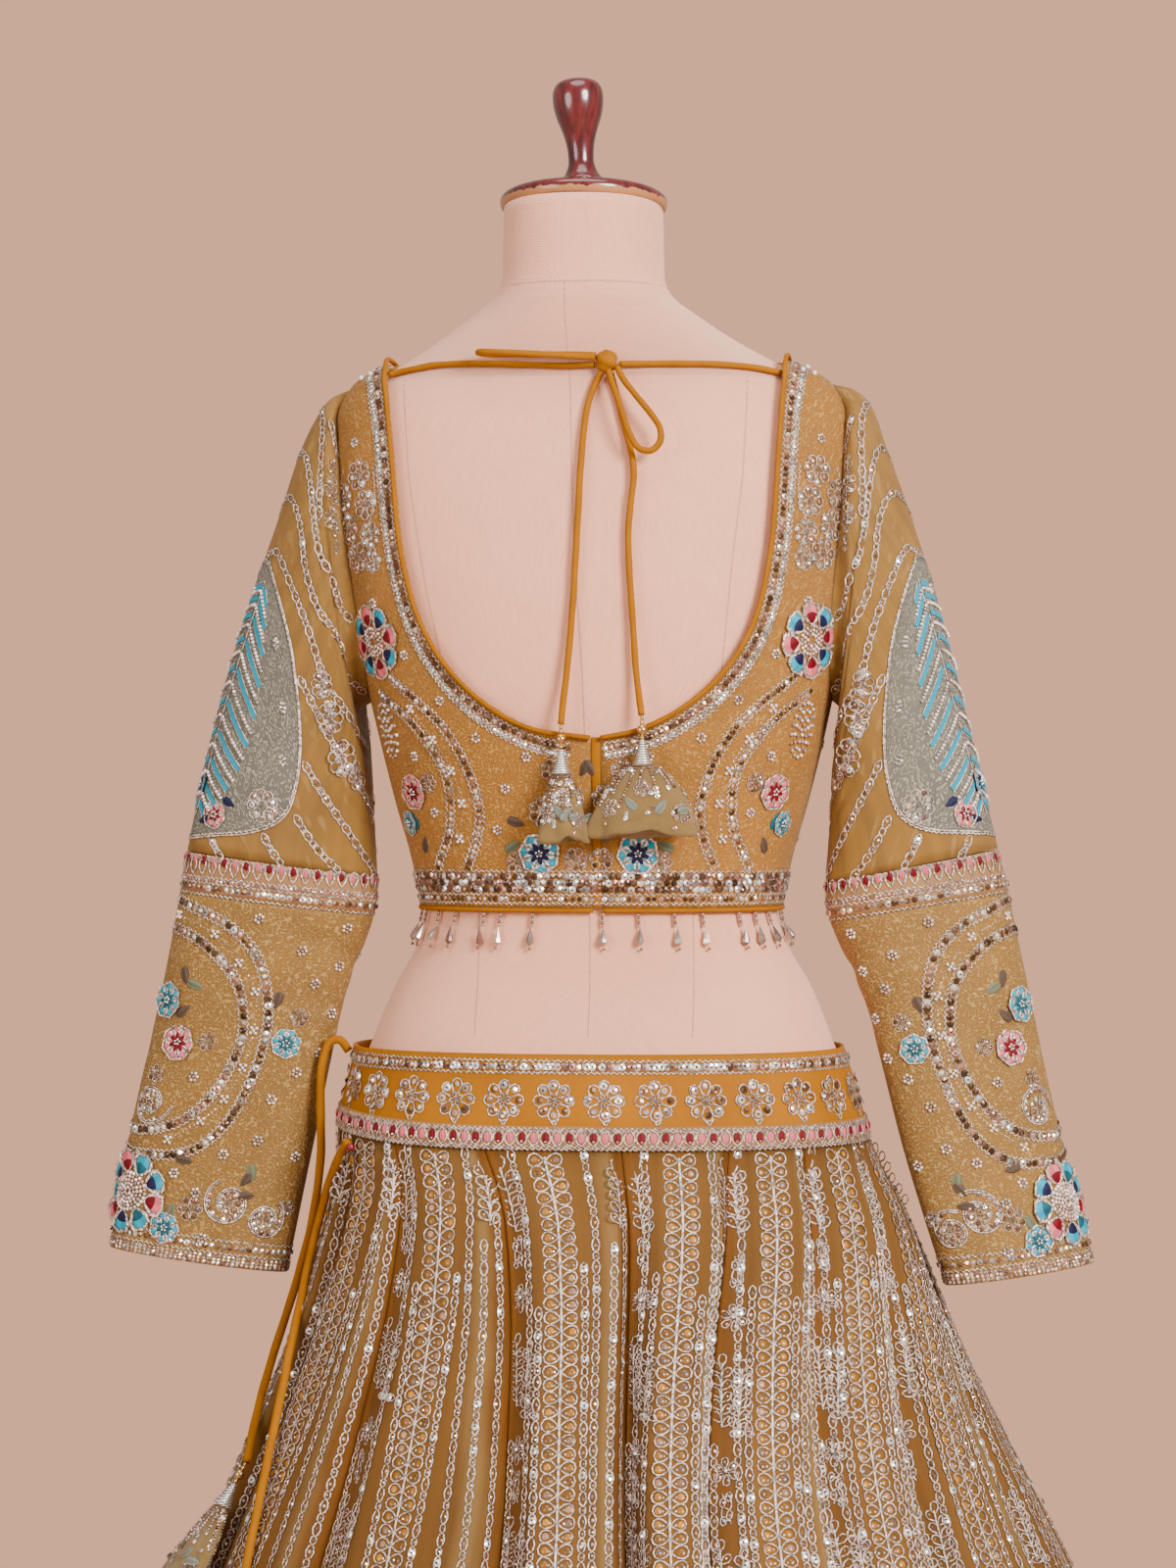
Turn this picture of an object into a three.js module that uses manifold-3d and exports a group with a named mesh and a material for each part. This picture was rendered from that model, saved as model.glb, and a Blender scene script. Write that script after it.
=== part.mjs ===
// A lehenga choli on a limbless dress form, in millimetres, +Z up.
// The garment's back faces -Y, the wearer's front faces +Y, and the origin is the middle of the
// round foot plate's underside. Angles round the body are in degrees from the centre back,
// growing towards +X, so 90 is the wearer's right side and 180 the centre front.

import * as THREE from 'three'
import { mergeVertices } from 'three/addons/utils/BufferGeometryUtils.js'
import Module from 'manifold-3d'

const wasm = await Module()
wasm.setup()

// ---------------------------------------------------------------- driving sizes

const SEAM_GAP = 0.3 // between two sewn pieces
const SEAM_TURN = 0.055 // degrees that part the back from the front at the side and the shoulder
const CHOLI_INSIDE = 3.6 // the blouse's inner face, out from the form
const CHOLI_OUTSIDE = 5.2 // its outer face
const SLEEVE_WALL = 1.3
const SLEEVE_SEAT = CHOLI_OUTSIDE + 0.8 // the sleeve head starts this far out from the form
const BAND_WALL = 3
const SKIRT_WALL = 3
const TRIM_WALL = 1.5
const PIPING_RADIUS = 1.7

const HEM_HEIGHT = 1147 // blouse hem above the floor
const NECK_LOW = 1262 // lowest point of the back neckline
const UNDERARM = 1289
const BACK_OPENING = 6 // the back opening runs this far right of the form's centre
const PLACKET_HALF = 3.2
const DROP_REACH = 25 // hem beads hang this far below the hem

const BAND_TOP = 1050
const TRIM_TOP = 1003
const BAND_BOTTOM = 987
const SKIRT_TOP = 986.5
const SKIRT_HEM = 12
const FOLD_SETTLED = 690 // height where the gores reach their lower angles
const BAND_LIFT = 8 // the band's lower edge rides up at the left hip, where the drawstring pulls it

const TIE_RADIUS = 2.25
const DRAWSTRING_RADIUS = 3

const NECK_TOP = 1628
const TORSO_BOTTOM = 815
const PLATE_RADIUS = 215
const PLATE_THICK = 8
const POLE_RADIUS = 14

// The form and the blouse follow these rings. half is half the width, back and front the depths
// from the middle, lean the middle's place in X.
const BODY_RINGS = [
  { z: 1628, half: 55, back: 58, front: 58, lean: -11 },
  { z: 1580, half: 56, back: 60, front: 60, lean: -11 },
  { z: 1568, half: 61, back: 62, front: 62, lean: -10.5 },
  { z: 1552, half: 81, back: 63, front: 63, lean: -10 },
  { z: 1536, half: 104, back: 63, front: 64, lean: -9 },
  { z: 1520, half: 131.5, back: 64, front: 67, lean: -7.5 },
  { z: 1503, half: 163, back: 68, front: 73, lean: -6 },
  { z: 1480, half: 174, back: 74, front: 80, lean: -5 },
  { z: 1434, half: 176, back: 85, front: 93, lean: -3.5 },
  { z: 1393, half: 173, back: 92, front: 103, lean: -2.5 },
  { z: 1353, half: 168, back: 97, front: 109, lean: -1 },
  { z: 1298, half: 157, back: 99, front: 110, lean: 1 },
  { z: 1250, half: 146, back: 95, front: 101, lean: 1.5 },
  { z: 1215, half: 137, back: 90, front: 95, lean: 1.5 },
  { z: 1180, half: 127, back: 86, front: 90, lean: 1.5 },
  { z: 1147, half: 121, back: 83, front: 88, lean: 1.5 },
  { z: 1118, half: 129, back: 86, front: 89, lean: 2 },
  { z: 1091, half: 144, back: 93, front: 92, lean: 2.5 },
  { z: 1052, half: 160, back: 105, front: 98, lean: 2 },
  { z: 1003, half: 176.8, back: 118.1, front: 110.1, lean: 2 },
  { z: 940, half: 179, back: 121, front: 111, lean: 2 },
  { z: 880, half: 176, back: 117, front: 106, lean: 2 },
  { z: 832, half: 168, back: 109, front: 98, lean: 2 },
  { z: 815, half: 150, back: 93, front: 84, lean: 2 },
]
const BODY_SQUARENESS = 2.3 // 2 is an ellipse, more is squarer

// Two cups, shaped in the form and in the blouse's darts.
const CUP = { side: 80, height: 1330, out: 15, wide: 47, tall: 52 }

// Waistband and gores. square is how square the ring is: 2 is an ellipse.
const SKIRT_RINGS = [
  { z: 1050, half: 170, back: 112, front: 105, lean: -1, square: 2.3 },
  { z: 1003, half: 181, back: 122, front: 114, lean: 2, square: 2.3 },
  { z: 987, half: 184, back: 125, front: 117, lean: 2.5, square: 2.3 },
  { z: 961, half: 190, back: 134, front: 127, lean: 8, square: 2.25 },
  { z: 940, half: 198, back: 144, front: 137, lean: 12, square: 2.2 },
  { z: 909, half: 209, back: 158, front: 151, lean: 14.5, square: 2.15 },
  { z: 878, half: 220, back: 173, front: 166, lean: 16, square: 2.1 },
  { z: 818, half: 244, back: 202, front: 196, lean: 17.5, square: 2.05 },
  { z: 750, half: 276, back: 237, front: 231, lean: 20, square: 2 },
  { z: 690, half: 304, back: 268, front: 262, lean: 22, square: 2 },
  { z: 500, half: 385, back: 352, front: 348, lean: 22, square: 2 },
  { z: 300, half: 468, back: 440, front: 436, lean: 20, square: 2 },
  { z: 12, half: 588, back: 565, front: 562, lean: 18, square: 2 },
]

// The seams between gores: their angle under the waistband, their angle from FOLD_SETTLED down,
// and how deep the fold beside the seam is at the hem.
const SEAMS = [
  { top: -43, low: -43, fold: 30 },
  { top: -18.5, low: -14, fold: 46 },
  { top: 5.6, low: 4, fold: 54 },
  { top: 27.8, low: 15.5, fold: 34 },
  { top: 49, low: 33, fold: 32 },
  { top: 73, low: 48, fold: 56 },
  { top: 97, low: 71, fold: 38 },
  { top: 119, low: 95, fold: 44 },
  { top: 140, low: 118, fold: 30 },
  { top: 162, low: 142, fold: 50 },
  { top: 184, low: 166, fold: 36 },
  { top: 206, low: 191, fold: 46 },
  { top: 228, low: 216, fold: 32 },
  { top: 250, low: 240, fold: 52 },
  { top: 272, low: 264, fold: 34 },
  { top: 294, low: 289, fold: 42 },
]
const FOLD_GROWTH = 0.6 // how the folds deepen from the waistband to the hem
const LIP_SHARE = 0.1 // the raised strip beside a fold, as a share of the fold's depth

// Back neckline from the opening to the shoulder: side is its distance from the middle.
const BACK_NECK = [
  { side: 37, z: 1268 },
  { side: 68, z: 1284 },
  { side: 94, z: 1308 },
  { side: 114, z: 1342 },
  { side: 126, z: 1390 },
  { side: 132, z: 1450 },
  { side: 135.5, z: 1486 },
  { side: 138, z: 1505 },
  { side: 139.5, z: 1514 },
  { side: 140, z: 1518 },
]
const FRONT_NECK = [
  { side: 34, z: 1399 },
  { side: 64, z: 1406 },
  { side: 90, z: 1419 },
  { side: 108, z: 1437 },
  { side: 120, z: 1456 },
  { side: 129, z: 1480 },
  { side: 136, z: 1501 },
  { side: 138.5, z: 1510 },
  { side: 139.7, z: 1515.5 },
  { side: 140, z: 1518 },
]
const FRONT_NECK_LOW = 1396

// Armhole from the underarm to the shoulder, on the back and on the front.
const BACK_ARMHOLE = [
  { angle: 90, z: UNDERARM },
  { angle: 78, z: 1303 },
  { angle: 72, z: 1328 },
  { angle: 70, z: 1356 },
  { angle: 70, z: 1388 },
  { angle: 71, z: 1420 },
  { angle: 73, z: 1447 },
  { angle: 76.5, z: 1469 },
  { angle: 81, z: 1485 },
  { angle: 85.5, z: 1497 },
  { angle: 90, z: 1503 },
]
const FRONT_ARMHOLE = [
  { angle: 90, z: UNDERARM },
  { angle: 104, z: 1302 },
  { angle: 111, z: 1327 },
  { angle: 114, z: 1356 },
  { angle: 114, z: 1388 },
  { angle: 112, z: 1420 },
  { angle: 109, z: 1447 },
  { angle: 105, z: 1469 },
  { angle: 100, z: 1485 },
  { angle: 95, z: 1497 },
  { angle: 90, z: 1503 },
]

// A sleeve's rings: its outer edge, its inner edge, and half its depth from back to front.
const LEFT_SLEEVE = {
  upper: [
    { outX: -187, outY: 0, outZ: 1500, inX: -169, inY: 0, inZ: 1280, depth: 49 },
    { outX: -197.5, outY: 0, outZ: 1487, inX: -165, inY: 0, inZ: 1266, depth: 49 },
    { outX: -210, outY: 0, outZ: 1461, inX: -161.5, inY: 0, inZ: 1250, depth: 50 },
    { outX: -226, outY: 0, outZ: 1413, inX: -159.5, inY: 0, inZ: 1228, depth: 47 },
    { outX: -245, outY: 0, outZ: 1358, inX: -158, inY: 0, inZ: 1207, depth: 43 },
    { outX: -269, outY: 1, outZ: 1275, inX: -157, inY: 0, inZ: 1187, depth: 38 },
    { outX: -290.5, outY: 2, outZ: 1184, inX: -156, inY: 0, inZ: 1166, depth: 33 },
  ],
  bandEnd: { outX: -295.5, outY: 2, outZ: 1155, inX: -158, inY: 0, inZ: 1139, depth: 32 },
  lower: [
    { outX: -309, outY: 4, outZ: 1087, inX: -180, inY: 0, inZ: 1074, depth: 30 },
    { outX: -331, outY: 6, outZ: 992, inX: -201, inY: 2, inZ: 979, depth: 27 },
    { outX: -347.5, outY: 8, outZ: 905, inX: -220, inY: 4, inZ: 889, depth: 24 },
  ],
}
const RIGHT_SLEEVE = {
  upper: [
    { outX: 178.5, outY: 0, outZ: 1501, inX: 168, inY: 0, inZ: 1280, depth: 47 },
    { outX: 190, outY: 0, outZ: 1487, inX: 165, inY: 0, inZ: 1266, depth: 49 },
    { outX: 199, outY: 0, outZ: 1461, inX: 162, inY: 0, inZ: 1250, depth: 50 },
    { outX: 216, outY: 2, outZ: 1413, inX: 160.5, inY: -1, inZ: 1228, depth: 47 },
    { outX: 233, outY: 4, outZ: 1358, inX: 159.5, inY: -2, inZ: 1207, depth: 44 },
    { outX: 253, outY: 8, outZ: 1275, inX: 158.5, inY: -4, inZ: 1187, depth: 40 },
    { outX: 275, outY: 12, outZ: 1186, inX: 157, inY: -6, inZ: 1162, depth: 35 },
  ],
  bandEnd: { outX: 282, outY: 13, outZ: 1156, inX: 160, inY: -7, inZ: 1136, depth: 34 },
  lower: [
    { outX: 296.5, outY: 16, outZ: 1087, inX: 186, inY: -10, inZ: 1073, depth: 32 },
    { outX: 317, outY: 20, outZ: 992, inX: 211, inY: -13, inZ: 978, depth: 29 },
    { outX: 341, outY: 24, outZ: 900, inX: 239, inY: -16, inZ: 888, depth: 27 },
  ],
}

// ---------------------------------------------------------------- small helpers

const RAD = Math.PI / 180
const mix = (a, b, t) => a + (b - a) * t
const signedPower = (v, p) => Math.sign(v) * Math.abs(v) ** p

function smooth(from, to, v) {
  const t = Math.min(1, Math.max(0, (v - from) / (to - from)))
  return t * t * (3 - 2 * t)
}

// Reads a table of rings at any height with a smooth curve that never overshoots a row.
function readRings(rows, z) {
  const last = rows.length - 1
  let i = rows.findIndex((row) => row.z <= z)
  if (i === -1) i = last
  i = Math.max(1, i)
  const slope = (j, key) => (rows[j].z - rows[j - 1].z) && (rows[j][key] - rows[j - 1][key]) / (rows[j].z - rows[j - 1].z)
  const tangent = (j, key) => {
    if (j === 0) return slope(1, key)
    if (j === last) return slope(last, key)
    const a = slope(j, key)
    const b = slope(j + 1, key)
    return a * b > 0 ? (2 * a * b) / (a + b) : 0
  }
  const span = rows[i].z - rows[i - 1].z
  const t = Math.min(1, Math.max(0, (z - rows[i - 1].z) / span))
  const value = (key) => {
    const p = rows[i - 1][key]
    const q = rows[i][key]
    const m = tangent(i - 1, key) * span
    const n = tangent(i, key) * span
    const t2 = t * t
    const t3 = t2 * t
    return p * (2 * t3 - 3 * t2 + 1) + m * (t3 - 2 * t2 + t) + q * (3 * t2 - 2 * t3) + n * (t3 - t2)
  }
  return Object.fromEntries(Object.keys(rows[0]).map((key) => [key, value(key)]))
}

function ringPoint(rows, angle, z) {
  const ring = readRings(rows, z)
  const power = 2 / (ring.square ?? BODY_SQUARENESS)
  const across = signedPower(Math.sin(angle * RAD), power)
  const along = signedPower(Math.cos(angle * RAD), power)
  const depth = along > 0 ? ring.back : ring.front
  return new THREE.Vector3(ring.lean + ring.half * across, -depth * along, z)
}

function bodyPoint(angle, z) {
  const p = ringPoint(BODY_RINGS, angle, z)
  if (p.y > 0) {
    const rise = Math.exp(-(((z - CUP.height) / CUP.tall) ** 2))
    const right = Math.exp(-(((p.x - CUP.side) / CUP.wide) ** 2))
    const left = Math.exp(-(((p.x + CUP.side) / CUP.wide) ** 2))
    p.y += CUP.out * rise * (right + left) * smooth(0, 40, p.y)
  }
  return p
}

// A point that stands `out` off the form, square to its surface.
function clothPoint(angle, z, out) {
  const turn = 3
  const climb = 3
  const along = bodyPoint(angle + turn, z).sub(bodyPoint(angle - turn, z))
  const up = bodyPoint(angle, z + climb).sub(bodyPoint(angle, z - climb))
  return bodyPoint(angle, z).addScaledVector(along.cross(up).normalize(), out)
}

// The angle at which the form's surface lies `side` from its middle.
function angleAt(side, z) {
  const half = readRings(BODY_RINGS, z).half + CHOLI_OUTSIDE
  const share = Math.min(1, Math.abs(side) / half)
  return (Math.sign(side) * Math.asin(share ** (BODY_SQUARENESS / 2))) / RAD
}

// ---------------------------------------------------------------- closed meshes

function closedMesh(points, faces) {
  const position = new Float32Array(points.flatMap((p) => [p.x, p.y, p.z]))
  let volume = 0
  for (const [a, b, c] of faces) volume += points[a].dot(points[b].clone().cross(points[c]))
  const index = volume > 0 ? faces : faces.map(([a, b, c]) => [a, c, b])
  const geometry = new THREE.BufferGeometry()
  geometry.setAttribute('position', new THREE.BufferAttribute(position, 3))
  geometry.setIndex(index.flat())
  geometry.computeVertexNormals()
  return geometry
}

// A wall between two grids of the same size: rows of points that go up, columns that go across.
// With round, the last column joins the first.
function clothWall(outer, inner, round = false) {
  const rows = outer.length
  const cols = outer[0].length
  const points = [...outer.flat(), ...inner.flat()]
  const out = (r, c) => r * cols + (c % cols)
  const ins = (r, c) => rows * cols + out(r, c)
  const faces = []
  const quad = (a, b, c, d) => faces.push([a, b, c], [a, c, d])
  const spans = round ? cols : cols - 1
  for (let r = 0; r < rows - 1; r++) {
    for (let c = 0; c < spans; c++) {
      quad(out(r, c), out(r, c + 1), out(r + 1, c + 1), out(r + 1, c))
      faces.push([ins(r, c), ins(r + 1, c + 1), ins(r, c + 1)], [ins(r, c), ins(r + 1, c), ins(r + 1, c + 1)])
    }
    if (!round) {
      quad(out(r, 0), out(r + 1, 0), ins(r + 1, 0), ins(r, 0))
      quad(out(r + 1, spans), out(r, spans), ins(r, spans), ins(r + 1, spans))
    }
  }
  for (let c = 0; c < spans; c++) {
    quad(out(0, c + 1), out(0, c), ins(0, c), ins(0, c + 1))
    quad(out(rows - 1, c), out(rows - 1, c + 1), ins(rows - 1, c + 1), ins(rows - 1, c))
  }
  return closedMesh(points, faces)
}

// A solid through rings of points, closed by a flat face at each end.
function solidLoft(rings) {
  const cols = rings[0].length
  const points = rings.flat()
  const faces = []
  for (let r = 0; r < rings.length - 1; r++) {
    for (let c = 0; c < cols; c++) {
      const a = r * cols + c
      const b = r * cols + ((c + 1) % cols)
      faces.push([a, b, b + cols], [a, b + cols, a + cols])
    }
  }
  const middle = (ring) => ring.reduce((sum, p) => sum.add(p), new THREE.Vector3()).divideScalar(cols)
  const first = points.push(middle(rings[0])) - 1
  const last = points.push(middle(rings[rings.length - 1])) - 1
  const top = (rings.length - 1) * cols
  for (let c = 0; c < cols; c++) {
    faces.push([first, (c + 1) % cols, c], [last, top + c, top + ((c + 1) % cols)])
  }
  return closedMesh(points, faces)
}

function joined(a, b) {
  const solid = (geometry) => {
    const bare = geometry.clone()
    bare.deleteAttribute('normal')
    const merged = mergeVertices(bare, 1e-3)
    return new wasm.Manifold(
      new wasm.Mesh({
        numProp: 3,
        vertProperties: new Float32Array(merged.attributes.position.array),
        triVerts: new Uint32Array(merged.index.array),
      }),
    )
  }
  const mesh = solid(a).add(solid(b)).getMesh()
  const geometry = new THREE.BufferGeometry()
  geometry.setAttribute('position', new THREE.BufferAttribute(mesh.vertProperties, 3))
  geometry.setIndex(new THREE.BufferAttribute(mesh.triVerts, 1))
  geometry.computeVertexNormals()
  return geometry
}

// A round cord or piping along a smooth curve through its points.
function cord(points, radius, steps, sides = 8) {
  const route = new THREE.CatmullRomCurve3(points.map((p) => new THREE.Vector3(...p)), false, 'centripetal')
  const outline = new THREE.Shape()
  for (let k = 0; k < sides; k++) {
    const angle = (k / sides) * 2 * Math.PI
    const corner = [radius * Math.cos(angle), radius * Math.sin(angle)]
    if (k === 0) outline.moveTo(...corner)
    else outline.lineTo(...corner)
  }
  outline.closePath()
  return new THREE.ExtrudeGeometry(outline, { steps, extrudePath: route, bevelEnabled: false })
}

// A turned piece: its profile is a list of [radius, height], starting and ending on the axis.
function turned(profile, segments) {
  const geometry = new THREE.LatheGeometry(profile.map(([r, h]) => new THREE.Vector2(r, h)), segments)
  return geometry.rotateX(Math.PI / 2)
}

// ---------------------------------------------------------------- finishes

const finish = (color, roughness, metalness = 0) =>
  new THREE.MeshStandardMaterial({ color, roughness, metalness, flatShading: true })

const formCloth = finish(0xdfc1b4, 0.9)
const redWood = finish(0x6e1a12, 0.25)
const stand = finish(0x3a3a3c, 0.5, 0.8)
const embroidered = finish(0xc0935a, 0.6)
const organza = finish(0xb68e58, 0.6)
const satin = finish(0xb87522, 0.5)
const beads = finish(0xc9a79d, 0.35, 0.3)
const gilt = finish(0xc9a05a, 0.3, 0.9)

const model = new THREE.Group()
model.name = 'lehenga_choli_on_form'

function place(parent, name, geometry, material) {
  const mesh = new THREE.Mesh(geometry, material)
  mesh.name = name
  parent.add(mesh)
  return mesh
}

// ---------------------------------------------------------------- the dress form

const TORSO_SIDES = 28

function torso() {
  const rings = BODY_RINGS.map((row) => {
    const ring = []
    for (let k = 0; k < TORSO_SIDES; k++) ring.push(bodyPoint((k / TORSO_SIDES) * 360, row.z))
    return ring
  })
  return solidLoft(rings.reverse())
}

const CAP = [
  [0, 0],
  [54, 0],
  [58, 2],
  [58, 8],
  [54, 10.5],
  [36, 15],
  [17, 18],
  [0, 18],
]
const FINIAL = [
  [0, 0],
  [15.5, 0],
  [15.5, 3],
  [12.5, 6.5],
  [10, 12],
  [9.5, 19],
  [11, 31],
  [14.5, 43],
  [17.5, 54],
  [16.5, 62],
  [12, 68.5],
  [6, 71.5],
  [0, 72.2],
]
const FINIAL_LEAN = 3 // degrees, to the left
const FINIAL_CLEAR = 1.2

const form = new THREE.Group()
model.add(form)
place(form, 'form_torso', torso(), formCloth)

const cap = place(form, 'neck_cap', turned(CAP, 24), redWood)
cap.position.set(-11, 0, NECK_TOP + SEAM_GAP)

const finial = place(form, 'finial', turned(FINIAL, 14), redWood)
finial.position.set(-12, 0, cap.position.z + CAP[CAP.length - 1][1] + FINIAL_CLEAR)
finial.rotation.y = -FINIAL_LEAN * RAD

const SOCKET_TOP = 34
const PLATE = [
  [0, 0],
  [PLATE_RADIUS - 2, 0],
  [PLATE_RADIUS, 2],
  [PLATE_RADIUS, PLATE_THICK - 2],
  [PLATE_RADIUS - 3, PLATE_THICK],
  [34, PLATE_THICK + 2],
  [24, 16],
  [22, SOCKET_TOP],
  [0, SOCKET_TOP],
]
place(form, 'stand_base', turned(PLATE, 28), stand)

const poleLength = TORSO_BOTTOM - SOCKET_TOP - 2 * SEAM_GAP
const pole = new THREE.CylinderGeometry(POLE_RADIUS, POLE_RADIUS, poleLength, 16)
place(form, 'stand_pole', pole.rotateX(Math.PI / 2), stand).position.z = SOCKET_TOP + SEAM_GAP + poleLength / 2

// ---------------------------------------------------------------- the choli

const SIDE_ROWS = 5
const BACK_COLS = 6
const FRONT_COLS = 6

// A panel ruled between its inner edge and its outer edge, each a list of { angle, z }.
function choliPanel(innerEdge, outerEdge, side, cols) {
  const grid = (out) =>
    innerEdge.map((from, r) => {
      const to = outerEdge[r]
      const row = []
      for (let c = 0; c <= cols; c++) {
        const t = c / cols
        row.push(clothPoint(side * mix(from.angle, to.angle, t), mix(from.z, to.z, t), out))
      }
      return row
    })
  return clothWall(grid(CHOLI_OUTSIDE), grid(CHOLI_INSIDE))
}

// The outer edge climbs the side seam, then the armhole.
function outerEdge(armhole) {
  const edge = []
  for (let r = 0; r < SIDE_ROWS; r++) {
    edge.push({ angle: 90, z: mix(HEM_HEIGHT, UNDERARM, r / SIDE_ROWS) })
  }
  return [...edge, ...armhole]
}

// Back and front meet at the sides and shoulders, each short of the seam by half its gap.
const onBack = (row) => ({ ...row, angle: Math.min(row.angle, 90 - SEAM_TURN) })
const onFront = (row) => ({ ...row, angle: Math.max(row.angle, 90 + SEAM_TURN) })

const SHOULDER_CORNER = BACK_NECK[BACK_NECK.length - 1].z
const backNeckAngle = (row) => (row.z === SHOULDER_CORNER ? 90 : angleAt(row.side, row.z))

function backPanel(side) {
  const opening = side * BACK_OPENING + PLACKET_HALF + SEAM_GAP
  const edge = []
  for (let r = 0; r <= SIDE_ROWS; r++) {
    const z = mix(HEM_HEIGHT, NECK_LOW, r / SIDE_ROWS)
    edge.push({ angle: angleAt(opening, z), z })
  }
  for (const row of BACK_NECK) edge.push({ angle: backNeckAngle(row), z: row.z })
  return choliPanel(edge.map(onBack), outerEdge(BACK_ARMHOLE).map(onBack), side, BACK_COLS)
}

function frontHalf(side) {
  const middle = 180.1
  const edge = []
  for (let r = 0; r <= SIDE_ROWS; r++) {
    edge.push({ angle: middle, z: mix(HEM_HEIGHT, FRONT_NECK_LOW, r / SIDE_ROWS) })
  }
  for (const row of FRONT_NECK) edge.push({ angle: 180 - backNeckAngle(row), z: row.z })
  return choliPanel(edge.map(onFront), outerEdge(FRONT_ARMHOLE).map(onFront), side, FRONT_COLS)
}

const choli = new THREE.Group()
model.add(choli)
place(choli, 'choli_back_left', backPanel(-1), embroidered)
place(choli, 'choli_back_right', backPanel(1), embroidered)
place(choli, 'choli_front', joined(frontHalf(-1), frontHalf(1)), embroidered)

const PLACKET_ROWS = 5

function placket() {
  const grid = (out) => {
    const rows = []
    for (let r = 0; r <= PLACKET_ROWS; r++) {
      const z = mix(HEM_HEIGHT, NECK_LOW, r / PLACKET_ROWS)
      const edges = [BACK_OPENING - PLACKET_HALF, BACK_OPENING + PLACKET_HALF]
      rows.push(edges.map((x) => clothPoint(angleAt(x, z), z, out)))
    }
    return rows
  }
  return clothWall(grid(CHOLI_OUTSIDE), grid(CHOLI_INSIDE))
}

place(choli, 'back_placket', placket(), satin)

// The neck piping runs from one side of the back opening, over both shoulders, to the other side.
const PIPING_CLEAR = 1.4

function neckPiping() {
  const out = CHOLI_OUTSIDE + PIPING_CLEAR + PIPING_RADIUS
  const half = (side) => {
    const start = { angle: angleAt(side * BACK_OPENING + PLACKET_HALF + SEAM_GAP, NECK_LOW), z: NECK_LOW }
    const back = BACK_NECK.map((row) => ({ angle: backNeckAngle(row), z: row.z }))
    const front = FRONT_NECK.slice(0, -1).map((row) => ({ angle: 180 - backNeckAngle(row), z: row.z }))
    return [start, ...back, ...front.reverse()].map((row) => clothPoint(side * row.angle, row.z, out))
  }
  const middle = clothPoint(180, FRONT_NECK_LOW, out)
  const points = [...half(-1), middle, ...half(1).reverse()]
  return cord(points.map((p) => p.toArray()), PIPING_RADIUS, 60, 6)
}

// The hem piping lies just under the hem, open at the back opening.
const HEM_POINTS = 36

function hemPiping() {
  const z = HEM_HEIGHT - SEAM_GAP - PIPING_RADIUS
  const start = angleAt(BACK_OPENING + PLACKET_HALF, z)
  const end = 360 + angleAt(BACK_OPENING - PLACKET_HALF, z)
  const points = []
  for (let k = 0; k <= HEM_POINTS; k++) {
    const p = clothPoint(mix(start, end, k / HEM_POINTS), z, (CHOLI_INSIDE + CHOLI_OUTSIDE) / 2)
    points.push(p.toArray())
  }
  return cord(points, PIPING_RADIUS, 34, 6)
}

place(choli, 'neck_piping', neckPiping(), satin)
place(choli, 'hem_piping', hemPiping(), satin)

// The row of crystal drops, as one plain ring of their reach.
const DROPS_TOP = HEM_HEIGHT - 2 * SEAM_GAP - 2 * PIPING_RADIUS
const DROPS = { inside: 1.6, outside: 5.2, columns: 28, rows: 3 }

function hemDrops() {
  const grid = (out) => {
    const rows = []
    for (let r = 0; r < DROPS.rows; r++) {
      const z = mix(DROPS_TOP - DROP_REACH, DROPS_TOP, r / (DROPS.rows - 1))
      const row = []
      for (let c = 0; c < DROPS.columns; c++) row.push(clothPoint((c / DROPS.columns) * 360, z, out))
      rows.push(row)
    }
    return rows
  }
  return clothWall(grid(DROPS.outside), grid(DROPS.inside), true)
}

place(choli, 'hem_drops', hemDrops(), beads)

// ---------------------------------------------------------------- the sleeves

const ARC_STEPS = BACK_ARMHOLE.length - 1

// The sleeve head starts on the blouse's armhole: down the back, then up the front.
function armholeRing(side) {
  const down = [...BACK_ARMHOLE].reverse()
  const up = FRONT_ARMHOLE.slice(1, -1)
  const outer = [...down, ...up].map((row) => clothPoint(side * row.angle, row.z, SLEEVE_SEAT))
  const middle = outer.reduce((sum, p) => sum.add(p), new THREE.Vector3()).divideScalar(outer.length)
  const inner = outer.map((p) => p.clone().addScaledVector(middle.clone().sub(p).normalize(), SLEEVE_WALL))
  return { outer, inner }
}

function sleeveRing(row, drop = 0) {
  const far = new THREE.Vector3(row.outX, row.outY, row.outZ - drop)
  const near = new THREE.Vector3(row.inX, row.inY, row.inZ - drop)
  const middle = far.clone().add(near).divideScalar(2)
  const across = far.clone().sub(middle)
  const ring = (wall) => {
    const points = []
    for (let k = 0; k < 2 * ARC_STEPS; k++) {
      const turn = (k / ARC_STEPS) * Math.PI
      const p = middle.clone().addScaledVector(across, (1 - wall / across.length()) * Math.cos(turn))
      p.y -= (row.depth - wall) * Math.sin(turn)
      points.push(p)
    }
    return points
  }
  return { outer: ring(0), inner: ring(SLEEVE_WALL) }
}

const tube = (rings) => clothWall(rings.map((r) => r.outer), rings.map((r) => r.inner), true)

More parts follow.
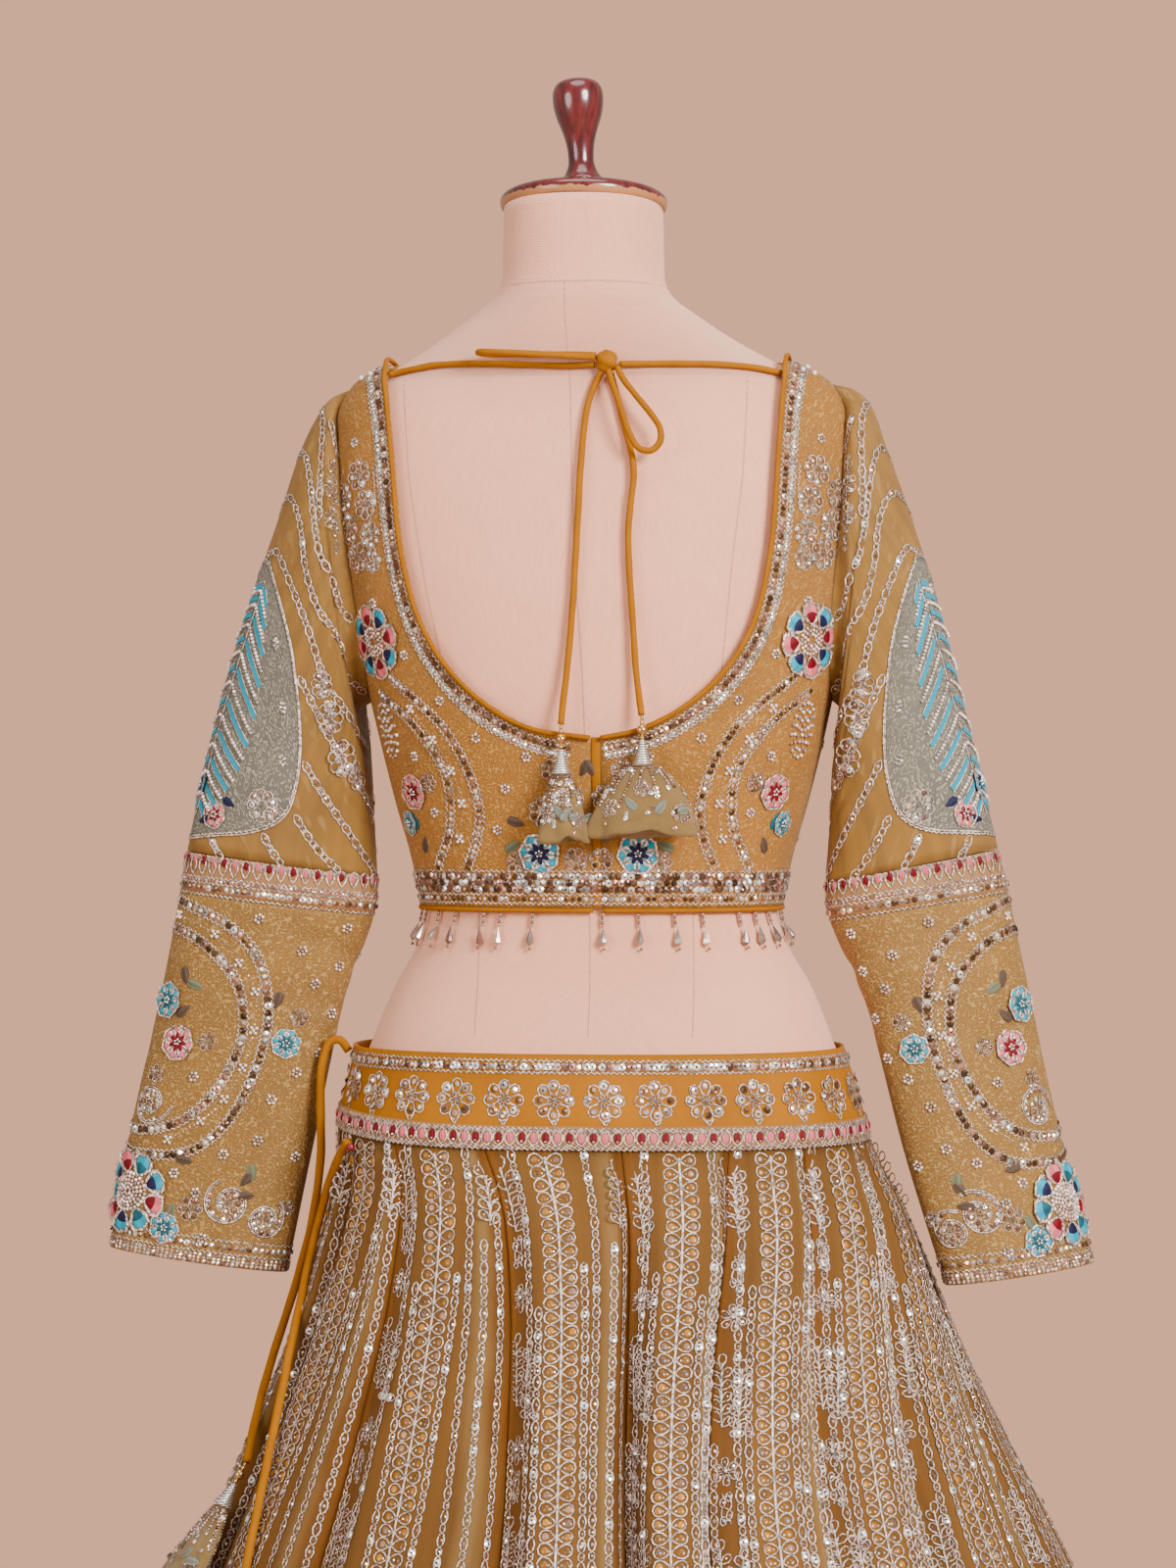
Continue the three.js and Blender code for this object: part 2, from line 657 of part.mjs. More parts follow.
function addSleeve(name, side, table) {
  const sleeve = new THREE.Group()
  choli.add(sleeve)
  const bandStart = table.upper[table.upper.length - 1]
  const upper = [armholeRing(side), ...table.upper.map((row) => sleeveRing(row))]
  const band = [sleeveRing(bandStart, SEAM_GAP), sleeveRing(table.bandEnd)]
  const lower = [sleeveRing(table.bandEnd, SEAM_GAP), ...table.lower.map((row) => sleeveRing(row))]
  place(sleeve, `sleeve_upper_${name}`, tube(upper), organza)
  place(sleeve, `sleeve_band_${name}`, tube(band), beads)
  place(sleeve, `sleeve_lower_${name}`, tube(lower), embroidered)
}

addSleeve('left', -1, LEFT_SLEEVE)
addSleeve('right', 1, RIGHT_SLEEVE)

// ---------------------------------------------------------------- the skirt

const skirt = new THREE.Group()
model.add(skirt)

// A point of the skirt's outline, moved out from its middle.
function skirtPoint(angle, z, out) {
  const p = ringPoint(SKIRT_RINGS, angle, z)
  const middle = new THREE.Vector3(readRings(SKIRT_RINGS, z).lean, 0, z)
  p.addScaledVector(p.clone().sub(middle).normalize(), out)
  const onLeft = Math.max(0, -Math.sin(angle * RAD)) ** 4
  p.z += BAND_LIFT * onLeft * smooth(820, 960, z) * smooth(BAND_TOP, TRIM_TOP, z)
  return p
}

const BAND_COLUMNS = 36

function skirtBand(heights, inside, outside) {
  const grid = (out) =>
    heights.map((z) => {
      const row = []
      for (let c = 0; c < BAND_COLUMNS; c++) row.push(skirtPoint((c / BAND_COLUMNS) * 360, z, out))
      return row
    })
  return clothWall(grid(outside), grid(inside), true)
}

place(skirt, 'waistband', skirtBand([BAND_BOTTOM, TRIM_TOP, BAND_TOP], -BAND_WALL, 0), satin)
const trimHeights = [BAND_BOTTOM, TRIM_TOP]
place(skirt, 'waistband_trim', skirtBand(trimHeights, SEAM_GAP, SEAM_GAP + TRIM_WALL), beads)

const KALI_HEIGHTS = [12, 200, 420, 650, 781, 878, 940, SKIRT_TOP]
const KALI_COLUMNS = [0, 0.08, 0.2, 0.38, 0.62, 0.8, 0.92, 1]

function seamAngle(seam, z) {
  const settled = Math.min(1, (SKIRT_TOP - z) / (SKIRT_TOP - FOLD_SETTLED))
  return mix(seam.top, seam.low, settled * (2 - settled))
}

// How far the cloth lies behind the skirt's outline: it drops sharply into the fold on the
// right of each gore, climbs gently out of the fold on its left, and stands up in a lip between.
function foldDepth(from, to, share, z) {
  const growth = ((SKIRT_TOP - z) / (SKIRT_TOP - SKIRT_HEM)) ** FOLD_GROWTH
  const climb = 1 - smooth(0, 0.32, share)
  const drop = smooth(0.9, 1, share)
  const lip = smooth(0.66, 0.84, share) * (1 - drop)
  return growth * (from.fold * climb + to.fold * drop - LIP_SHARE * to.fold * lip)
}

function kali(from, to) {
  const grid = (wall) =>
    KALI_HEIGHTS.map((z) => {
      const start = seamAngle(from, z)
      const end = seamAngle(to, z)
      return KALI_COLUMNS.map((share) => {
        const plain = skirtPoint(mix(start, end, share), z, 0)
        const radius = Math.hypot(plain.x, plain.y)
        const edge = share === 0 ? 1 : share === 1 ? -1 : 0
        const gap = ((edge * SEAM_GAP) / 2 / radius) / RAD
        return skirtPoint(mix(start, end, share) + gap, z, -foldDepth(from, to, share, z) - wall)
      })
    })
  return clothWall(grid(0), grid(SKIRT_WALL))
}

SEAMS.forEach((seam, i) => {
  const next = SEAMS[(i + 1) % SEAMS.length]
  const wrap = i + 1 === SEAMS.length ? 360 : 0
  const end = { ...next, top: next.top + wrap, low: next.low + wrap }
  place(skirt, `kali_${String(i + 1).padStart(2, '0')}`, kali(seam, end), organza)
})

// ---------------------------------------------------------------- ties and latkans

const ties = new THREE.Group()
model.add(ties)

// Two cords leave the corners of the neckline and meet in a bow behind the neck.
const KNOT = { x: 11.8, y: -71.5, z: 1516, wide: 8, deep: 6.5, tall: 8 }

const NECK_CORDS = {
  neck_tie_left: [
    [-141.6, -41, 1511],
    [-137.3, -40.9, 1512.4],
    [-128.6, -44.4, 1514],
    [-119.2, -48.2, 1515.2],
    [-110.7, -51, 1516.5],
    [-89.4, -58.1, 1516.8],
    [-68.6, -63, 1516.1],
    [-41.4, -66.6, 1514.8],
    [-14.5, -68.1, 1513.7],
    [3.6, -69, 1514.2],
  ],
  neck_tie_right: [
    [128.4, -41.4, 1509.9],
    [123.6, -43.3, 1510.8],
    [110.6, -47.8, 1513.1],
    [91, -54.7, 1514.6],
    [64.9, -61.6, 1514.9],
    [38.6, -65.6, 1514.7],
    [20, -68.6, 1514.4],
  ],
  bow_loop_left: [
    [4.2, -75.2, 1518.4],
    [-12, -79.5, 1519],
    [-32, -83, 1520],
    [-52, -84, 1521.2],
    [-66, -82, 1522],
    [-72.6, -79.4, 1522.4],
    [-75.4, -73, 1522.6],
    [-72.6, -66.8, 1522.6],
    [-66, -65, 1522.4],
    [-50, -66.8, 1521.9],
    [-30, -68.6, 1521.4],
    [-10, -69.7, 1520.9],
    [4.3, -69.6, 1520.3],
  ],
  bow_loop_right: [
    [19.3, -74.4, 1511.6],
    [24, -79.5, 1503],
    [33, -86, 1491.5],
    [43.2, -89.8, 1479],
    [49.8, -92, 1468.5],
    [50, -93.5, 1459.5],
    [44, -94.5, 1453.5],
    [36, -95, 1455],
    [30, -94.5, 1463.5],
    [25, -92, 1477],
    [20.2, -87.4, 1491],
    [16, -81.4, 1502],
    [13.8, -77.6, 1509],
  ],
  neck_tail_left: [
    [8.2, -71.6, 1508.5],
    [4, -72.4, 1500],
    [-0.6, -76, 1486],
    [-2.8, -82, 1466],
    [-4, -88, 1445],
    [-4.8, -92.5, 1423],
    [-5.6, -96.5, 1400],
    [-6.6, -100, 1376],
    [-7.8, -102.6, 1352],
    [-9.5, -104.8, 1328],
    [-11.5, -107, 1305],
    [-13.5, -109.4, 1286],
    [-15, -111, 1270],
  ],
  neck_tail_right: [
    [14.8, -71.4, 1507.6],
    [18.6, -73.4, 1494],
    [25, -79.5, 1471],
    [30.2, -85.4, 1452],
    [32, -89, 1438],
    [30.4, -92.5, 1420],
    [28.9, -95.5, 1400],
    [29.6, -98.6, 1378],
    [31.2, -101.4, 1356],
    [33, -103.4, 1332],
    [34.9, -105.4, 1306],
    [37, -107.8, 1290],
    [39, -110, 1276],
  ],
}

// The waistband's drawstring comes out on the left side and hangs down the skirt in two ends.
const DRAWSTRINGS = {
  drawstring_front: [
    [-172.9, -18, 1045],
    [-179, -18, 1052.6],
    [-186, -18.5, 1051.4],
    [-191, -19, 1039],
    [-192.5, -20, 1017],
    [-192, -21.5, 995],
    [-192, -22.5, 972],
    [-194.5, -23, 948],
    [-199, -23.5, 922],
    [-205.5, -24, 897],
    [-212.5, -26, 872],
    [-220, -34, 846],
    [-226, -50, 819],
    [-229.5, -69, 795],
    [-231.5, -89, 771],
  ],
  drawstring_back: [
    [-164.8, -70, 987.6],
    [-173, -61.5, 975],
    [-182, -46, 957],
    [-190, -37, 932],
    [-196.5, -42, 903],
    [-201, -57, 872],
    [-204, -76, 846],
    [-206, -94, 822],
    [-209, -110, 797],
    [-212.5, -124, 770],
    [-216, -138, 743],
    [-219, -152, 718],
    [-222, -166, 692],
  ],
}

const CORD_STEP = 2.6 // in diameters

function addCord(name, points, radius) {
  const route = new THREE.CatmullRomCurve3(points.map((p) => new THREE.Vector3(...p)), false, 'centripetal')
  const steps = Math.ceil(route.getLength() / (2 * radius * CORD_STEP))
  place(ties, name, cord(points, radius, steps), satin)
}

for (const [name, points] of Object.entries(NECK_CORDS)) addCord(name, points, TIE_RADIUS)
for (const [name, points] of Object.entries(DRAWSTRINGS)) addCord(name, points, DRAWSTRING_RADIUS)

const knot = new THREE.SphereGeometry(1, 12, 8).rotateX(Math.PI / 2).scale(KNOT.wide, KNOT.deep, KNOT.tall)
place(ties, 'bow_knot', knot, satin).position.set(KNOT.x, KNOT.y, KNOT.z)

// A latkan hangs from the end of each cord: beads and a bell cap over a puff of organza.
const BELL = [
  [0, -33.4],
  [6.5, -33.4],
  [6, -30.4],
  [4.2, -22],
  [3, -17.8],
  [1.3, -16.4],
  [1.3, -14.8],
  [2.9, -12.8],
  [2.9, -10.8],
  [1.3, -8.8],
  [1.7, -7.4],
  [1.7, -0.8],
  [0, 0],
]
const PUFF_OUTLINE = [
  [0, -1],
  [0.8, -1],
  [1, -0.86],
  [0.94, -0.55],
  [0.66, -0.22],
  [0.25, 0],
  [0, 0],
]
const LATKANS = [
  { name: 'neck_left', cord: NECK_CORDS.neck_tail_left, aim: [0.02, -0.05, -1], turn: 0, wide: 16, deep: 12, tall: 46 },
  { name: 'neck_right', cord: NECK_CORDS.neck_tail_right, aim: [0.03, -0.05, -1], turn: 0, wide: 36, deep: 13, tall: 48 },
  {
    name: 'drawstring_front',
    cord: DRAWSTRINGS.drawstring_front,
    aim: [-0.5, -0.24, -0.93],
    turn: -65,
    wide: 34,
    deep: 10,
    tall: 66,
  },
  {
    name: 'drawstring_back',
    cord: DRAWSTRINGS.drawstring_back,
    aim: [-0.42, -0.38, -0.93],
    turn: -49,
    wide: 34,
    deep: 10,
    tall: 66,
  },
]

for (const { name, cord: points, aim, turn, wide, deep, tall } of LATKANS) {
  const down = new THREE.Vector3(...aim).normalize()
  const hanging = new THREE.Group()
  hanging.position.set(...points[points.length - 1]).addScaledVector(down, SEAM_GAP)
  hanging.quaternion.setFromUnitVectors(new THREE.Vector3(0, 0, -1), down)
  hanging.rotateZ(turn * RAD)
  ties.add(hanging)
  place(hanging, `bell_${name}`, turned(BELL, 10), gilt)
  const outline = PUFF_OUTLINE.map(([r, h]) => [r, h * tall])
  const puff = turned(outline, 14).scale(wide, deep, 1)
  place(hanging, `puff_${name}`, puff, embroidered).position.z = BELL[0][1] - SEAM_GAP
}

export default model
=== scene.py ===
# %% [markdown]
# # A lehenga choli on a dress form
# An open-backed blouse and a long gored skirt stand on a plain tailor's form. The cloth was cut
# and sewn in part.mjs; here every piece gets its fine surface. The imported model is loaded first,
# as a fixed frame in metres.

# %% Load the frame
import math

import bmesh
import bpy
import numpy as np
from mathutils import Matrix, Vector


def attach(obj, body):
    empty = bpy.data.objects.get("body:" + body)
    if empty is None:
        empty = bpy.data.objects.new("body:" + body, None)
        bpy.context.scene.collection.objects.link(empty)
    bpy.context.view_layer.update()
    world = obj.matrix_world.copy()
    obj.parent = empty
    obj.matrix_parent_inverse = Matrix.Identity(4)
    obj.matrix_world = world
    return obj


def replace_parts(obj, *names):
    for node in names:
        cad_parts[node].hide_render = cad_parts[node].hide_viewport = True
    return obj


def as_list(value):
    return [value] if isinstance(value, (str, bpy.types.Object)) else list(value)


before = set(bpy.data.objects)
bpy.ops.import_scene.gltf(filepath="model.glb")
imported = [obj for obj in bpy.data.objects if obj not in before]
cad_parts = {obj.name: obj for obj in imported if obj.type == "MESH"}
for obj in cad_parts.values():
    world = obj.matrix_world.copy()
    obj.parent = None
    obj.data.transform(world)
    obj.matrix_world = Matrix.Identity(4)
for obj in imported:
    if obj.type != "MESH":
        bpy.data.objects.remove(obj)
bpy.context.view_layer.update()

MM = 0.001

# %% [markdown]
# ## Reading the cutting tables
# A garment block is drafted as girths at set heights. Each table starts with the names of its
# columns and then has one row per height, in millimetres. `read` gives any height between two rows
# on a curve that never overshoots a row.

# %% How the tables are read
RAD = math.pi / 180


def table(text):
    """Numbers as a dict of named columns. The first line names them, then rows are parted by |."""
    names, *rows = text.replace("|", "\n").splitlines()
    return dict(zip(names.split(), np.array([row.split() for row in rows], float).T))


def points(text):
    """Points as the rows of an array. They are parted by commas."""
    return np.array([point.split() for point in text.split(",")], float)


def arrays(*values):
    """Numbers or arrays as float arrays of one shape."""
    return np.broadcast_arrays(*(np.asarray(value, float) for value in values))


def smooth(start, end, value):
    t = np.clip((value - start) / (end - start), 0, 1)
    return t * t * (3 - 2 * t)


def mix(a, b, t):
    return a + (b - a) * t


def steepness(height, values):
    """The slope of a smooth curve at each row, level wherever the rows turn back."""
    slope = np.diff(values) / np.diff(height)
    before, after = slope[:-1], slope[1:]
    same_way = before * after > 0
    total = np.where(same_way, before + after, 1)
    middle = np.where(same_way, 2 * before * after / total, 0)
    return np.concatenate([slope[:1], middle, slope[-1:]])


def read(rings, z):
    """The rings' columns at heights z. The rows go from the top down."""
    height = rings["z"]
    z = np.asarray(z, float)
    i = np.clip(np.searchsorted(-height, -z, side="left"), 1, len(height) - 1)
    span = height[i] - height[i - 1]
    t = np.clip((z - height[i - 1]) / span, 0, 1)
    ease = t * t * (3 - 2 * t)
    found = {}
    for name, values in rings.items():
        slope = steepness(height, values)
        lead = slope[i - 1] * span * (t**3 - 2 * t**2 + t)
        trail = slope[i] * span * (t**3 - t**2)
        found[name] = mix(values[i - 1], values[i], ease) + lead + trail
    return found


print("a table reads", table("z half\n2 10|0 20"))

# %% [markdown]
# ### The form and the skirt in rings
# The form and the skirt each have a table of rings: how far they reach to each side, to the back
# and to the front, and how far the middle leans to the wearer's right. Squareness 2 is an ellipse,
# and a body is a little squarer than that.

# %% Rings of the form and the skirt
BODY = table("""z half back front lean
    1628 55 58 58 -11 | 1580 56 60 60 -11 | 1568 61 62 62 -10.5 | 1552 81 63 63 -10 | 1536 104 63 64 -9
    1520 131.5 64 67 -7.5 | 1503 163 68 73 -6 | 1480 174 74 80 -5 | 1434 176 85 93 -3.5
    1393 173 92 103 -2.5 | 1353 168 97 109 -1 | 1298 157 99 110 1 | 1250 146 95 101 1.5
    1215 137 90 95 1.5 | 1180 127 86 90 1.5 | 1147 121 83 88 1.5 | 1118 129 86 89 2 | 1091 144 93 92 2.5
    1052 160 105 98 2 | 1003 176.8 118.1 110.1 2 | 940 179 121 111 2 | 880 176 117 106 2
    832 168 109 98 2 | 815 150 93 84 2""")
SKIRT = table("""z half back front lean square
    1050 170 112 105 -1 2.3 | 1003 181 122 114 2 2.3 | 987 184 125 117 2.5 2.3 | 961 190 134 127 8 2.25
    940 198 144 137 12 2.2 | 909 209 158 151 14.5 2.15 | 878 220 173 166 16 2.1
    818 244 202 196 17.5 2.05 | 750 276 237 231 20 2 | 690 304 268 262 22 2 | 500 385 352 348 22 2
    300 468 440 436 20 2 | 12 588 565 562 18 2""")
print("form of", len(BODY["z"]), "rings, skirt of", len(SKIRT["z"]))

# %% [markdown]
# ## The surfaces that everything is sewn to
# An angle round the body starts at the centre back, so 90 is the wearer's right side and 180 the
# centre front. Every panel, chain and bead below finds its place with these few functions, so it
# lies on the form or the skirt wherever it goes.

# %% Points on the form, the blouse and the skirt
BODY_SQUARENESS = 2.3
CUP = {"side": 80, "height": 1330, "out": 15, "wide": 47, "tall": 52}
CHOLI_INSIDE = 3.6
CHOLI_OUTSIDE = 5.2
NEARBY = 3
BAND_TOP, TRIM_TOP, BAND_BOTTOM = 1050, 1003, 987
BAND_LIFT = 8


def ring_point(rings, angle, z):
    """A point of a rounded square ring, and the ring."""
    ring = read(rings, z)
    power = 2 / ring.get("square", BODY_SQUARENESS)
    sine, cosine = np.sin(angle * RAD), np.cos(angle * RAD)
    across = np.sign(sine) * np.abs(sine) ** power
    along = np.sign(cosine) * np.abs(cosine) ** power
    depth = np.where(along > 0, ring["back"], ring["front"])
    x = ring["lean"] + ring["half"] * across
    return np.stack([x, -depth * along, z + 0 * x], axis=-1), ring


def body_point(angle, z):
    p, _ = ring_point(BODY, *arrays(angle, z))
    rise = np.exp(-(((p[..., 2] - CUP["height"]) / CUP["tall"]) ** 2))
    right = np.exp(-(((p[..., 0] - CUP["side"]) / CUP["wide"]) ** 2))
    left = np.exp(-(((p[..., 0] + CUP["side"]) / CUP["wide"]) ** 2))
    p[..., 1] += CUP["out"] * rise * (right + left) * smooth(0, 40, p[..., 1])
    return p


def unit(v):
    return v / np.maximum(np.linalg.norm(v, axis=-1, keepdims=True), 1e-9)


def cloth_point(angle, z, out=CHOLI_OUTSIDE):
    """A point that stands `out` off the form, square to it."""
    angle, z = arrays(angle, z)
    along = body_point(angle + NEARBY, z) - body_point(angle - NEARBY, z)
    up = body_point(angle, z + NEARBY) - body_point(angle, z - NEARBY)
    return body_point(angle, z) + unit(np.cross(along, up)) * np.asarray(out, float)[..., None]


def angle_at(side, z):
    """The angle at which the form's surface lies `side` from its middle."""
    half = read(BODY, z)["half"] + CHOLI_OUTSIDE
    share = np.minimum(1, np.abs(side) / half)
    return np.sign(side) * np.arcsin(share ** (BODY_SQUARENESS / 2)) / RAD


def skirt_point(angle, z, out=0.0):
    """A point of the skirt's outline, moved out from its middle. The band rides up at the left."""
    angle, z = arrays(angle, z)
    p, ring = ring_point(SKIRT, angle, z)
    from_middle = p - np.stack([ring["lean"], 0 * z, z], axis=-1)
    p = p + unit(from_middle) * np.asarray(out, float)[..., None]
    on_left = np.maximum(0, -np.sin(angle * RAD)) ** 4
    p[..., 2] += BAND_LIFT * on_left * smooth(820, 960, z) * smooth(BAND_TOP, TRIM_TOP, z)
    return p


print("back of the waist at", np.round(cloth_point(0, 1147.0), 1))

# %% [markdown]
# ## The camera
# It stands level behind the garment, at the height of the waist, a little to its right.

# %% Camera
CAMERA_PLACE = (0.2750, -2.7865, 1.2302)
CAMERA_TURN = 5.8 * RAD
CAMERA_LENS = 92.65

camera_data = bpy.data.cameras.new("camera")
camera_data.lens = CAMERA_LENS
camera_data.sensor_width = 36
camera_data.clip_end = 50
camera = bpy.data.objects.new("camera", camera_data)
camera.location = CAMERA_PLACE
camera.rotation_euler = (math.pi / 2, 0, CAMERA_TURN)
bpy.context.scene.collection.objects.link(camera)
bpy.context.scene.camera = camera
print("camera at", CAMERA_PLACE)

# %% [markdown]
# ## Cloth as a bent grid
# A cut panel has no thickness to speak of, so it starts as a flat grid, like the cloth on the
# table, and each of its points is then put where the sewn panel lies. Two UV maps go with it:
# `panel` runs from 0 to 1 across the cut, and `cloth` is in metres along the threads, so that a
# weave keeps its real size wherever the panel is.

# %% The grid helper
def shown(mesh):
    """A new object for a mesh, which rides on the garment."""
    piece = bpy.data.objects.new(mesh.name, mesh)
    bpy.context.scene.collection.objects.link(piece)
    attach(piece, "root")
    return piece


def finished(mesh, cloth, node_name, slot):
    """Shows a mesh in its material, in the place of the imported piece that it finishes."""
    mesh.materials.append(cloth)
    piece = shown(mesh)
    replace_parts(piece, node_name)
    return piece


def run_length(line):
    """How far along a line each of its points is."""
    return np.concatenate([[0], np.cumsum(np.linalg.norm(np.diff(line, axis=0), axis=1))])


def threads(points, axis):
    """Distances in metres along one direction of a grid of points, from its middle line."""
    steps = np.linalg.norm(np.diff(points, axis=axis), axis=-1)
    lead = np.zeros_like(np.take(steps, [0], axis=axis))
    length = np.cumsum(np.concatenate([lead, steps], axis=axis), axis=axis)
    middle = np.take(length, [length.shape[axis] // 2], axis=axis)
    return (length - middle) * MM


def to_mesh(bm, name):
    """Ends a bmesh: its faces are smooth and it becomes a mesh."""
    for face in bm.faces:
        face.smooth = True
    mesh = bpy.data.meshes.new(name)
    bm.to_mesh(mesh)
    bm.free()
    return mesh


def bent_grid(name, cols, rows, place, tube=False, caps=False):
    """A mesh of a flat grid whose points lie at place(u, v), in millimetres."""
    bm = bmesh.new()
    bm.loops.layers.uv.new("panel")
    bmesh.ops.create_grid(bm, x_segments=cols, y_segments=rows, size=1, calc_uvs=True)
    flat = np.array([vert.co for vert in bm.verts]) / 2 + 0.5
    col = np.rint(flat[:, 0] * cols).astype(int)
    row = np.rint(flat[:, 1] * rows).astype(int)
    u, v = np.meshgrid(np.arange(cols + 1) / cols, np.arange(rows + 1) / rows)
    points = place(u, v)
    warp, weft = threads(points, 1), threads(points, 0)
    cloth = bm.loops.layers.uv.new("cloth")
    for vert, c, r in zip(bm.verts, col, row):
        vert.co = points[r, c] * MM
        for loop in vert.link_loops:
            loop[cloth].uv = (warp[r, c], weft[r, c])
    if tube:
        bmesh.ops.remove_doubles(bm, verts=bm.verts, dist=1e-6)
    if caps:
        edges = [edge for edge in bm.edges if edge.is_boundary]
        bmesh.ops.holes_fill(bm, edges=edges, sides=0)
    return to_mesh(bm, name)


def add_wall(piece, thickness):
    """Gives a sheet its thickness, inwards from its face."""
    wall = piece.modifiers.new("thickness", "SOLIDIFY")
    wall.thickness = thickness * MM
    wall.offset = -1
    wall.use_quality_normals = True
    return piece


print("threads of a metre of cloth:", threads(np.array([[(0, 0, 0), (1000, 0, 0)]], float), 1)[0])

# %% [markdown]
# ## Cords
# The blouse is tied behind the neck and the skirt has a drawstring. Both are bias tubes: a
# narrow strip of satin, cut on the cross and turned inside out, so it hangs like a soft cord.
# Each follows the points that part.mjs gives it. They were worked out on the form and the skirt,
# and apart from the neck ties' points, most of them were then moved.

# %% The routes
TIE_RADIUS, DRAWSTRING_RADIUS = 2.25, 3.0
ROUTE_STEP = 3
ROUTES = {
    "neck_tie_left": points("""
        -141.6 -41 1511, -137.3 -40.9 1512.4, -128.6 -44.4 1514, -119.2 -48.2 1515.2, -110.7 -51 1516.5,
        -89.4 -58.1 1516.8, -68.6 -63 1516.1, -41.4 -66.6 1514.8, -14.5 -68.1 1513.7, 3.6 -69 1514.2"""),
    "neck_tie_right": points("""
        128.4 -41.4 1509.9, 123.6 -43.3 1510.8, 110.6 -47.8 1513.1, 91 -54.7 1514.6, 64.9 -61.6 1514.9,
        38.6 -65.6 1514.7, 20 -68.6 1514.4"""),
    "bow_loop_left": points("""
        4.2 -75.2 1518.4, -12 -79.5 1519, -32 -83 1520, -52 -84 1521.2, -66 -82 1522, -72.6 -79.4 1522.4,
        -75.4 -73 1522.6, -72.6 -66.8 1522.6, -66 -65 1522.4, -50 -66.8 1521.9, -30 -68.6 1521.4,
        -10 -69.7 1520.9, 4.3 -69.6 1520.3"""),
    "bow_loop_right": points("""
        19.3 -74.4 1511.6, 24 -79.5 1503, 33 -86 1491.5, 43.2 -89.8 1479, 49.8 -92 1468.5,
        50 -93.5 1459.5, 44 -94.5 1453.5, 36 -95 1455, 30 -94.5 1463.5, 25 -92 1477, 20.2 -87.4 1491,
        16 -81.4 1502, 13.8 -77.6 1509"""),
    "neck_tail_left": points("""
        8.2 -71.6 1508.5, 4 -72.4 1500, -0.6 -76 1486, -2.8 -82 1466, -4 -88 1445, -4.8 -92.5 1423,
        -5.6 -96.5 1400, -6.6 -100 1376, -7.8 -102.6 1352, -9.5 -104.8 1328, -11.5 -107 1305,
        -13.5 -109.4 1286, -15 -111 1270"""),
    "neck_tail_right": points("""
        14.8 -71.4 1507.6, 18.6 -73.4 1494, 25 -79.5 1471, 30.2 -85.4 1452, 32 -89 1438, 30.4 -92.5 1420,
        28.9 -95.5 1400, 29.6 -98.6 1378, 31.2 -101.4 1356, 33 -103.4 1332, 34.9 -105.4 1306,
        37 -107.8 1290, 39 -110 1276"""),
    "drawstring_front": points("""
        -172.9 -18 1045, -179 -18 1052.6, -186 -18.5 1051.4, -191 -19 1039, -192.5 -20 1017,
        -192 -21.5 995, -192 -22.5 972, -194.5 -23 948, -199 -23.5 922, -205.5 -24 897, -212.5 -26 872,
        -220 -34 846, -226 -50 819, -229.5 -69 795, -231.5 -89 771"""),
    "drawstring_back": points("""
        -164.8 -70 987.6, -173 -61.5 975, -182 -46 957, -190 -37 932, -196.5 -42 903, -201 -57 872,
        -204 -76 846, -206 -94 822, -209 -110 797, -212.5 -124 770, -216 -138 743, -219 -152 718,
        -222 -166 692"""),
}


def smooth_route(p, step):
    """A curve through points that doesn't overshoot, with a point every `step` mm."""
    p = np.concatenate([2 * p[:1] - p[1:2], p, 2 * p[-1:] - p[-2:-1]])
    gap = np.linalg.norm(np.diff(p, axis=0), axis=1) ** 0.5
    knots = np.concatenate([[0], np.cumsum(gap)])
    line = []
    for i in range(1, len(p) - 2):
        k = knots[i - 1 : i + 3]
        count = max(2, math.ceil(gap[i] ** 2 / step))
        t = np.linspace(k[1], k[2], count, endpoint=False)[:, None]
        a = [mix(p[i - 1 + j], p[i + j], (t - k[j]) / (k[j + 1] - k[j])) for j in range(3)]
        b = [mix(a[j], a[j + 1], (t - k[j]) / (k[j + 2] - k[j])) for j in range(2)]
        line.append(mix(b[0], b[1], (t - k[1]) / (k[2] - k[1])))
    return np.concatenate([*line, p[-2:-1]])


LINES = {name: smooth_route(route, ROUTE_STEP) for name, route in ROUTES.items()}
for name, line in LINES.items():
    print(name, round(run_length(line)[-1]), "mm")

# %% [markdown]
# A bias tube is never quite round. Its seam pulls it flatter on one side and it puckers a little
# where it bends, so the tube's section is eased in and out along its length.

# %% The tubes
def carried_frame(line):
    """Two directions square to a line at each of its points, that turn as little as they can."""
    ahead = unit(np.gradient(line, axis=0))
    side = np.zeros_like(ahead)
    side[0] = unit(np.cross(np.cross(ahead[0], (0.3, 0.2, 1)), ahead[0]))
    for i in range(1, len(line)):
        side[i] = unit(side[i - 1] - ahead[i] * (side[i - 1] @ ahead[i]))
    return side, np.cross(ahead, side)


def bias_tube(name, line, radius, around=12):
    side, other = carried_frame(line)
    last = len(line) - 1
    along = np.linspace(0, 1, len(line))

    def place(u, v):
        i = np.rint(v * last).astype(int)
        turn = -u * 2 * math.pi
        pucker = 0.035 * np.sin(along[i] * len(line) * 0.55 + 2 * np.sin(turn))
        ease = 1 + pucker - 0.06 * np.exp(-((np.sin(turn / 2) / 0.2) ** 2))
        ring = np.cos(turn)[..., None] * side[i] + np.sin(turn)[..., None] * other[i]
        return line[i] + ring * (radius * ease)[..., None]

    return bent_grid(name, around, last, place, tube=True, caps=True)


def cord_radius(name):
    return DRAWSTRING_RADIUS if name.startswith("drawstring") else TIE_RADIUS


tubes = {name: bias_tube(f"{name}_tube", line, cord_radius(name)) for name, line in LINES.items()}
print(len(tubes), "tubes")

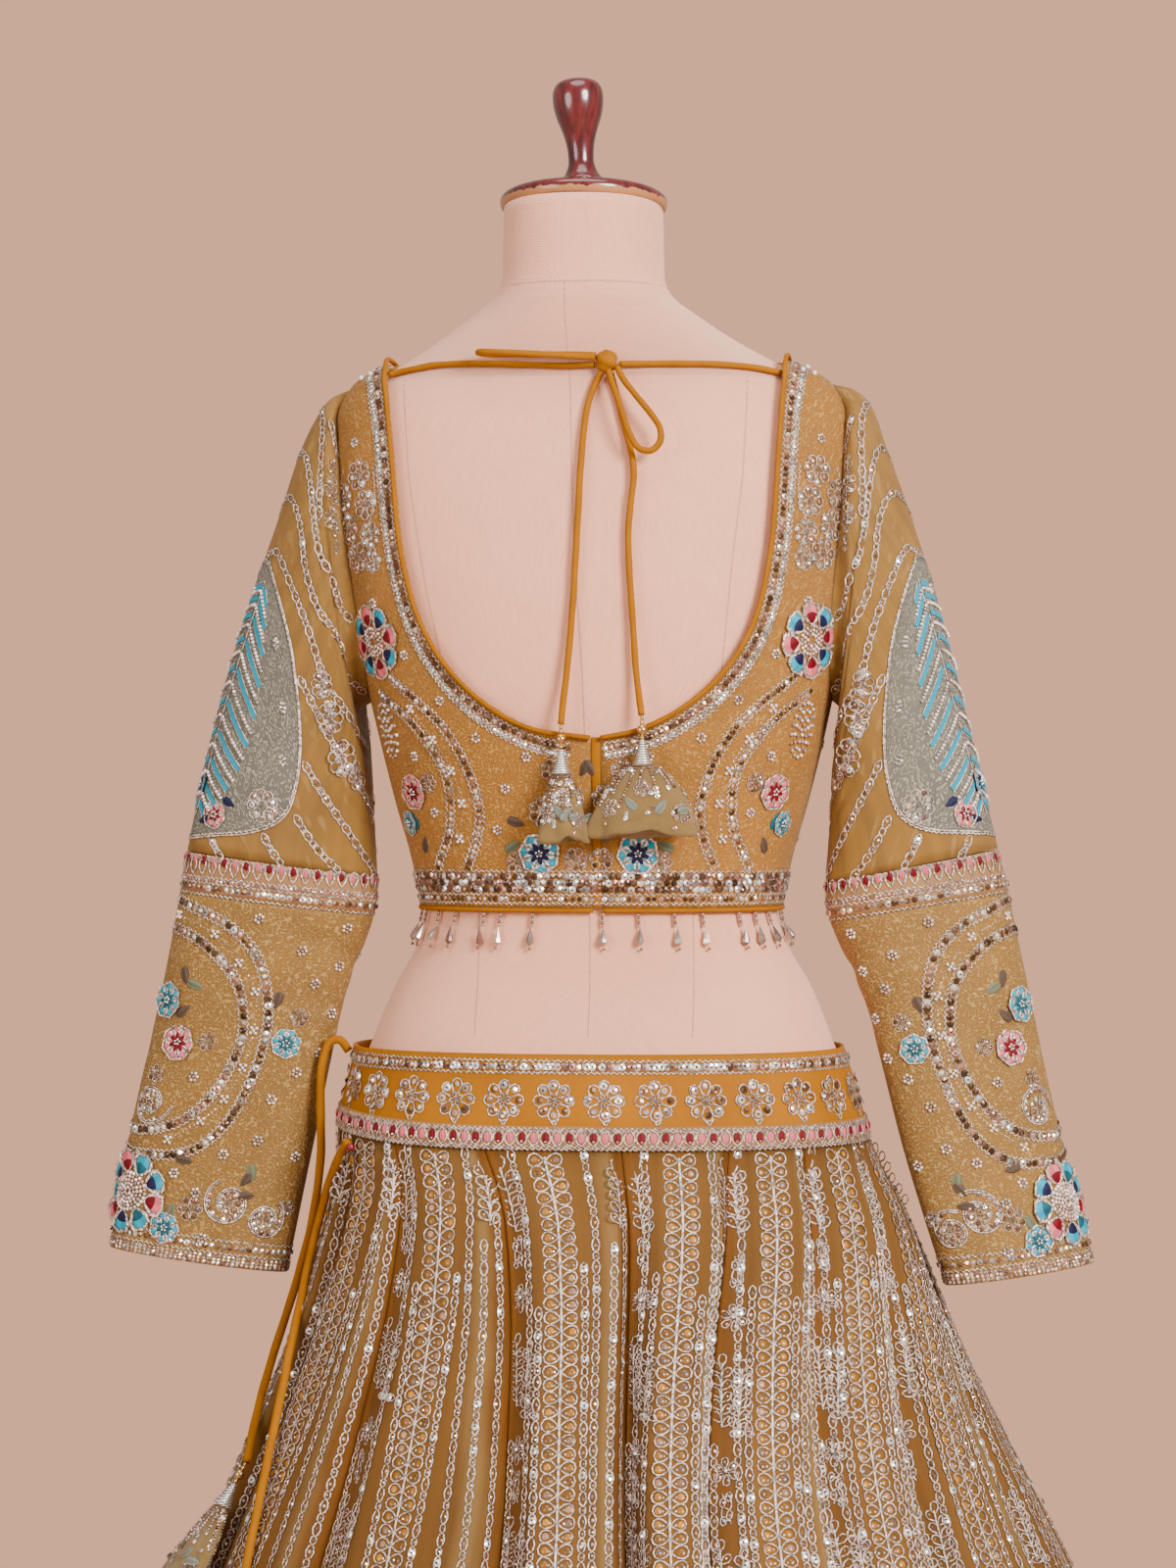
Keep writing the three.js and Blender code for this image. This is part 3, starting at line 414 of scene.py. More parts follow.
# %% [markdown]
# ## Finishes
# A finish is built from a few shared effects. Each effect is a node group with named sockets that
# gives back only a mask or a height, and every material keeps its own shader, so the same weave
# can be fine on satin and coarse on jersey.

# %% Node helpers
def paint(red, green, blue):
    """A linear colour, as shaders use it, fully opaque."""
    return (red, green, blue, 1.0)


def feed(tree, socket, value):
    """Links a socket to another one, or sets it to a constant."""
    if isinstance(value, bpy.types.NodeSocket):
        tree.links.new(value, socket)
    else:
        socket.default_value = value


def node(tree, kind, inputs=None, **settings):
    made = tree.nodes.new("ShaderNode" + kind)
    for name, value in settings.items():
        setattr(made, name, value)
    for name, value in (inputs or {}).items():
        feed(tree, made.inputs[name], value)
    return made


def calc(tree, operation, *values):
    """The result of one Math node on numbers or sockets."""
    return node(tree, "Math", dict(enumerate(values)), operation=operation).outputs[0]


def scaled(tree, colour, share):
    """A colour made lighter or darker by a factor."""
    return node(tree, "VectorMath", {0: colour, "Scale": share}, operation="SCALE").outputs[0]


def colour_mix(tree, share, first, second):
    return node(tree, "Mix", {0: share, 6: first, 7: second}, data_type="RGBA").outputs[2]


def noise(tree, vector, scale, detail=2.0, **more):
    return node(tree, "TexNoise", {"Vector": vector, "Scale": scale, "Detail": detail, **more}).outputs[0]


def ramp(tree, share, *stops):
    """A colour ramp: each stop is a position and a colour."""
    made = node(tree, "ValToRGB", {"Fac": share})
    elements = made.color_ramp.elements
    for position, colour in stops[1:-1]:
        elements.new(position).color = colour
    for element, (position, colour) in ((elements[0], stops[0]), (elements[-1], stops[-1])):
        element.position = position
        element.color = colour
    return made.outputs[0]


def effect(name, inputs, outputs):
    """A new node group. inputs are (label, kind, default), outputs are (label, kind)."""
    group = bpy.data.node_groups.new(name, "ShaderNodeTree")
    for label, kind, default in inputs:
        socket = group.interface.new_socket(label, in_out="INPUT", socket_type="NodeSocket" + kind)
        if default is not None:
            socket.default_value = default
    for label, kind in outputs:
        group.interface.new_socket(label, in_out="OUTPUT", socket_type="NodeSocket" + kind)
    return group, group.nodes.new("NodeGroupInput").outputs, group.nodes.new("NodeGroupOutput").inputs


def placed(tree, group, inputs):
    """Puts an effect into a material, and gives its outputs."""
    made = tree.nodes.new("ShaderNodeGroup")
    made.node_tree = group
    for name, value in inputs.items():
        feed(tree, made.inputs[name], value)
    return made.outputs


print("white is", paint(1, 1, 1))

# %% [markdown]
# ### Weave
# Warp and weft pass over and under each other. Two sine waves, one along each thread direction,
# multiplied together, give that basket of small humps; a little noise makes some threads thicker.

# %% Weave effect
FULL_TURN = 2 * math.pi
weave, given, result = effect(
    "weave",
    [("Vector", "Vector", None), ("Threads per metre", "Float", 1500.0), ("Slub", "Float", 0.3)],
    [("Height", "Float"), ("Slubs", "Float")],
)
apart = node(weave, "SeparateXYZ", {0: given["Vector"]}).outputs
turns = calc(weave, "MULTIPLY", given["Threads per metre"], FULL_TURN)
warp = calc(weave, "SINE", calc(weave, "MULTIPLY", apart[0], turns))
weft = calc(weave, "SINE", calc(weave, "MULTIPLY", apart[1], turns))
basket = calc(weave, "MULTIPLY", warp, weft)
pulled = node(weave, "Mapping", {"Vector": given["Vector"], "Scale": (1, 0.06, 1)}).outputs[0]
slubs = noise(weave, pulled, 900.0)
thick = calc(weave, "MULTIPLY", slubs, given["Slub"])
feed(weave, result["Height"], calc(weave, "ADD", calc(weave, "MULTIPLY", basket, 0.5), thick))
feed(weave, result["Slubs"], slubs)
print("effect", weave.name)

# %% [markdown]
# ### Twist
# Silver cord is several strands twisted together. Along the cord the strands show as slanting
# ridges, so a sine of the distance along plus the distance across gives them.

# %% Twist effect
twist, given, result = effect(
    "cord_twist",
    [("Vector", "Vector", None), ("Ridges per metre", "Float", 700.0), ("Slant", "Float", 1.0)],
    [("Height", "Float")],
)
apart = node(twist, "SeparateXYZ", {0: given["Vector"]}).outputs
across = calc(twist, "MULTIPLY", apart[1], given["Slant"])
turns = calc(twist, "MULTIPLY", given["Ridges per metre"], FULL_TURN)
place_along = calc(twist, "MULTIPLY", calc(twist, "ADD", apart[0], across), turns)
feed(twist, result["Height"], calc(twist, "MULTIPLY_ADD", calc(twist, "SINE", place_along), 0.5, 0.5))
print("effect", twist.name)

# %% [markdown]
# ### Squiggle
# The ground of the blouse is covered with vermicelli: one fine gold thread that wanders in short
# turns and never crosses itself. The level lines of a smooth noise do just that, like the contour
# lines of a map.

# %% Squiggle effect
squiggle, given, result = effect(
    "squiggle",
    [("Vector", "Vector", None), ("Scale", "Float", 110.0), ("Lines", "Float", 5.0)],
    [("Thread", "Float")],
)
hills = noise(squiggle, given["Vector"], given["Scale"], 1.0, Roughness=0.4)
level = calc(squiggle, "FRACT", calc(squiggle, "MULTIPLY", hills, given["Lines"]))
from_line = calc(squiggle, "ABSOLUTE", calc(squiggle, "SUBTRACT", level, 0.5))
edge = node(squiggle, "MapRange", {0: from_line, 1: 0.05, 2: 0.2, 3: 1.0, 4: 0.0}).outputs[0]
feed(squiggle, result["Thread"], edge)
print("effect", squiggle.name)

# %% [markdown]
# ### Cloudiness
# No cloth is one even colour: dye takes unevenly and handling marks it. A slow noise lightens and
# darkens a colour by a few percent.

# %% Cloudiness effect
GREY = paint(0.5, 0.5, 0.5)
cloudy, given, result = effect(
    "cloudy",
    [
        ("Vector", "Vector", None),
        ("Colour", "Color", GREY),
        ("Size", "Float", 20.0),
        ("Depth", "Float", 0.15),
    ],
    [("Colour", "Color")],
)
patches = calc(cloudy, "SUBTRACT", noise(cloudy, given["Vector"], given["Size"], 3.0), 0.5)
swing = calc(cloudy, "MULTIPLY", patches, given["Depth"])
strength = calc(cloudy, "MULTIPLY_ADD", swing, 2.0, 1.0)
feed(cloudy, result["Colour"], scaled(cloudy, given["Colour"], strength))
print("effect", cloudy.name)

# %% [markdown]
# ### From effects to a material
# Every material below starts as a Principled shader with a few plain values. Its colour and its
# relief come in through two sockets, and its patterns read either the `cloth` map, which follows
# the threads, or the place on the piece in metres.

# %% A material from its parts
def material(name, roughness=0.6, **constant):
    """A material, its node tree and its shader."""
    made = bpy.data.materials.new(name)
    made.use_nodes = True
    shader = made.node_tree.nodes["Principled BSDF"]
    shader.inputs["Roughness"].default_value = roughness
    for label, value in constant.items():
        shader.inputs[label.replace("_", " ")].default_value = value
    return made, made.node_tree, shader


def coloured(shader, colour):
    feed(shader.id_data, shader.inputs["Base Color"], colour)


def raised(shader, height, distance):
    """Feeds a height, in metres of the given distance, to the shader's normal."""
    bump = node(shader.id_data, "Bump", {"Height": height, "Distance": distance})
    feed(shader.id_data, shader.inputs["Normal"], bump.outputs[0])


def cloth_map(tree):
    return node(tree, "UVMap", uv_map="cloth").outputs[0]


def place_in(tree):
    return node(tree, "TexCoord").outputs["Object"]


def clouded(tree, colour, size, depth=0.15):
    """A colour with slow patches in it."""
    return placed(tree, cloudy, {"Vector": place_in(tree), "Colour": colour, "Size": size, "Depth": depth})[0]


def netting(tree, threads, slub):
    """The outputs of a weave along the cloth's threads."""
    return placed(tree, weave, {"Vector": cloth_map(tree), "Threads per metre": threads, "Slub": slub})


print("effects ready:", [group.name for group in (weave, twist, squiggle, cloudy)])

# %% [markdown]
# ### Plain cloths
# Satin is smooth and has a soft gloss along the float threads; jersey is matt and slightly fuzzy.
# Both are the same recipe with other numbers: a colour with some cloudiness, and a weave.

# %% Woven materials
def woven(name, colour, threads, rough, bump, slub=0.3, depth=0.15, size=20.0, **constant):
    made, tree, shader = material(name, rough, **constant)
    thread = netting(tree, threads, slub)
    shade = calc(tree, "MULTIPLY_ADD", thread["Slubs"], 0.3, 0.85)
    coloured(shader, scaled(tree, clouded(tree, colour, size, depth), shade))
    raised(shader, thread["Height"], bump * MM)
    return made


JERSEY_FUZZ = {"Sheen_Weight": 0.25, "Sheen_Roughness": 0.5}
form_jersey = woven(
    "form_jersey", paint(0.9, 0.405, 0.25), 650, 0.92, 0.35, slub=0.5, depth=0.05, **JERSEY_FUZZ
)
tie_satin = woven(
    "tie_satin", paint(0.32, 0.108, 0.0), 1500, 0.6, 0.12, size=60, depth=0.2, Specular_IOR_Level=0.08
)
cords = {name: finished(mesh, tie_satin, name, "satin_cord") for name, mesh in tubes.items()}
print("woven:", form_jersey.name, tie_satin.name, "for", len(cords), "cords")

# %% [markdown]
# ## Setting
# A pale floor, a pale surround and four large soft lamps. The strongest is high on the camera's
# right, with a weaker one on its left, one before the wearer, so that the front is lit too, and one
# above for the shoulders. The surround is a dimmer grey to everything but the camera.

# %% Floor and light
BACKGROUND = paint(0.984, 0.518, 0.326)
ROOM = paint(0.52, 0.44, 0.38)
world = bpy.data.worlds.new("studio")
bpy.context.scene.world = world
world.use_nodes = True
seen = node(world.node_tree, "LightPath").outputs["Is Camera Ray"]
surround = colour_mix(world.node_tree, seen, ROOM, BACKGROUND)
feed(world.node_tree, world.node_tree.nodes["Background"].inputs["Color"], surround)

FLOOR_RADIUS = 3.2
bm = bmesh.new()
bmesh.ops.create_circle(bm, cap_ends=True, segments=96, radius=FLOOR_RADIUS)
floor_mesh = bpy.data.meshes.new("floor")
bm.to_mesh(floor_mesh)
bm.free()
floor = bpy.data.objects.new("floor", floor_mesh)
bpy.context.scene.collection.objects.link(floor)
floor_paint, _, shader = material("floor_paint", 0.8)
coloured(shader, paint(0.5, 0.32, 0.22))
floor_mesh.materials.append(floor_paint)


def soft_lamp(name, place, target_height, size, power):
    """A round lamp that points at the garment's middle at a height."""
    data = bpy.data.lights.new(name, "AREA")
    data.shape = "DISK"
    data.size = size
    data.energy = power
    lamp = bpy.data.objects.new(name, data)
    lamp.location = place
    aim = Vector((0, 0, target_height)) - Vector(place)
    lamp.rotation_euler = aim.to_track_quat("-Z", "Y").to_euler()
    bpy.context.scene.collection.objects.link(lamp)
    return lamp


soft_lamp("key", (2.2, -2.7, 2.5), 1.1, 1.4, 250)
soft_lamp("fill", (-2.2, -2.6, 1.7), 1.1, 1.8, 55)
soft_lamp("front", (0.4, 3.2, 2.4), 1.0, 3.0, 100).visible_glossy = False
soft_lamp("top", (0, -0.6, 3.4), 1.2, 1.6, 30)

# %% [markdown]
# ## The dress form
# A tailor's form is padded and then covered with jersey, cut in panels like a bodice. The torso
# is a grid bent round the body's rings and closed above and below. The threads of its seams are
# sewn on later, with the rest of the needlework.

# %% The form's cover
FORM_TOP, FORM_BOTTOM = 1627.6, 815.4
NECK_TIP = math.tan(5 * RAD)


def form_place(u, v):
    """The top of the neck is cut at a tip: the back of it is higher than the throat."""
    z = mix(FORM_BOTTOM, FORM_TOP, v**0.8)
    at = body_point(u * 360, z)
    at[..., 2] -= NECK_TIP * at[..., 1] * smooth(1565, FORM_TOP, z)
    return at


form_mesh = bent_grid("form_torso_jersey", 120, 110, form_place, tube=True, caps=True)
finished(form_mesh, form_jersey, "form_torso", "form_cloth")
print("torso faces:", len(form_mesh.polygons))

# %% [markdown]
# ## Turned pieces
# The neck cap and its finial are lathe work, and so are the foot plate and the pole under the
# skirt. A lathe is bmesh's spin: half the outline is drawn as a wire and swept round the axis.

# %% The lathe
def turned(name, outline, steps=44, centre=(0, 0, 0), lean=0.0):
    """Spins an outline of (radius, height) in mm, from the axis and back to it."""
    bm = bmesh.new()
    verts = [bm.verts.new((radius * MM, 0, height * MM)) for radius, height in outline]
    edges = [bm.edges.new(pair) for pair in zip(verts, verts[1:])]
    spun = {"axis": (0, 0, 1), "cent": (0, 0, 0), "angle": 2 * math.pi, "steps": steps, "use_merge": True}
    bmesh.ops.spin(bm, geom=verts + edges, **spun)
    bmesh.ops.remove_doubles(bm, verts=bm.verts, dist=1e-6)
    bmesh.ops.recalc_face_normals(bm, faces=bm.faces)
    tilt = Vector((math.sin(lean * RAD), 0, math.cos(lean * RAD)))
    turn = Vector((0, 0, 1)).rotation_difference(tilt).to_matrix()
    bmesh.ops.rotate(bm, verts=bm.verts, cent=(0, 0, 0), matrix=turn)
    bmesh.ops.translate(bm, verts=bm.verts, vec=Vector(centre) * MM)
    return to_mesh(bm, name)


def eased(outline, step):
    """Rounds an outline's corners by running a smooth curve through its points."""
    flat = np.array([(radius, 0, height) for radius, height in outline])
    return [(max(0.0, radius), height) for radius, _, height in smooth_route(flat, step)]


print("an eased corner has", len(eased([(0, 0), (1, 0), (0, 1)], 0.2)), "points")

# %% [markdown]
# The wood is stained dark red and varnished. Grain runs up the finial and round the cap, and the
# varnish has worn through to pale wood on the cap's rim, where hands take hold of it.

# %% Varnished wood
red_varnish, tree, shader = material("red_varnish", 0.28, Coat_Weight=0.6, Coat_Roughness=0.08)
drawn_out = node(tree, "Mapping", {"Vector": place_in(tree), "Scale": (60, 60, 9)}).outputs[0]
grain = noise(tree, drawn_out, 2.2, 6.0, Distortion=1.2)
stain = ramp(tree, grain, (0.35, paint(0.045, 0.003, 0.004)), (0.7, paint(0.17, 0.012, 0.013)))
spots = calc(tree, "SUBTRACT", noise(tree, place_in(tree), 160.0, 3.0), 0.5)
at_rim = node(tree, "Attribute", attribute_name="rim").outputs["Fac"]
spotted = calc(tree, "MULTIPLY_ADD", spots, 1.3, at_rim)
worn = node(tree, "MapRange", {0: spotted, 1: 0.5, 2: 0.62}).outputs[0]
coloured(shader, colour_mix(tree, worn, stain, paint(0.4, 0.16, 0.05)))
feed(tree, shader.inputs["Roughness"], calc(tree, "MULTIPLY_ADD", worn, 0.4, 0.25))
raised(shader, grain, 0.15 * MM)
print("varnish on", red_varnish.name)

# %% [markdown]
# ### Cap and finial
# The cap closes the slanting top of the neck, so it's turned level and then tipped back with it.
# The finial stands on it like a stretched pear, and higher up it's nearly upright again.

# %% Cap and finial
CAP_OUTLINE = points("""
    0 0, 53 0, 56.8 0.6, 58 3, 58 6.2, 56.6 8.6, 53 10.8, 45 13, 36 15, 17 17.8, 0 18""")
FINIAL_OUTLINE = points("""
    0 0, 15.3 0, 15.6 1, 14.2 2.8, 12.2 5.2, 10.6 8.4, 9.3 12, 8.9 16, 9.4 24, 10.8 31, 13 38, 15.2 44,
    16.8 50, 17.6 56, 17.3 63, 15 68.2, 10.5 71.2, 5 72.1, 0 72.2""")
FORM_LEAN = -11
CAP_FOOT, CAP_HEIGHT, FINIAL_GAP = 1628.3, 18, 1.2


def mark_rim(mesh, low, high):
    """A vertex attribute that is 1 at the foot of the rim, where the varnish has worn off."""
    place = np.zeros(len(mesh.vertices) * 3, np.float32)
    mesh.vertices.foreach_get("co", place)
    rim = smooth(high * MM, low * MM, place.reshape(-1, 3)[:, 2])
    mesh.attributes.new("rim", "FLOAT", "POINT").data.foreach_set("value", rim.astype(np.float32))


def tip_back(mesh):
    """Tips a turned piece with the top of the neck. Higher up it stands straight again."""
    for vertex in mesh.vertices:
        rise = NECK_TIP * smooth(1690 * MM, 1646 * MM, vertex.co.z)
        vertex.co.z -= vertex.co.y * rise


for name, outline, foot, lean, rim in (
    ("neck_cap", CAP_OUTLINE, (FORM_LEAN, 0, CAP_FOOT), 0, (1630.5, 1636)),
    ("finial", FINIAL_OUTLINE, (FORM_LEAN - 1, 0, CAP_FOOT + CAP_HEIGHT + FINIAL_GAP), -3, (1600, 1601)),
):
    mesh = turned(f"{name}_turned", eased(outline, 1.6), centre=foot, lean=lean)
    mark_rim(mesh, *rim)
    tip_back(mesh)
    finished(mesh, red_varnish, name, "red_wood")
print("cap and finial turned")

# %% [markdown]
# The pole and the foot plate carry satin black enamel. Both stay under the skirt, so a light
# sprayed texture is all that they need.

# %% Stand
black_enamel, tree, shader = material("black_enamel", 0.45, Metallic=0.3)
coloured(shader, clouded(tree, paint(0.03, 0.03, 0.033), 30.0))
raised(shader, noise(tree, place_in(tree), 700.0), 0.1 * MM)
PLATE_OUTLINE = points("0 0, 213 0, 215 2, 215 6, 212 8, 120 9, 34 10, 26 13, 22 18, 22 34, 0 34")
POLE_OUTLINE = points("0 34.3, 14 34.3, 14 814.7, 0 814.7")
for name, outline in (("stand_base", PLATE_OUTLINE), ("stand_pole", POLE_OUTLINE)):
    mesh = turned(f"{name}_enamelled", outline, steps=48)
    soften = finished(mesh, black_enamel, name, "stand_metal").modifiers.new("edges", "BEVEL")
    soften.width = 0.8 * MM
    soften.segments = 2
print("stand built")

# %% [markdown]
# ## The blouse
# The choli is three panels: two backs that meet in a strip of satin and one front. Each is ruled
# between its inner edge, which is the opening and then the neckline, and its outer edge, which is
# the side seam and then the armhole. The edges are smooth curves through the pattern's points.

# %% Edges of the blouse
HEM_HEIGHT, NECK_LOW, FRONT_NECK_LOW = 1147, 1262, 1396
BACK_OPENING, PLACKET_HALF, SEAM_GAP, SEAM_TURN = 6, 3.2, 0.3, 0.055
STRAIGHT_ROWS, CURVED_ROWS = 5, 10
LAST_ROW = STRAIGHT_ROWS + CURVED_ROWS
BACK_NECK = table("""side z
    37 1268 | 68 1284 | 94 1308 | 114 1342 | 126 1390 | 132 1450 | 135.5 1486 | 138 1505 | 139.5 1514
    140 1518""")
FRONT_NECK = table("""side z
    34 1399 | 64 1406 | 90 1419 | 108 1437 | 120 1456 | 129 1480 | 136 1501 | 138.5 1510 | 139.7 1515.5
    140 1518""")
ARMHOLE = {
    "back": table("""angle z
        90 1289 | 78 1303 | 72 1328 | 70 1356 | 70 1388 | 71 1420 | 73 1447 | 76.5 1469 | 81 1485
        85.5 1497 | 90 1503"""),
    "front": table("""angle z
        90 1289 | 104 1302 | 111 1327 | 114 1356 | 114 1388 | 112 1420 | 109 1447 | 105 1469 | 100 1485
        95 1497 | 90 1503"""),
}


def curve_through(values, t):
    """A smooth curve through evenly numbered values, read at t."""
    ends = np.concatenate([2 * values[:1] - values[1:2], values, 2 * values[-1:] - values[-2:-1]])
    i = np.clip(np.floor(t).astype(int), 0, len(values) - 2)
    f = t - i
    a, b, c, d = ends[i], ends[i + 1], ends[i + 2], ends[i + 3]
    return b + 0.5 * ((c - a) * f + (2 * a - 5 * b + 4 * c - d) * f**2 + (3 * b - a - 3 * c + d) * f**3)


def two_part_edge(row, across, height):
    """Straight up from the hem to the first point in the early rows, then a curve through all."""
    straight = row <= STRAIGHT_ROWS
    t = np.clip(row - STRAIGHT_ROWS, 0, CURVED_ROWS)
    low = mix(HEM_HEIGHT, height[0], np.clip(row / STRAIGHT_ROWS, 0, 1))
    along = np.where(straight, across[0], curve_through(across, t))
    return along, np.where(straight, low, curve_through(height, t))


def back_inner(side, row):
    """The opening edge, then the neckline, of a back panel."""
    opening = side * BACK_OPENING + PLACKET_HALF + SEAM_GAP
    neck = np.concatenate([[opening], BACK_NECK["side"]]), np.concatenate([[NECK_LOW], BACK_NECK["z"]])
    aside, z = two_part_edge(row, *neck)
    return angle_at(aside, z), z


def front_inner(row):
    neck = np.concatenate([[0], FRONT_NECK["side"]]), np.concatenate([[FRONT_NECK_LOW], FRONT_NECK["z"]])
    aside, z = two_part_edge(row, *neck)
    return 180 - angle_at(aside, z), z


def outer_edge(face, row):
    """The side seam, then the armhole."""
    return two_part_edge(row, ARMHOLE[face]["angle"], ARMHOLE[face]["z"])


def back_place(side):
    def place(u, v):
        u = u if side > 0 else 1 - u
        row = v * LAST_ROW
        (a, low), (b, high) = back_inner(side, row), outer_edge("back", row)
        a, b = np.minimum(a, 90 - SEAM_TURN), np.minimum(b, 90 - SEAM_TURN)
        return cloth_point(side * mix(a, b, u), mix(low, high, u))

    return place


def front_place(u, v):
    row = v * LAST_ROW
    (a, low), (b, high) = front_inner(row), outer_edge("front", row)
    a, b = np.maximum(a, 90 + SEAM_TURN), np.maximum(b, 90 + SEAM_TURN)
    t = np.abs(2 * u - 1)
    angle = mix(a, b, t)
    return cloth_point(np.where(u < 0.5, angle, 360 - angle), mix(low, high, t))


print("neckline drops to", NECK_LOW, "mm behind")

# %% [markdown]
# The blouse's net carries vermicelli in gold thread all over. The squiggle effect draws it in the
# colour and raises it a little, and a slow noise lets the mustard ground vary under it.

# %% Vermicelli cloth
def vermicelli(name, ground, thread, scale, lines=5.0, streaks=0.0):
    made, tree, shader = material(name, 0.62, Sheen_Weight=0.05, Specular_IOR_Level=0.35)
    at = cloth_map(tree)
    worked = placed(tree, squiggle, {"Vector": at, "Scale": scale, "Lines": lines})[0]
    pulled = node(tree, "Mapping", {"Vector": at, "Scale": (90, 3, 1)}).outputs[0]
    streak = calc(tree, "SUBTRACT", noise(tree, pulled, 1.0, 3.0), 0.5)
    light = calc(tree, "MULTIPLY_ADD", streak, streaks, 1.0)
    base = scaled(tree, clouded(tree, ground, 26.0, 0.3), light)
    coloured(shader, colour_mix(tree, calc(tree, "MULTIPLY", worked, 0.75), base, thread))
    net = netting(tree, 1100.0, 0.4)["Height"]
    raised(shader, calc(tree, "MULTIPLY_ADD", worked, 2.0, net), 0.16 * MM)
    return made


choli_cloth = vermicelli("choli_vermicelli", paint(0.29, 0.107, 0.005), paint(0.5, 0.26, 0.06), 215.0)
sleeve_cloth = vermicelli("sleeve_vermicelli", paint(0.23, 0.105, 0.014), paint(0.46, 0.28, 0.09), 200.0)
sleeve_organza = vermicelli(
    "sleeve_net", paint(0.25, 0.115, 0.014), paint(0.32, 0.17, 0.04), 60.0, lines=2.0, streaks=0.9
)
print("net cloths:", choli_cloth.name, sleeve_cloth.name, sleeve_organza.name)

# %% [markdown]
# Every cut piece keeps the size it was cut to. That size is measured on the
# finished panel: its longest thread each way, and its area.

# %% Cut sizes and panels
CHOLI_WALL = 1.4
panels, cuts = {}, {}


def flat_cut(mesh):
    """Width, length and area of a panel laid flat, in metres."""
    layer = mesh.uv_layers["cloth"].data
    at = np.zeros(len(layer) * 2, np.float32)
    layer.foreach_get("uv", at)
    at = at.reshape(-1, 2)
    area = np.zeros(len(mesh.polygons), np.float32)
    mesh.polygons.foreach_get("area", area)
    width, length = (at.max(0) - at.min(0)).tolist()
    return width, length, min(float(area.sum()), 0.999 * width * length)


def sewn_panel(name, mesh, cloth, slot, thickness):
    cuts[name] = flat_cut(mesh)
    panels[name] = add_wall(finished(mesh, cloth, name, slot), thickness)


for side, label in ((-1, "left"), (1, "right")):
    mesh = bent_grid(f"choli_back_{label}_panel", 24, 64, back_place(side))
    sewn_panel(f"choli_back_{label}", mesh, choli_cloth, "choli_cloth", CHOLI_WALL)
mesh = bent_grid("choli_front_panel", 56, 64, front_place)
sewn_panel("choli_front", mesh, choli_cloth, "choli_cloth", CHOLI_WALL)
for name, cut in cuts.items():
    print(name, "cut", [round(x, 3) for x in cut])

# %% [markdown]
# A folded satin strip closes the back, and the same satin is rolled into piping round the neck and
# along the hem. The piping is a tube along the edge it is sewn to.

# %% Placket and piping
PIPING_RADIUS, PIPING_CLEAR = 1.7, 1.4
HEM_ENDS = (9.2, 2.8)


def placket_place(u, v):
    z = mix(HEM_HEIGHT, NECK_LOW, v)
    x = BACK_OPENING + PLACKET_HALF * (2 * u - 1)
    return cloth_point(angle_at(x, z), z, CHOLI_OUTSIDE + 0.5 * np.sin(u * math.pi))


mesh = bent_grid("back_placket_strip", 6, 50, placket_place)
sewn_panel("back_placket", mesh, tie_satin, "satin_cord", CHOLI_WALL)


def neck_edge(count):
    """The neckline's angles and heights from one side of the opening to the other."""
    row = np.linspace(STRAIGHT_ROWS, LAST_ROW, count)
    left_angle, left_z = back_inner(-1, row)
    right_angle, right_z = back_inner(1, row)
    front_angle, front_z = front_inner(row)
    angle = np.concatenate([-left_angle, -front_angle[::-1], front_angle - 360, right_angle[::-1] - 360])
    return angle, np.concatenate([left_z, front_z[::-1], front_z, right_z[::-1]])


edge_angle, edge_z = neck_edge(80)
steps = np.linalg.norm(np.diff(cloth_point(edge_angle, edge_z), axis=0), axis=1)
kept = np.concatenate([[True], steps > 0.8])
neck_line = cloth_point(edge_angle[kept], edge_z[kept], CHOLI_OUTSIDE + PIPING_CLEAR + PIPING_RADIUS)
hem_z = HEM_HEIGHT - SEAM_GAP - PIPING_RADIUS
hem_start, hem_end = angle_at(HEM_ENDS[0], hem_z), 360 + angle_at(HEM_ENDS[1], hem_z)
hem_line = cloth_point(np.linspace(hem_start, hem_end, 240), hem_z, (CHOLI_INSIDE + CHOLI_OUTSIDE) / 2)
for name, line in (("neck_piping", neck_line), ("hem_piping", hem_line)):
    finished(bias_tube(f"{name}_satin", line, PIPING_RADIUS, around=10), tie_satin, name, "satin_cord")
print("piping:", len(neck_line), "and", len(hem_line), "points")

# %% [markdown]
# ## The sleeves
# Each sleeve is a tube through rings: the armhole itself, six sections of the organza upper part,
# a band of beadwork, and the net lower part that opens to a wide cuff. The sections are ovals, set
# by their outer edge, their inner edge and their depth, and the tube is one smooth skin through
# them all, cut where the maker seamed it.

# %% Sleeve sections
SLEEVE_SECTIONS = {
    "left": table("""out_x out_y out_z in_x in_y in_z depth
        -187 0 1500 -169 0 1280 49 | -197.5 0 1487 -165 0 1266 49 | -210 0 1461 -161.5 0 1250 50
        -226 0 1413 -159.5 0 1228 47 | -245 0 1358 -158 0 1207 43 | -269 1 1275 -157 0 1187 38
        -290.5 2 1184 -156 0 1166 33 | -295.5 2 1155 -158 0 1139 32 | -309 4 1087 -180 0 1074 30
        -331 6 992 -201 2 979 27 | -347.5 8 905 -220 4 889 24"""),
    "right": table("""out_x out_y out_z in_x in_y in_z depth
        178.5 0 1501 168 0 1280 47 | 190 0 1487 165 0 1266 49 | 199 0 1461 162 0 1250 50
        216 2 1413 160.5 -1 1228 47 | 233 4 1358 159.5 -2 1207 44 | 253 8 1275 158.5 -4 1187 40
        275 12 1186 157 -6 1162 35 | 282 13 1156 160 -7 1136 34 | 296.5 16 1087 186 -10 1073 32
        317 20 992 211 -13 978 29 | 341 24 900 239 -16 888 27"""),
}
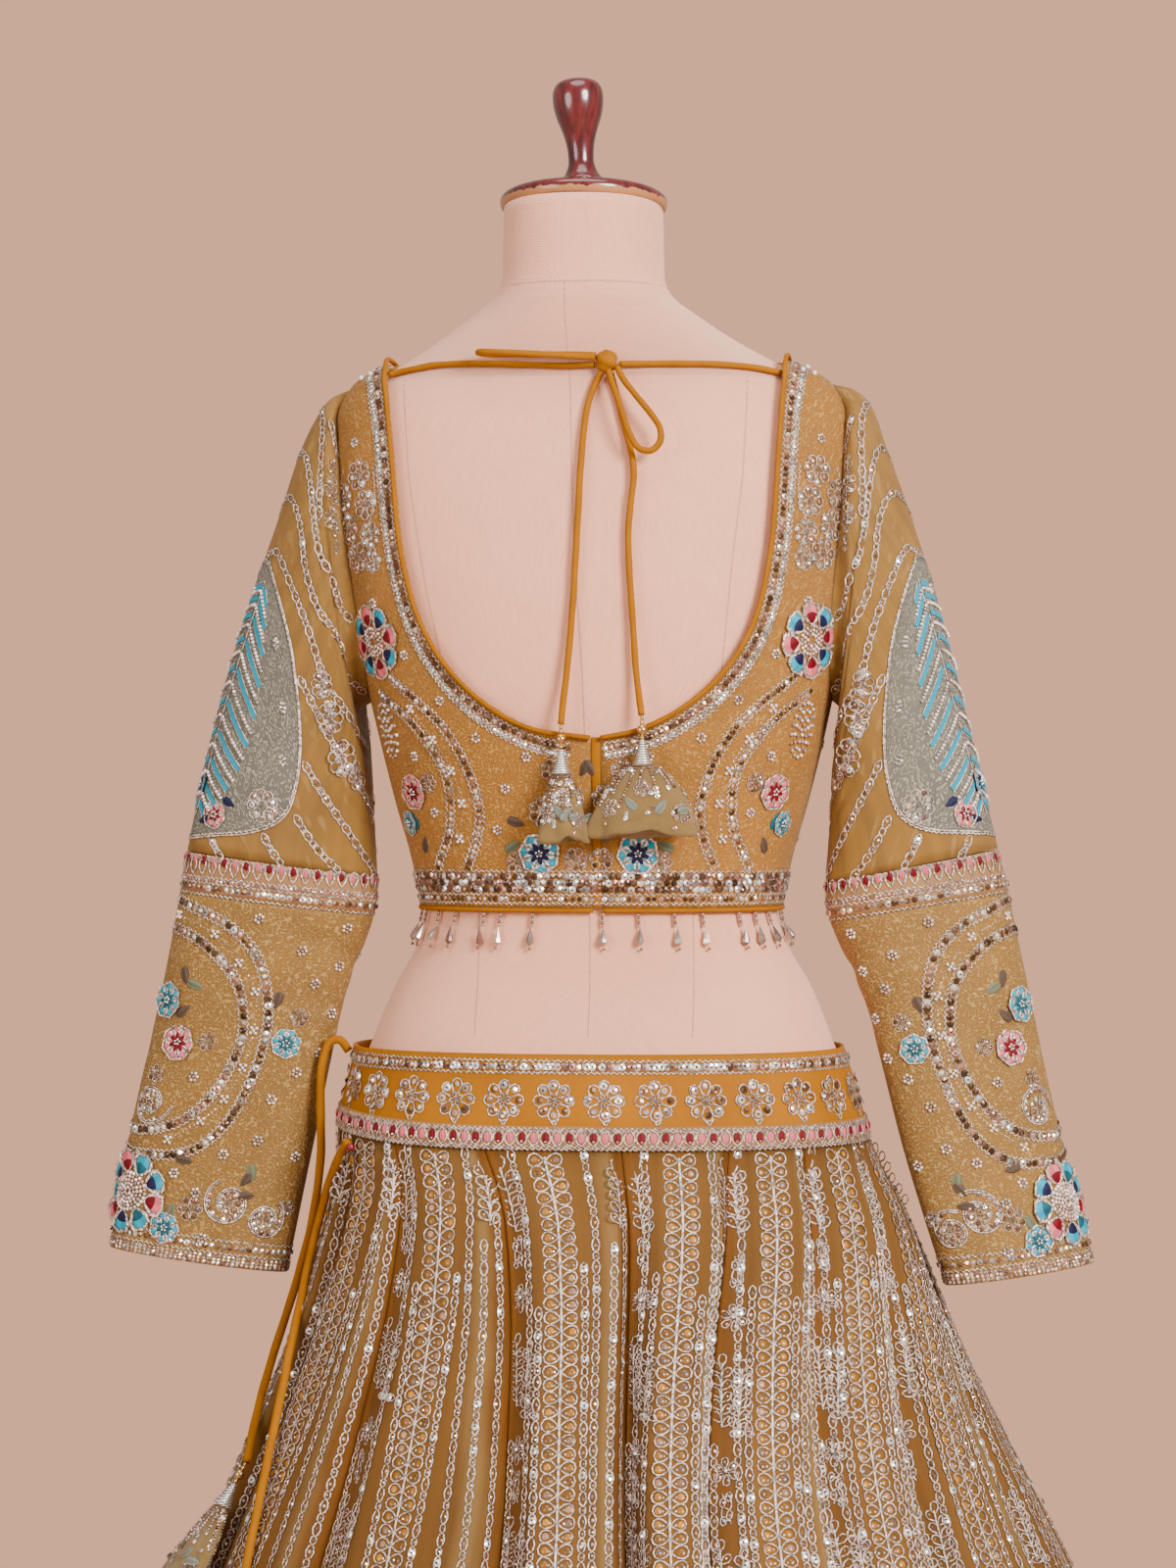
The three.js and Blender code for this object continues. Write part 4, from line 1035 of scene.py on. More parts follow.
SLEEVE_SEAT = CHOLI_OUTSIDE - 0.3
SLEEVE_PARTS = {"upper": (0, 7), "band": (7, 8), "lower": (8, 11)}
TURN_POINTS = 20


def sleeve_rings(label):
    """The sleeve's rings, each of 20 points from the outer edge, down the back and up the front."""
    side = -1 if label == "left" else 1
    back, front = ARMHOLE["back"], ARMHOLE["front"]
    angle = np.concatenate([back["angle"][::-1], front["angle"][1:-1]])
    z = np.concatenate([back["z"][::-1], front["z"][1:-1]])
    rings = [cloth_point(side * angle, z, SLEEVE_SEAT)]
    turn = np.arange(TURN_POINTS) / TURN_POINTS * 2 * math.pi
    rows = SLEEVE_SECTIONS[label]
    far, near = (np.stack([rows[f"{edge}_{axis}"] for axis in "xyz"], axis=1) for edge in ("out", "in"))
    for a, b, depth in zip(far, near, rows["depth"]):
        ring = (a + b) / 2 + np.cos(turn)[:, None] * (a - b) / 2
        ring[:, 1] -= depth * np.sin(turn)
        rings.append(ring)
    return np.array(rings)


def cardinal_weights(f):
    """The shares of four neighbours in a smooth curve, f of the way from the second to the third."""
    a = -0.5 * f + f**2 - 0.5 * f**3
    b = 1 - 2.5 * f**2 + 1.5 * f**3
    c = 0.5 * f + 2 * f**2 - 1.5 * f**3
    return np.stack([a, b, c, 1 - a - b - c], axis=-1)


RINGS = {label: sleeve_rings(label) for label in ("left", "right")}


def sleeve_skin(label, turn, along):
    """A point of the sleeve: turn from 0 to 1 round it, along from ring 0 down to ring 11."""
    rings = RINGS[label]
    padded = np.concatenate([2 * rings[:1] - rings[1:2], rings, 2 * rings[-1:] - rings[-2:-1]])
    turn, along = arrays(turn, along)
    row = np.clip(np.floor(along).astype(int), 0, len(rings) - 2)
    step = np.floor(turn * TURN_POINTS).astype(int)
    down = cardinal_weights(along - row)
    round_ = cardinal_weights(turn * TURN_POINTS - step)
    total = np.zeros((*turn.shape, 3))
    for i in range(4):
        for j in range(4):
            near = padded[row + i, (step - 1 + j) % TURN_POINTS]
            total = total + near * (down[..., i] * round_[..., j])[..., None]
    return total


print("a sleeve has", len(RINGS["left"]), "rings")

# %% [markdown]
# Worn sleeves crease at the elbow and drag from the underarm. Each crease is one row of a table:
# where it is, how long and wide it is, how deep, and how it slants. It's pressed into the skin as
# a soft trough.

# %% Creases of the sleeves
CREASES = table("""turn along reach width depth slant
    0.4 2.2 0.17 0.16 2.2 1.6 | 0.36 3 0.14 0.14 1.6 1.9 | 0.41 4.1 0.12 0.12 1.9 2.2
    0.37 5.3 0.11 0.1 1.5 2 | 0.43 8.5 0.16 0.11 2.4 1.4 | 0.38 8.95 0.13 0.1 1.8 1
    0.15 9.3 0.12 0.09 1.4 -1.2 | 0.62 2.8 0.15 0.15 2 -1.7 | 0.6 4.9 0.13 0.12 1.7 -2.1
    0.64 8.7 0.15 0.11 2.1 -1.3 | 0.85 9.4 0.12 0.1 1.5 1.1""")


def sleeve_sink(turn, along):
    sink = np.zeros(np.broadcast(turn, along).shape)
    for turn_at, along_at, reach, width, depth, slant in zip(*CREASES.values()):
        aside = (np.mod(turn, 1) - turn_at) / reach
        below = (along - along_at - slant * (np.mod(turn, 1) - turn_at)) / width
        sink = sink + depth * np.exp(-(aside**2) - below**2)
    return sink


def sleeve_place(label, turn, along, lift=0.0):
    """A point of the creased sleeve, `lift` mm off its face."""
    round_ = sleeve_skin(label, turn + 0.004, along) - sleeve_skin(label, turn - 0.004, along)
    above = np.clip(along - 0.03, 0, None)
    below = np.clip(along + 0.03, None, len(RINGS[label]) - 1)
    upward = sleeve_skin(label, turn, above) - sleeve_skin(label, turn, below)
    face = unit(np.cross(round_, upward)) * (1 if label == "left" else -1)
    height = lift - sleeve_sink(turn, along) * smooth(0.0, 1.2, along)
    return sleeve_skin(label, turn, along) + face * np.asarray(height)[..., None]


def sleeve_part_place(label, start, stop):
    return lambda u, v: sleeve_place(label, u if label == "left" else 1 - u, mix(stop, start, v))


print(len(CREASES["turn"]), "creases")

# %% [markdown]
# The upper part is cut from the streaked organza, the band from bead-covered satin and the lower
# part from the net. The parts butt against each other, with a hair's breadth between them.

# %% Parts of the sleeves
sleeve_bead_ground = woven(
    "sleeve_band_satin", paint(0.3, 0.13, 0.03), 900, 0.55, 0.15, size=40, depth=0.3, Sheen_Weight=0.1
)
SLEEVE_FINISH = {
    "upper": (sleeve_organza, "sleeve_organza", 50, 0),
    "band": (sleeve_bead_ground, "sleeve_band", 6, 0.012),
    "lower": (sleeve_cloth, "sleeve_cloth", 44, 0.004),
}
for label in ("left", "right"):
    for part, (start, stop) in SLEEVE_PARTS.items():
        cloth, slot, rows, gap = SLEEVE_FINISH[part]
        name = f"sleeve_{part}_{label}"
        place = sleeve_part_place(label, start + gap, stop)
        sewn_panel(name, bent_grid(f"{name}_cloth", 52, rows, place, tube=True), cloth, slot, 1.2)
        print(name, "cut", [round(x, 3) for x in cuts[name]])

# %% [markdown]
# ## The skirt
# Sixteen gores, called kalis, are narrow at the waistband and wide at the hem. Beside each seam
# the cloth drops into a deep fold, and just before it a plain strip of organza stands up as a lip.
# A gore is ruled between its two seams: `share` runs from 0 at its left seam to 1 at its right.
# Between the seams lie soft folds, each with a gore, a share, a width, a depth and a top.

# %% Gores
SKIRT_TOP, SKIRT_HEM, FOLD_SETTLED = 986.5, 12, 690
FOLD_GROWTH, LIP_SHARE = 0.6, 0.1
SEAMS = table("""top low fold
    -43 -43 30 | -18.5 -14 46 | 5.6 4 54 | 27.8 15.5 34 | 49 33 32 | 73 48 56 | 97 71 38 | 119 95 44
    140 118 30 | 162 142 50 | 184 166 36 | 206 191 46 | 228 216 32 | 250 240 52 | 272 264 34
    294 289 42 | 317 317 30""")
SOFT_FOLDS = table("""gore share width depth top
    0 0.36 17 9 880 | 0 0.71 21 7 780 | 1 0.3 15 10 930 | 1 0.68 24 8 700 | 2 0.33 15 11 900
    2 0.72 18 6 820 | 3 0.31 13 9 860 | 3 0.69 20 9 740 | 4 0.35 17 7 910 | 4 0.73 16 10 800
    5 0.33 19 12 880 | 5 0.66 22 8 690 | 6 0.3 16 9 840 | 7 0.37 22 8 760 | 7 0.7 15 9 900
    8 0.34 20 10 870 | 9 0.31 18 7 800 | 9 0.72 23 9 720 | 10 0.35 16 11 890 | 11 0.29 21 8 830
    11 0.69 17 7 760 | 12 0.36 19 10 900 | 13 0.33 15 8 810 | 13 0.71 22 10 700 | 14 0.3 18 9 860
    15 0.34 17 8 900 | 15 0.7 20 7 780""")
GORES = 16


def fold_depth(gore, share, z):
    """How far the cloth lies behind the skirt's outline."""
    growth = ((SKIRT_TOP - z) / (SKIRT_TOP - SKIRT_HEM)) ** FOLD_GROWTH
    climb = 1 - smooth(0, 0.32, share)
    drop = smooth(0.9, 1, share)
    lip = smooth(0.66, 0.84, share) * (1 - drop)
    left, right = SEAMS["fold"][gore], SEAMS["fold"][gore + 1]
    return growth * (left * climb + right * drop - LIP_SHARE * right * lip)


def gore_angle(gore, share, z):
    settled = np.minimum(1, (SKIRT_TOP - z) / (SKIRT_TOP - FOLD_SETTLED))
    eased_in = settled * (2 - settled)
    start, stop = (mix(SEAMS["top"][seam], SEAMS["low"][seam], eased_in) for seam in (gore, gore + 1))
    return mix(start, stop, share), (stop - start) * RAD


def soft_fold_depth(gore, share, z, width_of_gore):
    sink = np.zeros(np.broadcast(gore, share, z).shape)
    for at, at_share, width, depth, top in zip(*SOFT_FOLDS.values()):
        aside = (share - at_share) * width_of_gore / (width * (1 + (SKIRT_TOP - z) / 1400))
        deep = depth * smooth(top, SKIRT_HEM - 300, z)
        sink = sink + np.where(gore == at, deep * np.exp(-(aside**2)), 0)
    return sink


def gore_place(gore, share, z, lift=0.0):
    """A point of a gore's face, `lift` mm off it."""
    gore, share, z = np.broadcast_arrays(gore, np.asarray(share, float), np.asarray(z, float))
    angle, spread = gore_angle(gore, share, z)
    plain = skirt_point(angle, z)
    radius = np.hypot(plain[..., 0], plain[..., 1])
    edge = np.where(share <= 0, 1, np.where(share >= 1, -1, 0))
    gap = edge * SEAM_GAP / 2 / radius / RAD
    sink = fold_depth(gore, share, z) + soft_fold_depth(gore, share, z, spread * radius)
    return skirt_point(angle + gap, z, lift - sink)


print("gore 4 is", round(float(gore_angle(3, 0, SKIRT_HEM)[1] / RAD), 1), "degrees wide at the hem")

# %% [markdown]
# The gores are organza over an amber satin lining. Where they lie close the satin glows through,
# and the lip beside each seam is bare organza and looks straw-coloured. The fold beside each seam
# is painted a darker deep orange: painted shade. The `panel` map knows how far across the gore each
# point is, so a ramp along it sets the colours. The streaks raised as fine crinkles also lighten and
# darken the colour: partly the organza's own streaky tone, partly painted light and shade.

# %% Skirt cloth
skirt_cloth, tree, shader = material("skirt_organza", 0.6, Specular_IOR_Level=0.12)
panel_map = node(tree, "UVMap", uv_map="panel").outputs[0]
across = node(tree, "SeparateXYZ", {0: panel_map}).outputs[0]
from_seam = calc(tree, "SUBTRACT", across, 0.08)
wander = calc(tree, "MULTIPLY_ADD", noise(tree, place_in(tree), 9.0), 0.16, from_seam)
# The darker deep orange near the end of the ramp, deep in the fold beside each seam, is painted shade.
tones = ramp(
    tree,
    wander,
    (0.0, paint(0.17, 0.058, 0.007)),
    (0.1, paint(0.155, 0.06, 0.011)),
    (0.26, paint(0.15, 0.065, 0.014)),
    (0.5, paint(0.2, 0.083, 0.015)),
    (0.78, paint(0.15, 0.065, 0.014)),
    (0.85, paint(0.21, 0.11, 0.032)),
    (0.89, paint(0.21, 0.11, 0.032)),
    (0.94, paint(0.13, 0.05, 0.008)),
    (1.0, paint(0.15, 0.05, 0.006)),
)
pulled = node(tree, "Mapping", {"Vector": cloth_map(tree), "Scale": (160, 4, 1)}).outputs[0]
streak = noise(tree, pulled, 1.0, 4.0)
# The crinkle streaks lighten and darken the colour as they rise and sink: partly the organza's own streaky
# tone, partly painted light and shade.
light = calc(tree, "MULTIPLY_ADD", streak, 0.7, 0.65)
coloured(shader, scaled(tree, clouded(tree, tones, 7.0, 0.35), light))
net = netting(tree, 1300.0, 0.5)["Height"]
raised(shader, calc(tree, "MULTIPLY_ADD", streak, 1.2, net), 0.2 * MM)
print("skirt cloth:", skirt_cloth.name)

# %% [markdown]
# ### Cutting the gores
# A gore needs more columns where it bends most, near its seams and its lip, so the columns are
# listed. Its `panel` map is set to the same shares, and the colours follow the folds.

# %% Cut the gores
GORE_COLUMNS = (
    (0, 0.03, 0.07, 0.12, 0.18, 0.25, 0.32, 0.4, 0.5, 0.6)
    + (0.68, 0.75, 0.8, 0.84, 0.88, 0.91, 0.94, 0.97, 1)
)
GORE_ROWS = 44
EVEN_COLUMNS = np.linspace(0, 1, len(GORE_COLUMNS))
for gore in range(GORES):
    name = f"kali_{gore + 1:02d}"

    def place(u, v, gore=gore):
        return gore_place(gore, np.interp(u, EVEN_COLUMNS, GORE_COLUMNS), mix(SKIRT_HEM, SKIRT_TOP, v))

    mesh = bent_grid(f"{name}_organza", len(GORE_COLUMNS) - 1, GORE_ROWS, place)
    for corner in mesh.uv_layers["panel"].data:
        corner.uv.x = np.interp(corner.uv.x, EVEN_COLUMNS, GORE_COLUMNS)
    sewn_panel(name, mesh, skirt_cloth, "skirt_organza", 1.6)
print("gores:", GORES, "each about", [round(x, 3) for x in cuts["kali_04"]])

# %% [markdown]
# The waistband is a straight strip of satin round the hips, a little wider below than above, and
# its lower edge rides up at the left hip, where the drawstring pulls it.

# %% Waistband
waist_satin = woven(
    "waist_satin", paint(0.33, 0.112, 0.0), 1500, 0.5, 0.1, size=14, depth=0.35, Specular_IOR_Level=0.12
)
trim_satin = woven("trim_satin", paint(0.3, 0.12, 0.02), 1200, 0.5, 0.12, size=30, depth=0.2)
BAND_DRAG = table("""angle width depth slant
    -60 9 1.1 0.2 | -72 7 1.5 -0.25 | -84 8 1.2 0.3 | 64 10 0.9 0.2 | 150 12 1 0.1 | 210 11 1.1 -0.15""")


def band_place(angle, z, lift=0.0):
    sink = np.zeros(np.broadcast(angle, z).shape)
    for at, width, depth, slant in zip(*BAND_DRAG.values()):
        turned_by = np.mod(angle - at + 180, 360) - 180
        aside = (turned_by - slant * (z - 1025)) / width
        sink = sink + depth * np.exp(-(aside**2)) * smooth(1050, 1040, z) * smooth(1003, 1013, z)
    return skirt_point(angle, z, lift - sink)


def band_sheet(u, v):
    return band_place(u * 360, mix(BAND_BOTTOM, BAND_TOP, v))


def trim_sheet(u, v):
    return skirt_point(u * 360, mix(BAND_BOTTOM, TRIM_TOP, v), 1.0 + 0.5 * np.sin(v * math.pi))


mesh = bent_grid("waistband_satin", 160, 12, band_sheet, tube=True)
sewn_panel("waistband", mesh, waist_satin, "waistband_satin", 2.0)
mesh = bent_grid("waistband_trim_satin", 160, 4, trim_sheet, tube=True)
sewn_panel("waistband_trim", mesh, trim_satin, "waistband_trim", 0.7)
print("waistband", [round(x, 3) for x in cuts["waistband"]])

# %% [markdown]
# ## Needlework
# All the silver is couched cord, sequins, stones and beads, thousands of each. One small pattern
# mesh is made for each kind, then copied by arrays onto the places where it's sewn, and all the
# copies on one panel are joined in one mesh. Every copy keeps a colour in the `tint` attribute.

# %% A small pattern mesh
CORD_WIDTH = 1.2 * MM


class Motif:
    """A pattern in mm: x to the right, y up, z off the cloth."""

    def __init__(self, bm, smooth_faces=True):
        uv_layer = bm.loops.layers.uv.active
        bm.verts.index_update()
        self.points = np.array([vert.co for vert in bm.verts])
        self.corners = np.array([loop.vert.index for face in bm.faces for loop in face.loops])
        self.sizes = np.array([len(face.loops) for face in bm.faces])
        if uv_layer:
            self.uvs = np.array([loop[uv_layer].uv[:] for face in bm.faces for loop in face.loops])
        else:
            self.uvs = self.points[self.corners][:, :2] * MM
        self.smooth = smooth_faces
        bm.free()


def bent_motif(cols, rows, place, tube=False, smooth_faces=True):
    """A motif from a grid put at place(u, v); its map is metres along and 0 to CORD_WIDTH across."""
    bm = bmesh.new()
    layer = bm.loops.layers.uv.new("cloth")
    bmesh.ops.create_grid(bm, x_segments=cols, y_segments=rows, size=1, calc_uvs=False)
    flat = np.array([vert.co for vert in bm.verts]) / 2 + 0.5
    length = run_length(place(np.linspace(0, 1, 33), np.full(33, 0.5)))[-1]
    for vert, (u, v, _) in zip(bm.verts, flat):
        for loop in vert.link_loops:
            loop[layer].uv = (u * length * MM, v * CORD_WIDTH)
    for vert, point in zip(bm.verts, place(flat[:, 0], flat[:, 1])):
        vert.co = point
    if tube:
        bmesh.ops.remove_doubles(bm, verts=bm.verts, dist=1e-4)
    return Motif(bm, smooth_faces)


def ring_of(outline, segments, width, height):
    """A closed ring of couched cord: outline(t) is its middle line for t from 0 to 1."""

    def place(u, v):
        (x, y), (x2, y2), (x1, y1) = outline(u), outline(u + 0.004), outline(u - 0.004)
        ahead = unit(np.stack([x2 - x1, y2 - y1], axis=-1))
        aside = (v - 0.5) * width
        return np.stack([x + ahead[:, 1] * aside, y - ahead[:, 0] * aside, height + 0 * x], axis=-1)

    return bent_motif(segments, 1, place, tube=True)


def eye(half_wide, half_tall):
    """An oval with pointed ends."""

    def outline(t):
        turn = 2 * math.pi * t
        return half_wide * np.sin(turn) * np.abs(np.sin(turn)) ** 0.35, -half_tall * np.cos(turn)

    return outline


def drop(wide, tall, point=1.0):
    """A teardrop that stands on its narrow end."""

    def outline(t):
        turn = 2 * math.pi * t
        across = wide / 2 * np.sin(turn) * np.abs(np.sin(turn / 2)) ** point * 1.25
        return across, tall / 2 * (1 - np.cos(turn))

    return outline


print("couched cord is", CORD_WIDTH, "m wide")

# %% [markdown]
# ### One motif of each kind
# Links, leaves and loops are rings of cord. A bead and a stone are low six-sided cones, one smooth
# and one faceted; a sequin is a cupped ring, a seed is a ball, and a petal is a padded blade.

# %% The motifs
def cone(height, smooth_faces=True):
    bm = bmesh.new()
    bmesh.ops.create_cone(bm, cap_ends=False, segments=6, radius1=1.0, radius2=0.0, depth=height)
    bmesh.ops.translate(bm, verts=bm.verts, vec=(0, 0, height / 2))
    bmesh.ops.remove_doubles(bm, verts=bm.verts, dist=1e-4)
    bmesh.ops.recalc_face_normals(bm, faces=bm.faces)
    return Motif(bm, smooth_faces)


def ball():
    bm = bmesh.new()
    bmesh.ops.create_icosphere(bm, subdivisions=1, radius=1)
    bmesh.ops.translate(bm, verts=bm.verts, vec=(0, 0, 0.7))
    return Motif(bm)


def drop_place(u, v):
    turn = 2 * math.pi * u
    radius = np.sin(math.pi * v**0.42)
    return np.stack([radius * np.sin(turn), 2 * v - 1, 0.7 + radius * np.cos(turn)], axis=-1)


def sequin_place(u, v):
    turn = -2 * math.pi * u
    radius = mix(1.0, 0.32, v)
    return np.stack([radius * np.cos(turn), radius * np.sin(turn), 0.25 + 0.3 * v], axis=-1)


def petal_place(u, v):
    x, y = drop(1.0, 1.0, 0.7)(0.5 * v)
    side = (2 * u - 1) * x
    return np.stack([side, y, 0.04 + 0.22 * (1 - (2 * u - 1) ** 2) * np.sin(v * math.pi) ** 0.5], axis=-1)


MOTIFS = {
    "oval link": ring_of(eye(2.6, 4.9), 8, 1.25, 0.5),
    "round link": ring_of(eye(2.2, 3.1), 6, 1.2, 0.5),
    "leaf loop": ring_of(drop(8.2, 10.4, 0.6), 10, 1.25, 0.55),
    "small loop": ring_of(drop(5.4, 8.4, 0.8), 8, 1.15, 0.55),
    "pointed loop": ring_of(eye(3.6, 6.0), 10, 1.2, 0.5),
    "bead": cone(0.8),
    "stone": cone(0.75, smooth_faces=False),
    "sequin": bent_motif(8, 1, sequin_place, tube=True),
    "seed": ball(),
    "drop": bent_motif(7, 5, drop_place, tube=True, smooth_faces=False),
    "petal": bent_motif(4, 4, petal_place),
}
for name, motif in MOTIFS.items():
    print(f"{name}: {int((motif.sizes - 2).sum())} triangles")

# %% [markdown]
# A `Ground` is somewhere to sew: it turns two coordinates into a point and the three directions
# there, right, up and off the cloth. Cords, rows and motifs are then laid in those coordinates.

# %% Grounds
class Ground:
    """A surface sampled once on a fine grid, then read between its samples."""

    def __init__(self, place, left, right, low, high, cols, rows):
        self.corner = np.array((left, low), float)
        self.step = np.array(((right - left) / cols, (high - low) / rows))
        self.cells = (cols, rows)
        u, v = np.meshgrid(np.linspace(left, right, cols + 1), np.linspace(low, high, rows + 1))
        at = place(u, v)
        across = np.gradient(at, axis=1) / self.step[0]
        upward = np.gradient(at, axis=0) / self.step[1]
        self.samples = np.concatenate([at, across, upward], axis=-1)

    def look(self, u, v):
        u, v = arrays(np.atleast_1d(u), np.atleast_1d(v))
        x = np.clip((u - self.corner[0]) / self.step[0], 0, self.cells[0] - 1e-6)
        y = np.clip((v - self.corner[1]) / self.step[1], 0, self.cells[1] - 1e-6)
        i, j = x.astype(int), y.astype(int)
        x, y = (x - i)[..., None], (y - j)[..., None]
        below = mix(self.samples[j, i], self.samples[j, i + 1], x)
        above = mix(self.samples[j + 1, i], self.samples[j + 1, i + 1], x)
        return mix(below, above, y)

    def frames(self, u, v, lift=0.0):
        """Points, and the directions right, up and out, at coordinates u and v."""
        found = self.look(u, v)
        right, upward = found[..., 3:6], found[..., 6:9]
        out = unit(np.cross(right, upward))
        right = unit(right)
        return found[..., :3] + out * np.asarray(lift)[..., None], right, np.cross(out, right), out

    def scale(self, u, v):
        """Millimetres for one unit of u and of v."""
        found = self.look(u, v)
        return np.linalg.norm(found[..., 3:6], axis=-1), np.linalg.norm(found[..., 6:9], axis=-1)


def skirt_ground(gore):
    return Ground(lambda share, z: gore_place(gore, share, z), 0.002, 0.998, SKIRT_HEM, SKIRT_TOP, 120, 180)


def sleeve_ground(label):
    """Turn runs towards the wearer's right across the back, and height is minus along."""
    hand = 1 if label == "left" else -1
    return Ground(lambda turn, up: sleeve_place(label, hand * turn, -up), -0.55, 0.55, -11, 0, 150, 150)


BLOUSE = Ground(cloth_point, -200, 200, 1140, 1520, 400, 190)
BAND = Ground(band_place, -185, 185, BAND_BOTTOM, BAND_TOP + 2, 370, 40)
TRIM = Ground(lambda angle, z: skirt_point(angle, z, 1.5), -185, 185, BAND_BOTTOM, TRIM_TOP, 370, 12)
SLEEVES = {label: sleeve_ground(label) for label in ("left", "right")}
print("blouse, waistband, trim and sleeves sampled")

# %% [markdown]
# ### Colours and usual finishes
# Most motifs are always made of the same stuff, so each has its usual finish, by its place in the
# list of the needlework's materials. Beads of one kind are never all the same colour: `mixed`
# draws a tone for each, from a fixed seed, and makes it lighter or darker.

# %% Colours of the needlework
CORD, SPANGLE, PEARL, SILK = range(4)
USUAL_FINISH = {
    "stone": SPANGLE, "sequin": SPANGLE, "drop": SPANGLE, "seed": PEARL, "bead": SILK, "petal": SILK
}
SILVER, BRIGHT = np.array((1.0, 0.77, 0.65)), np.array((0.98, 0.94, 0.9))
ROSE, BRONZE = np.array((0.62, 0.34, 0.28)), np.array((0.3, 0.16, 0.1))
AMBER, CLEAR = np.array((0.26, 0.1, 0.006)), np.array((0.8, 0.64, 0.57))
PEARL_WHITE, TURQUOISE = np.array((0.85, 0.7, 0.64)), np.array((0.012, 0.33, 0.48))
TEAL, NAVY = np.array((0.008, 0.09, 0.12)), np.array((0.01, 0.009, 0.045))
PINK, RED = np.array((0.75, 0.15, 0.18)), np.array((0.16, 0.0, 0.006))
LEAF_BROWN, LEAF_GREEN = np.array((0.085, 0.05, 0.032)), np.array((0.13, 0.14, 0.08))
LEAF_GREY = np.array((0.17, 0.17, 0.13))
shuffle = np.random.default_rng(16)


def mixed(number, *tones):
    """A colour for each of a number of beads, drawn from a few tones."""
    tones = np.array(tones)
    shade = shuffle.uniform(0.35, 1.3, (number, 1))
    return np.minimum(tones[shuffle.integers(0, len(tones), number)] * shade, 1)


print("usual finishes:", USUAL_FINISH)

# %% [markdown]
# ### Sewing on a ground
# `Needlework` gathers everything that is sewn on one panel. Copies lie at coordinates of its
# ground, cords follow lines of coordinates, and a braid is a cord that zigzags. Spangles are
# tilted a little, each its own way, because loose sequins never lie flat and that makes them
# glitter. In the end all of it becomes one mesh, with one material for each finish.

# %% Panels of needlework
TRIANGLES = {}


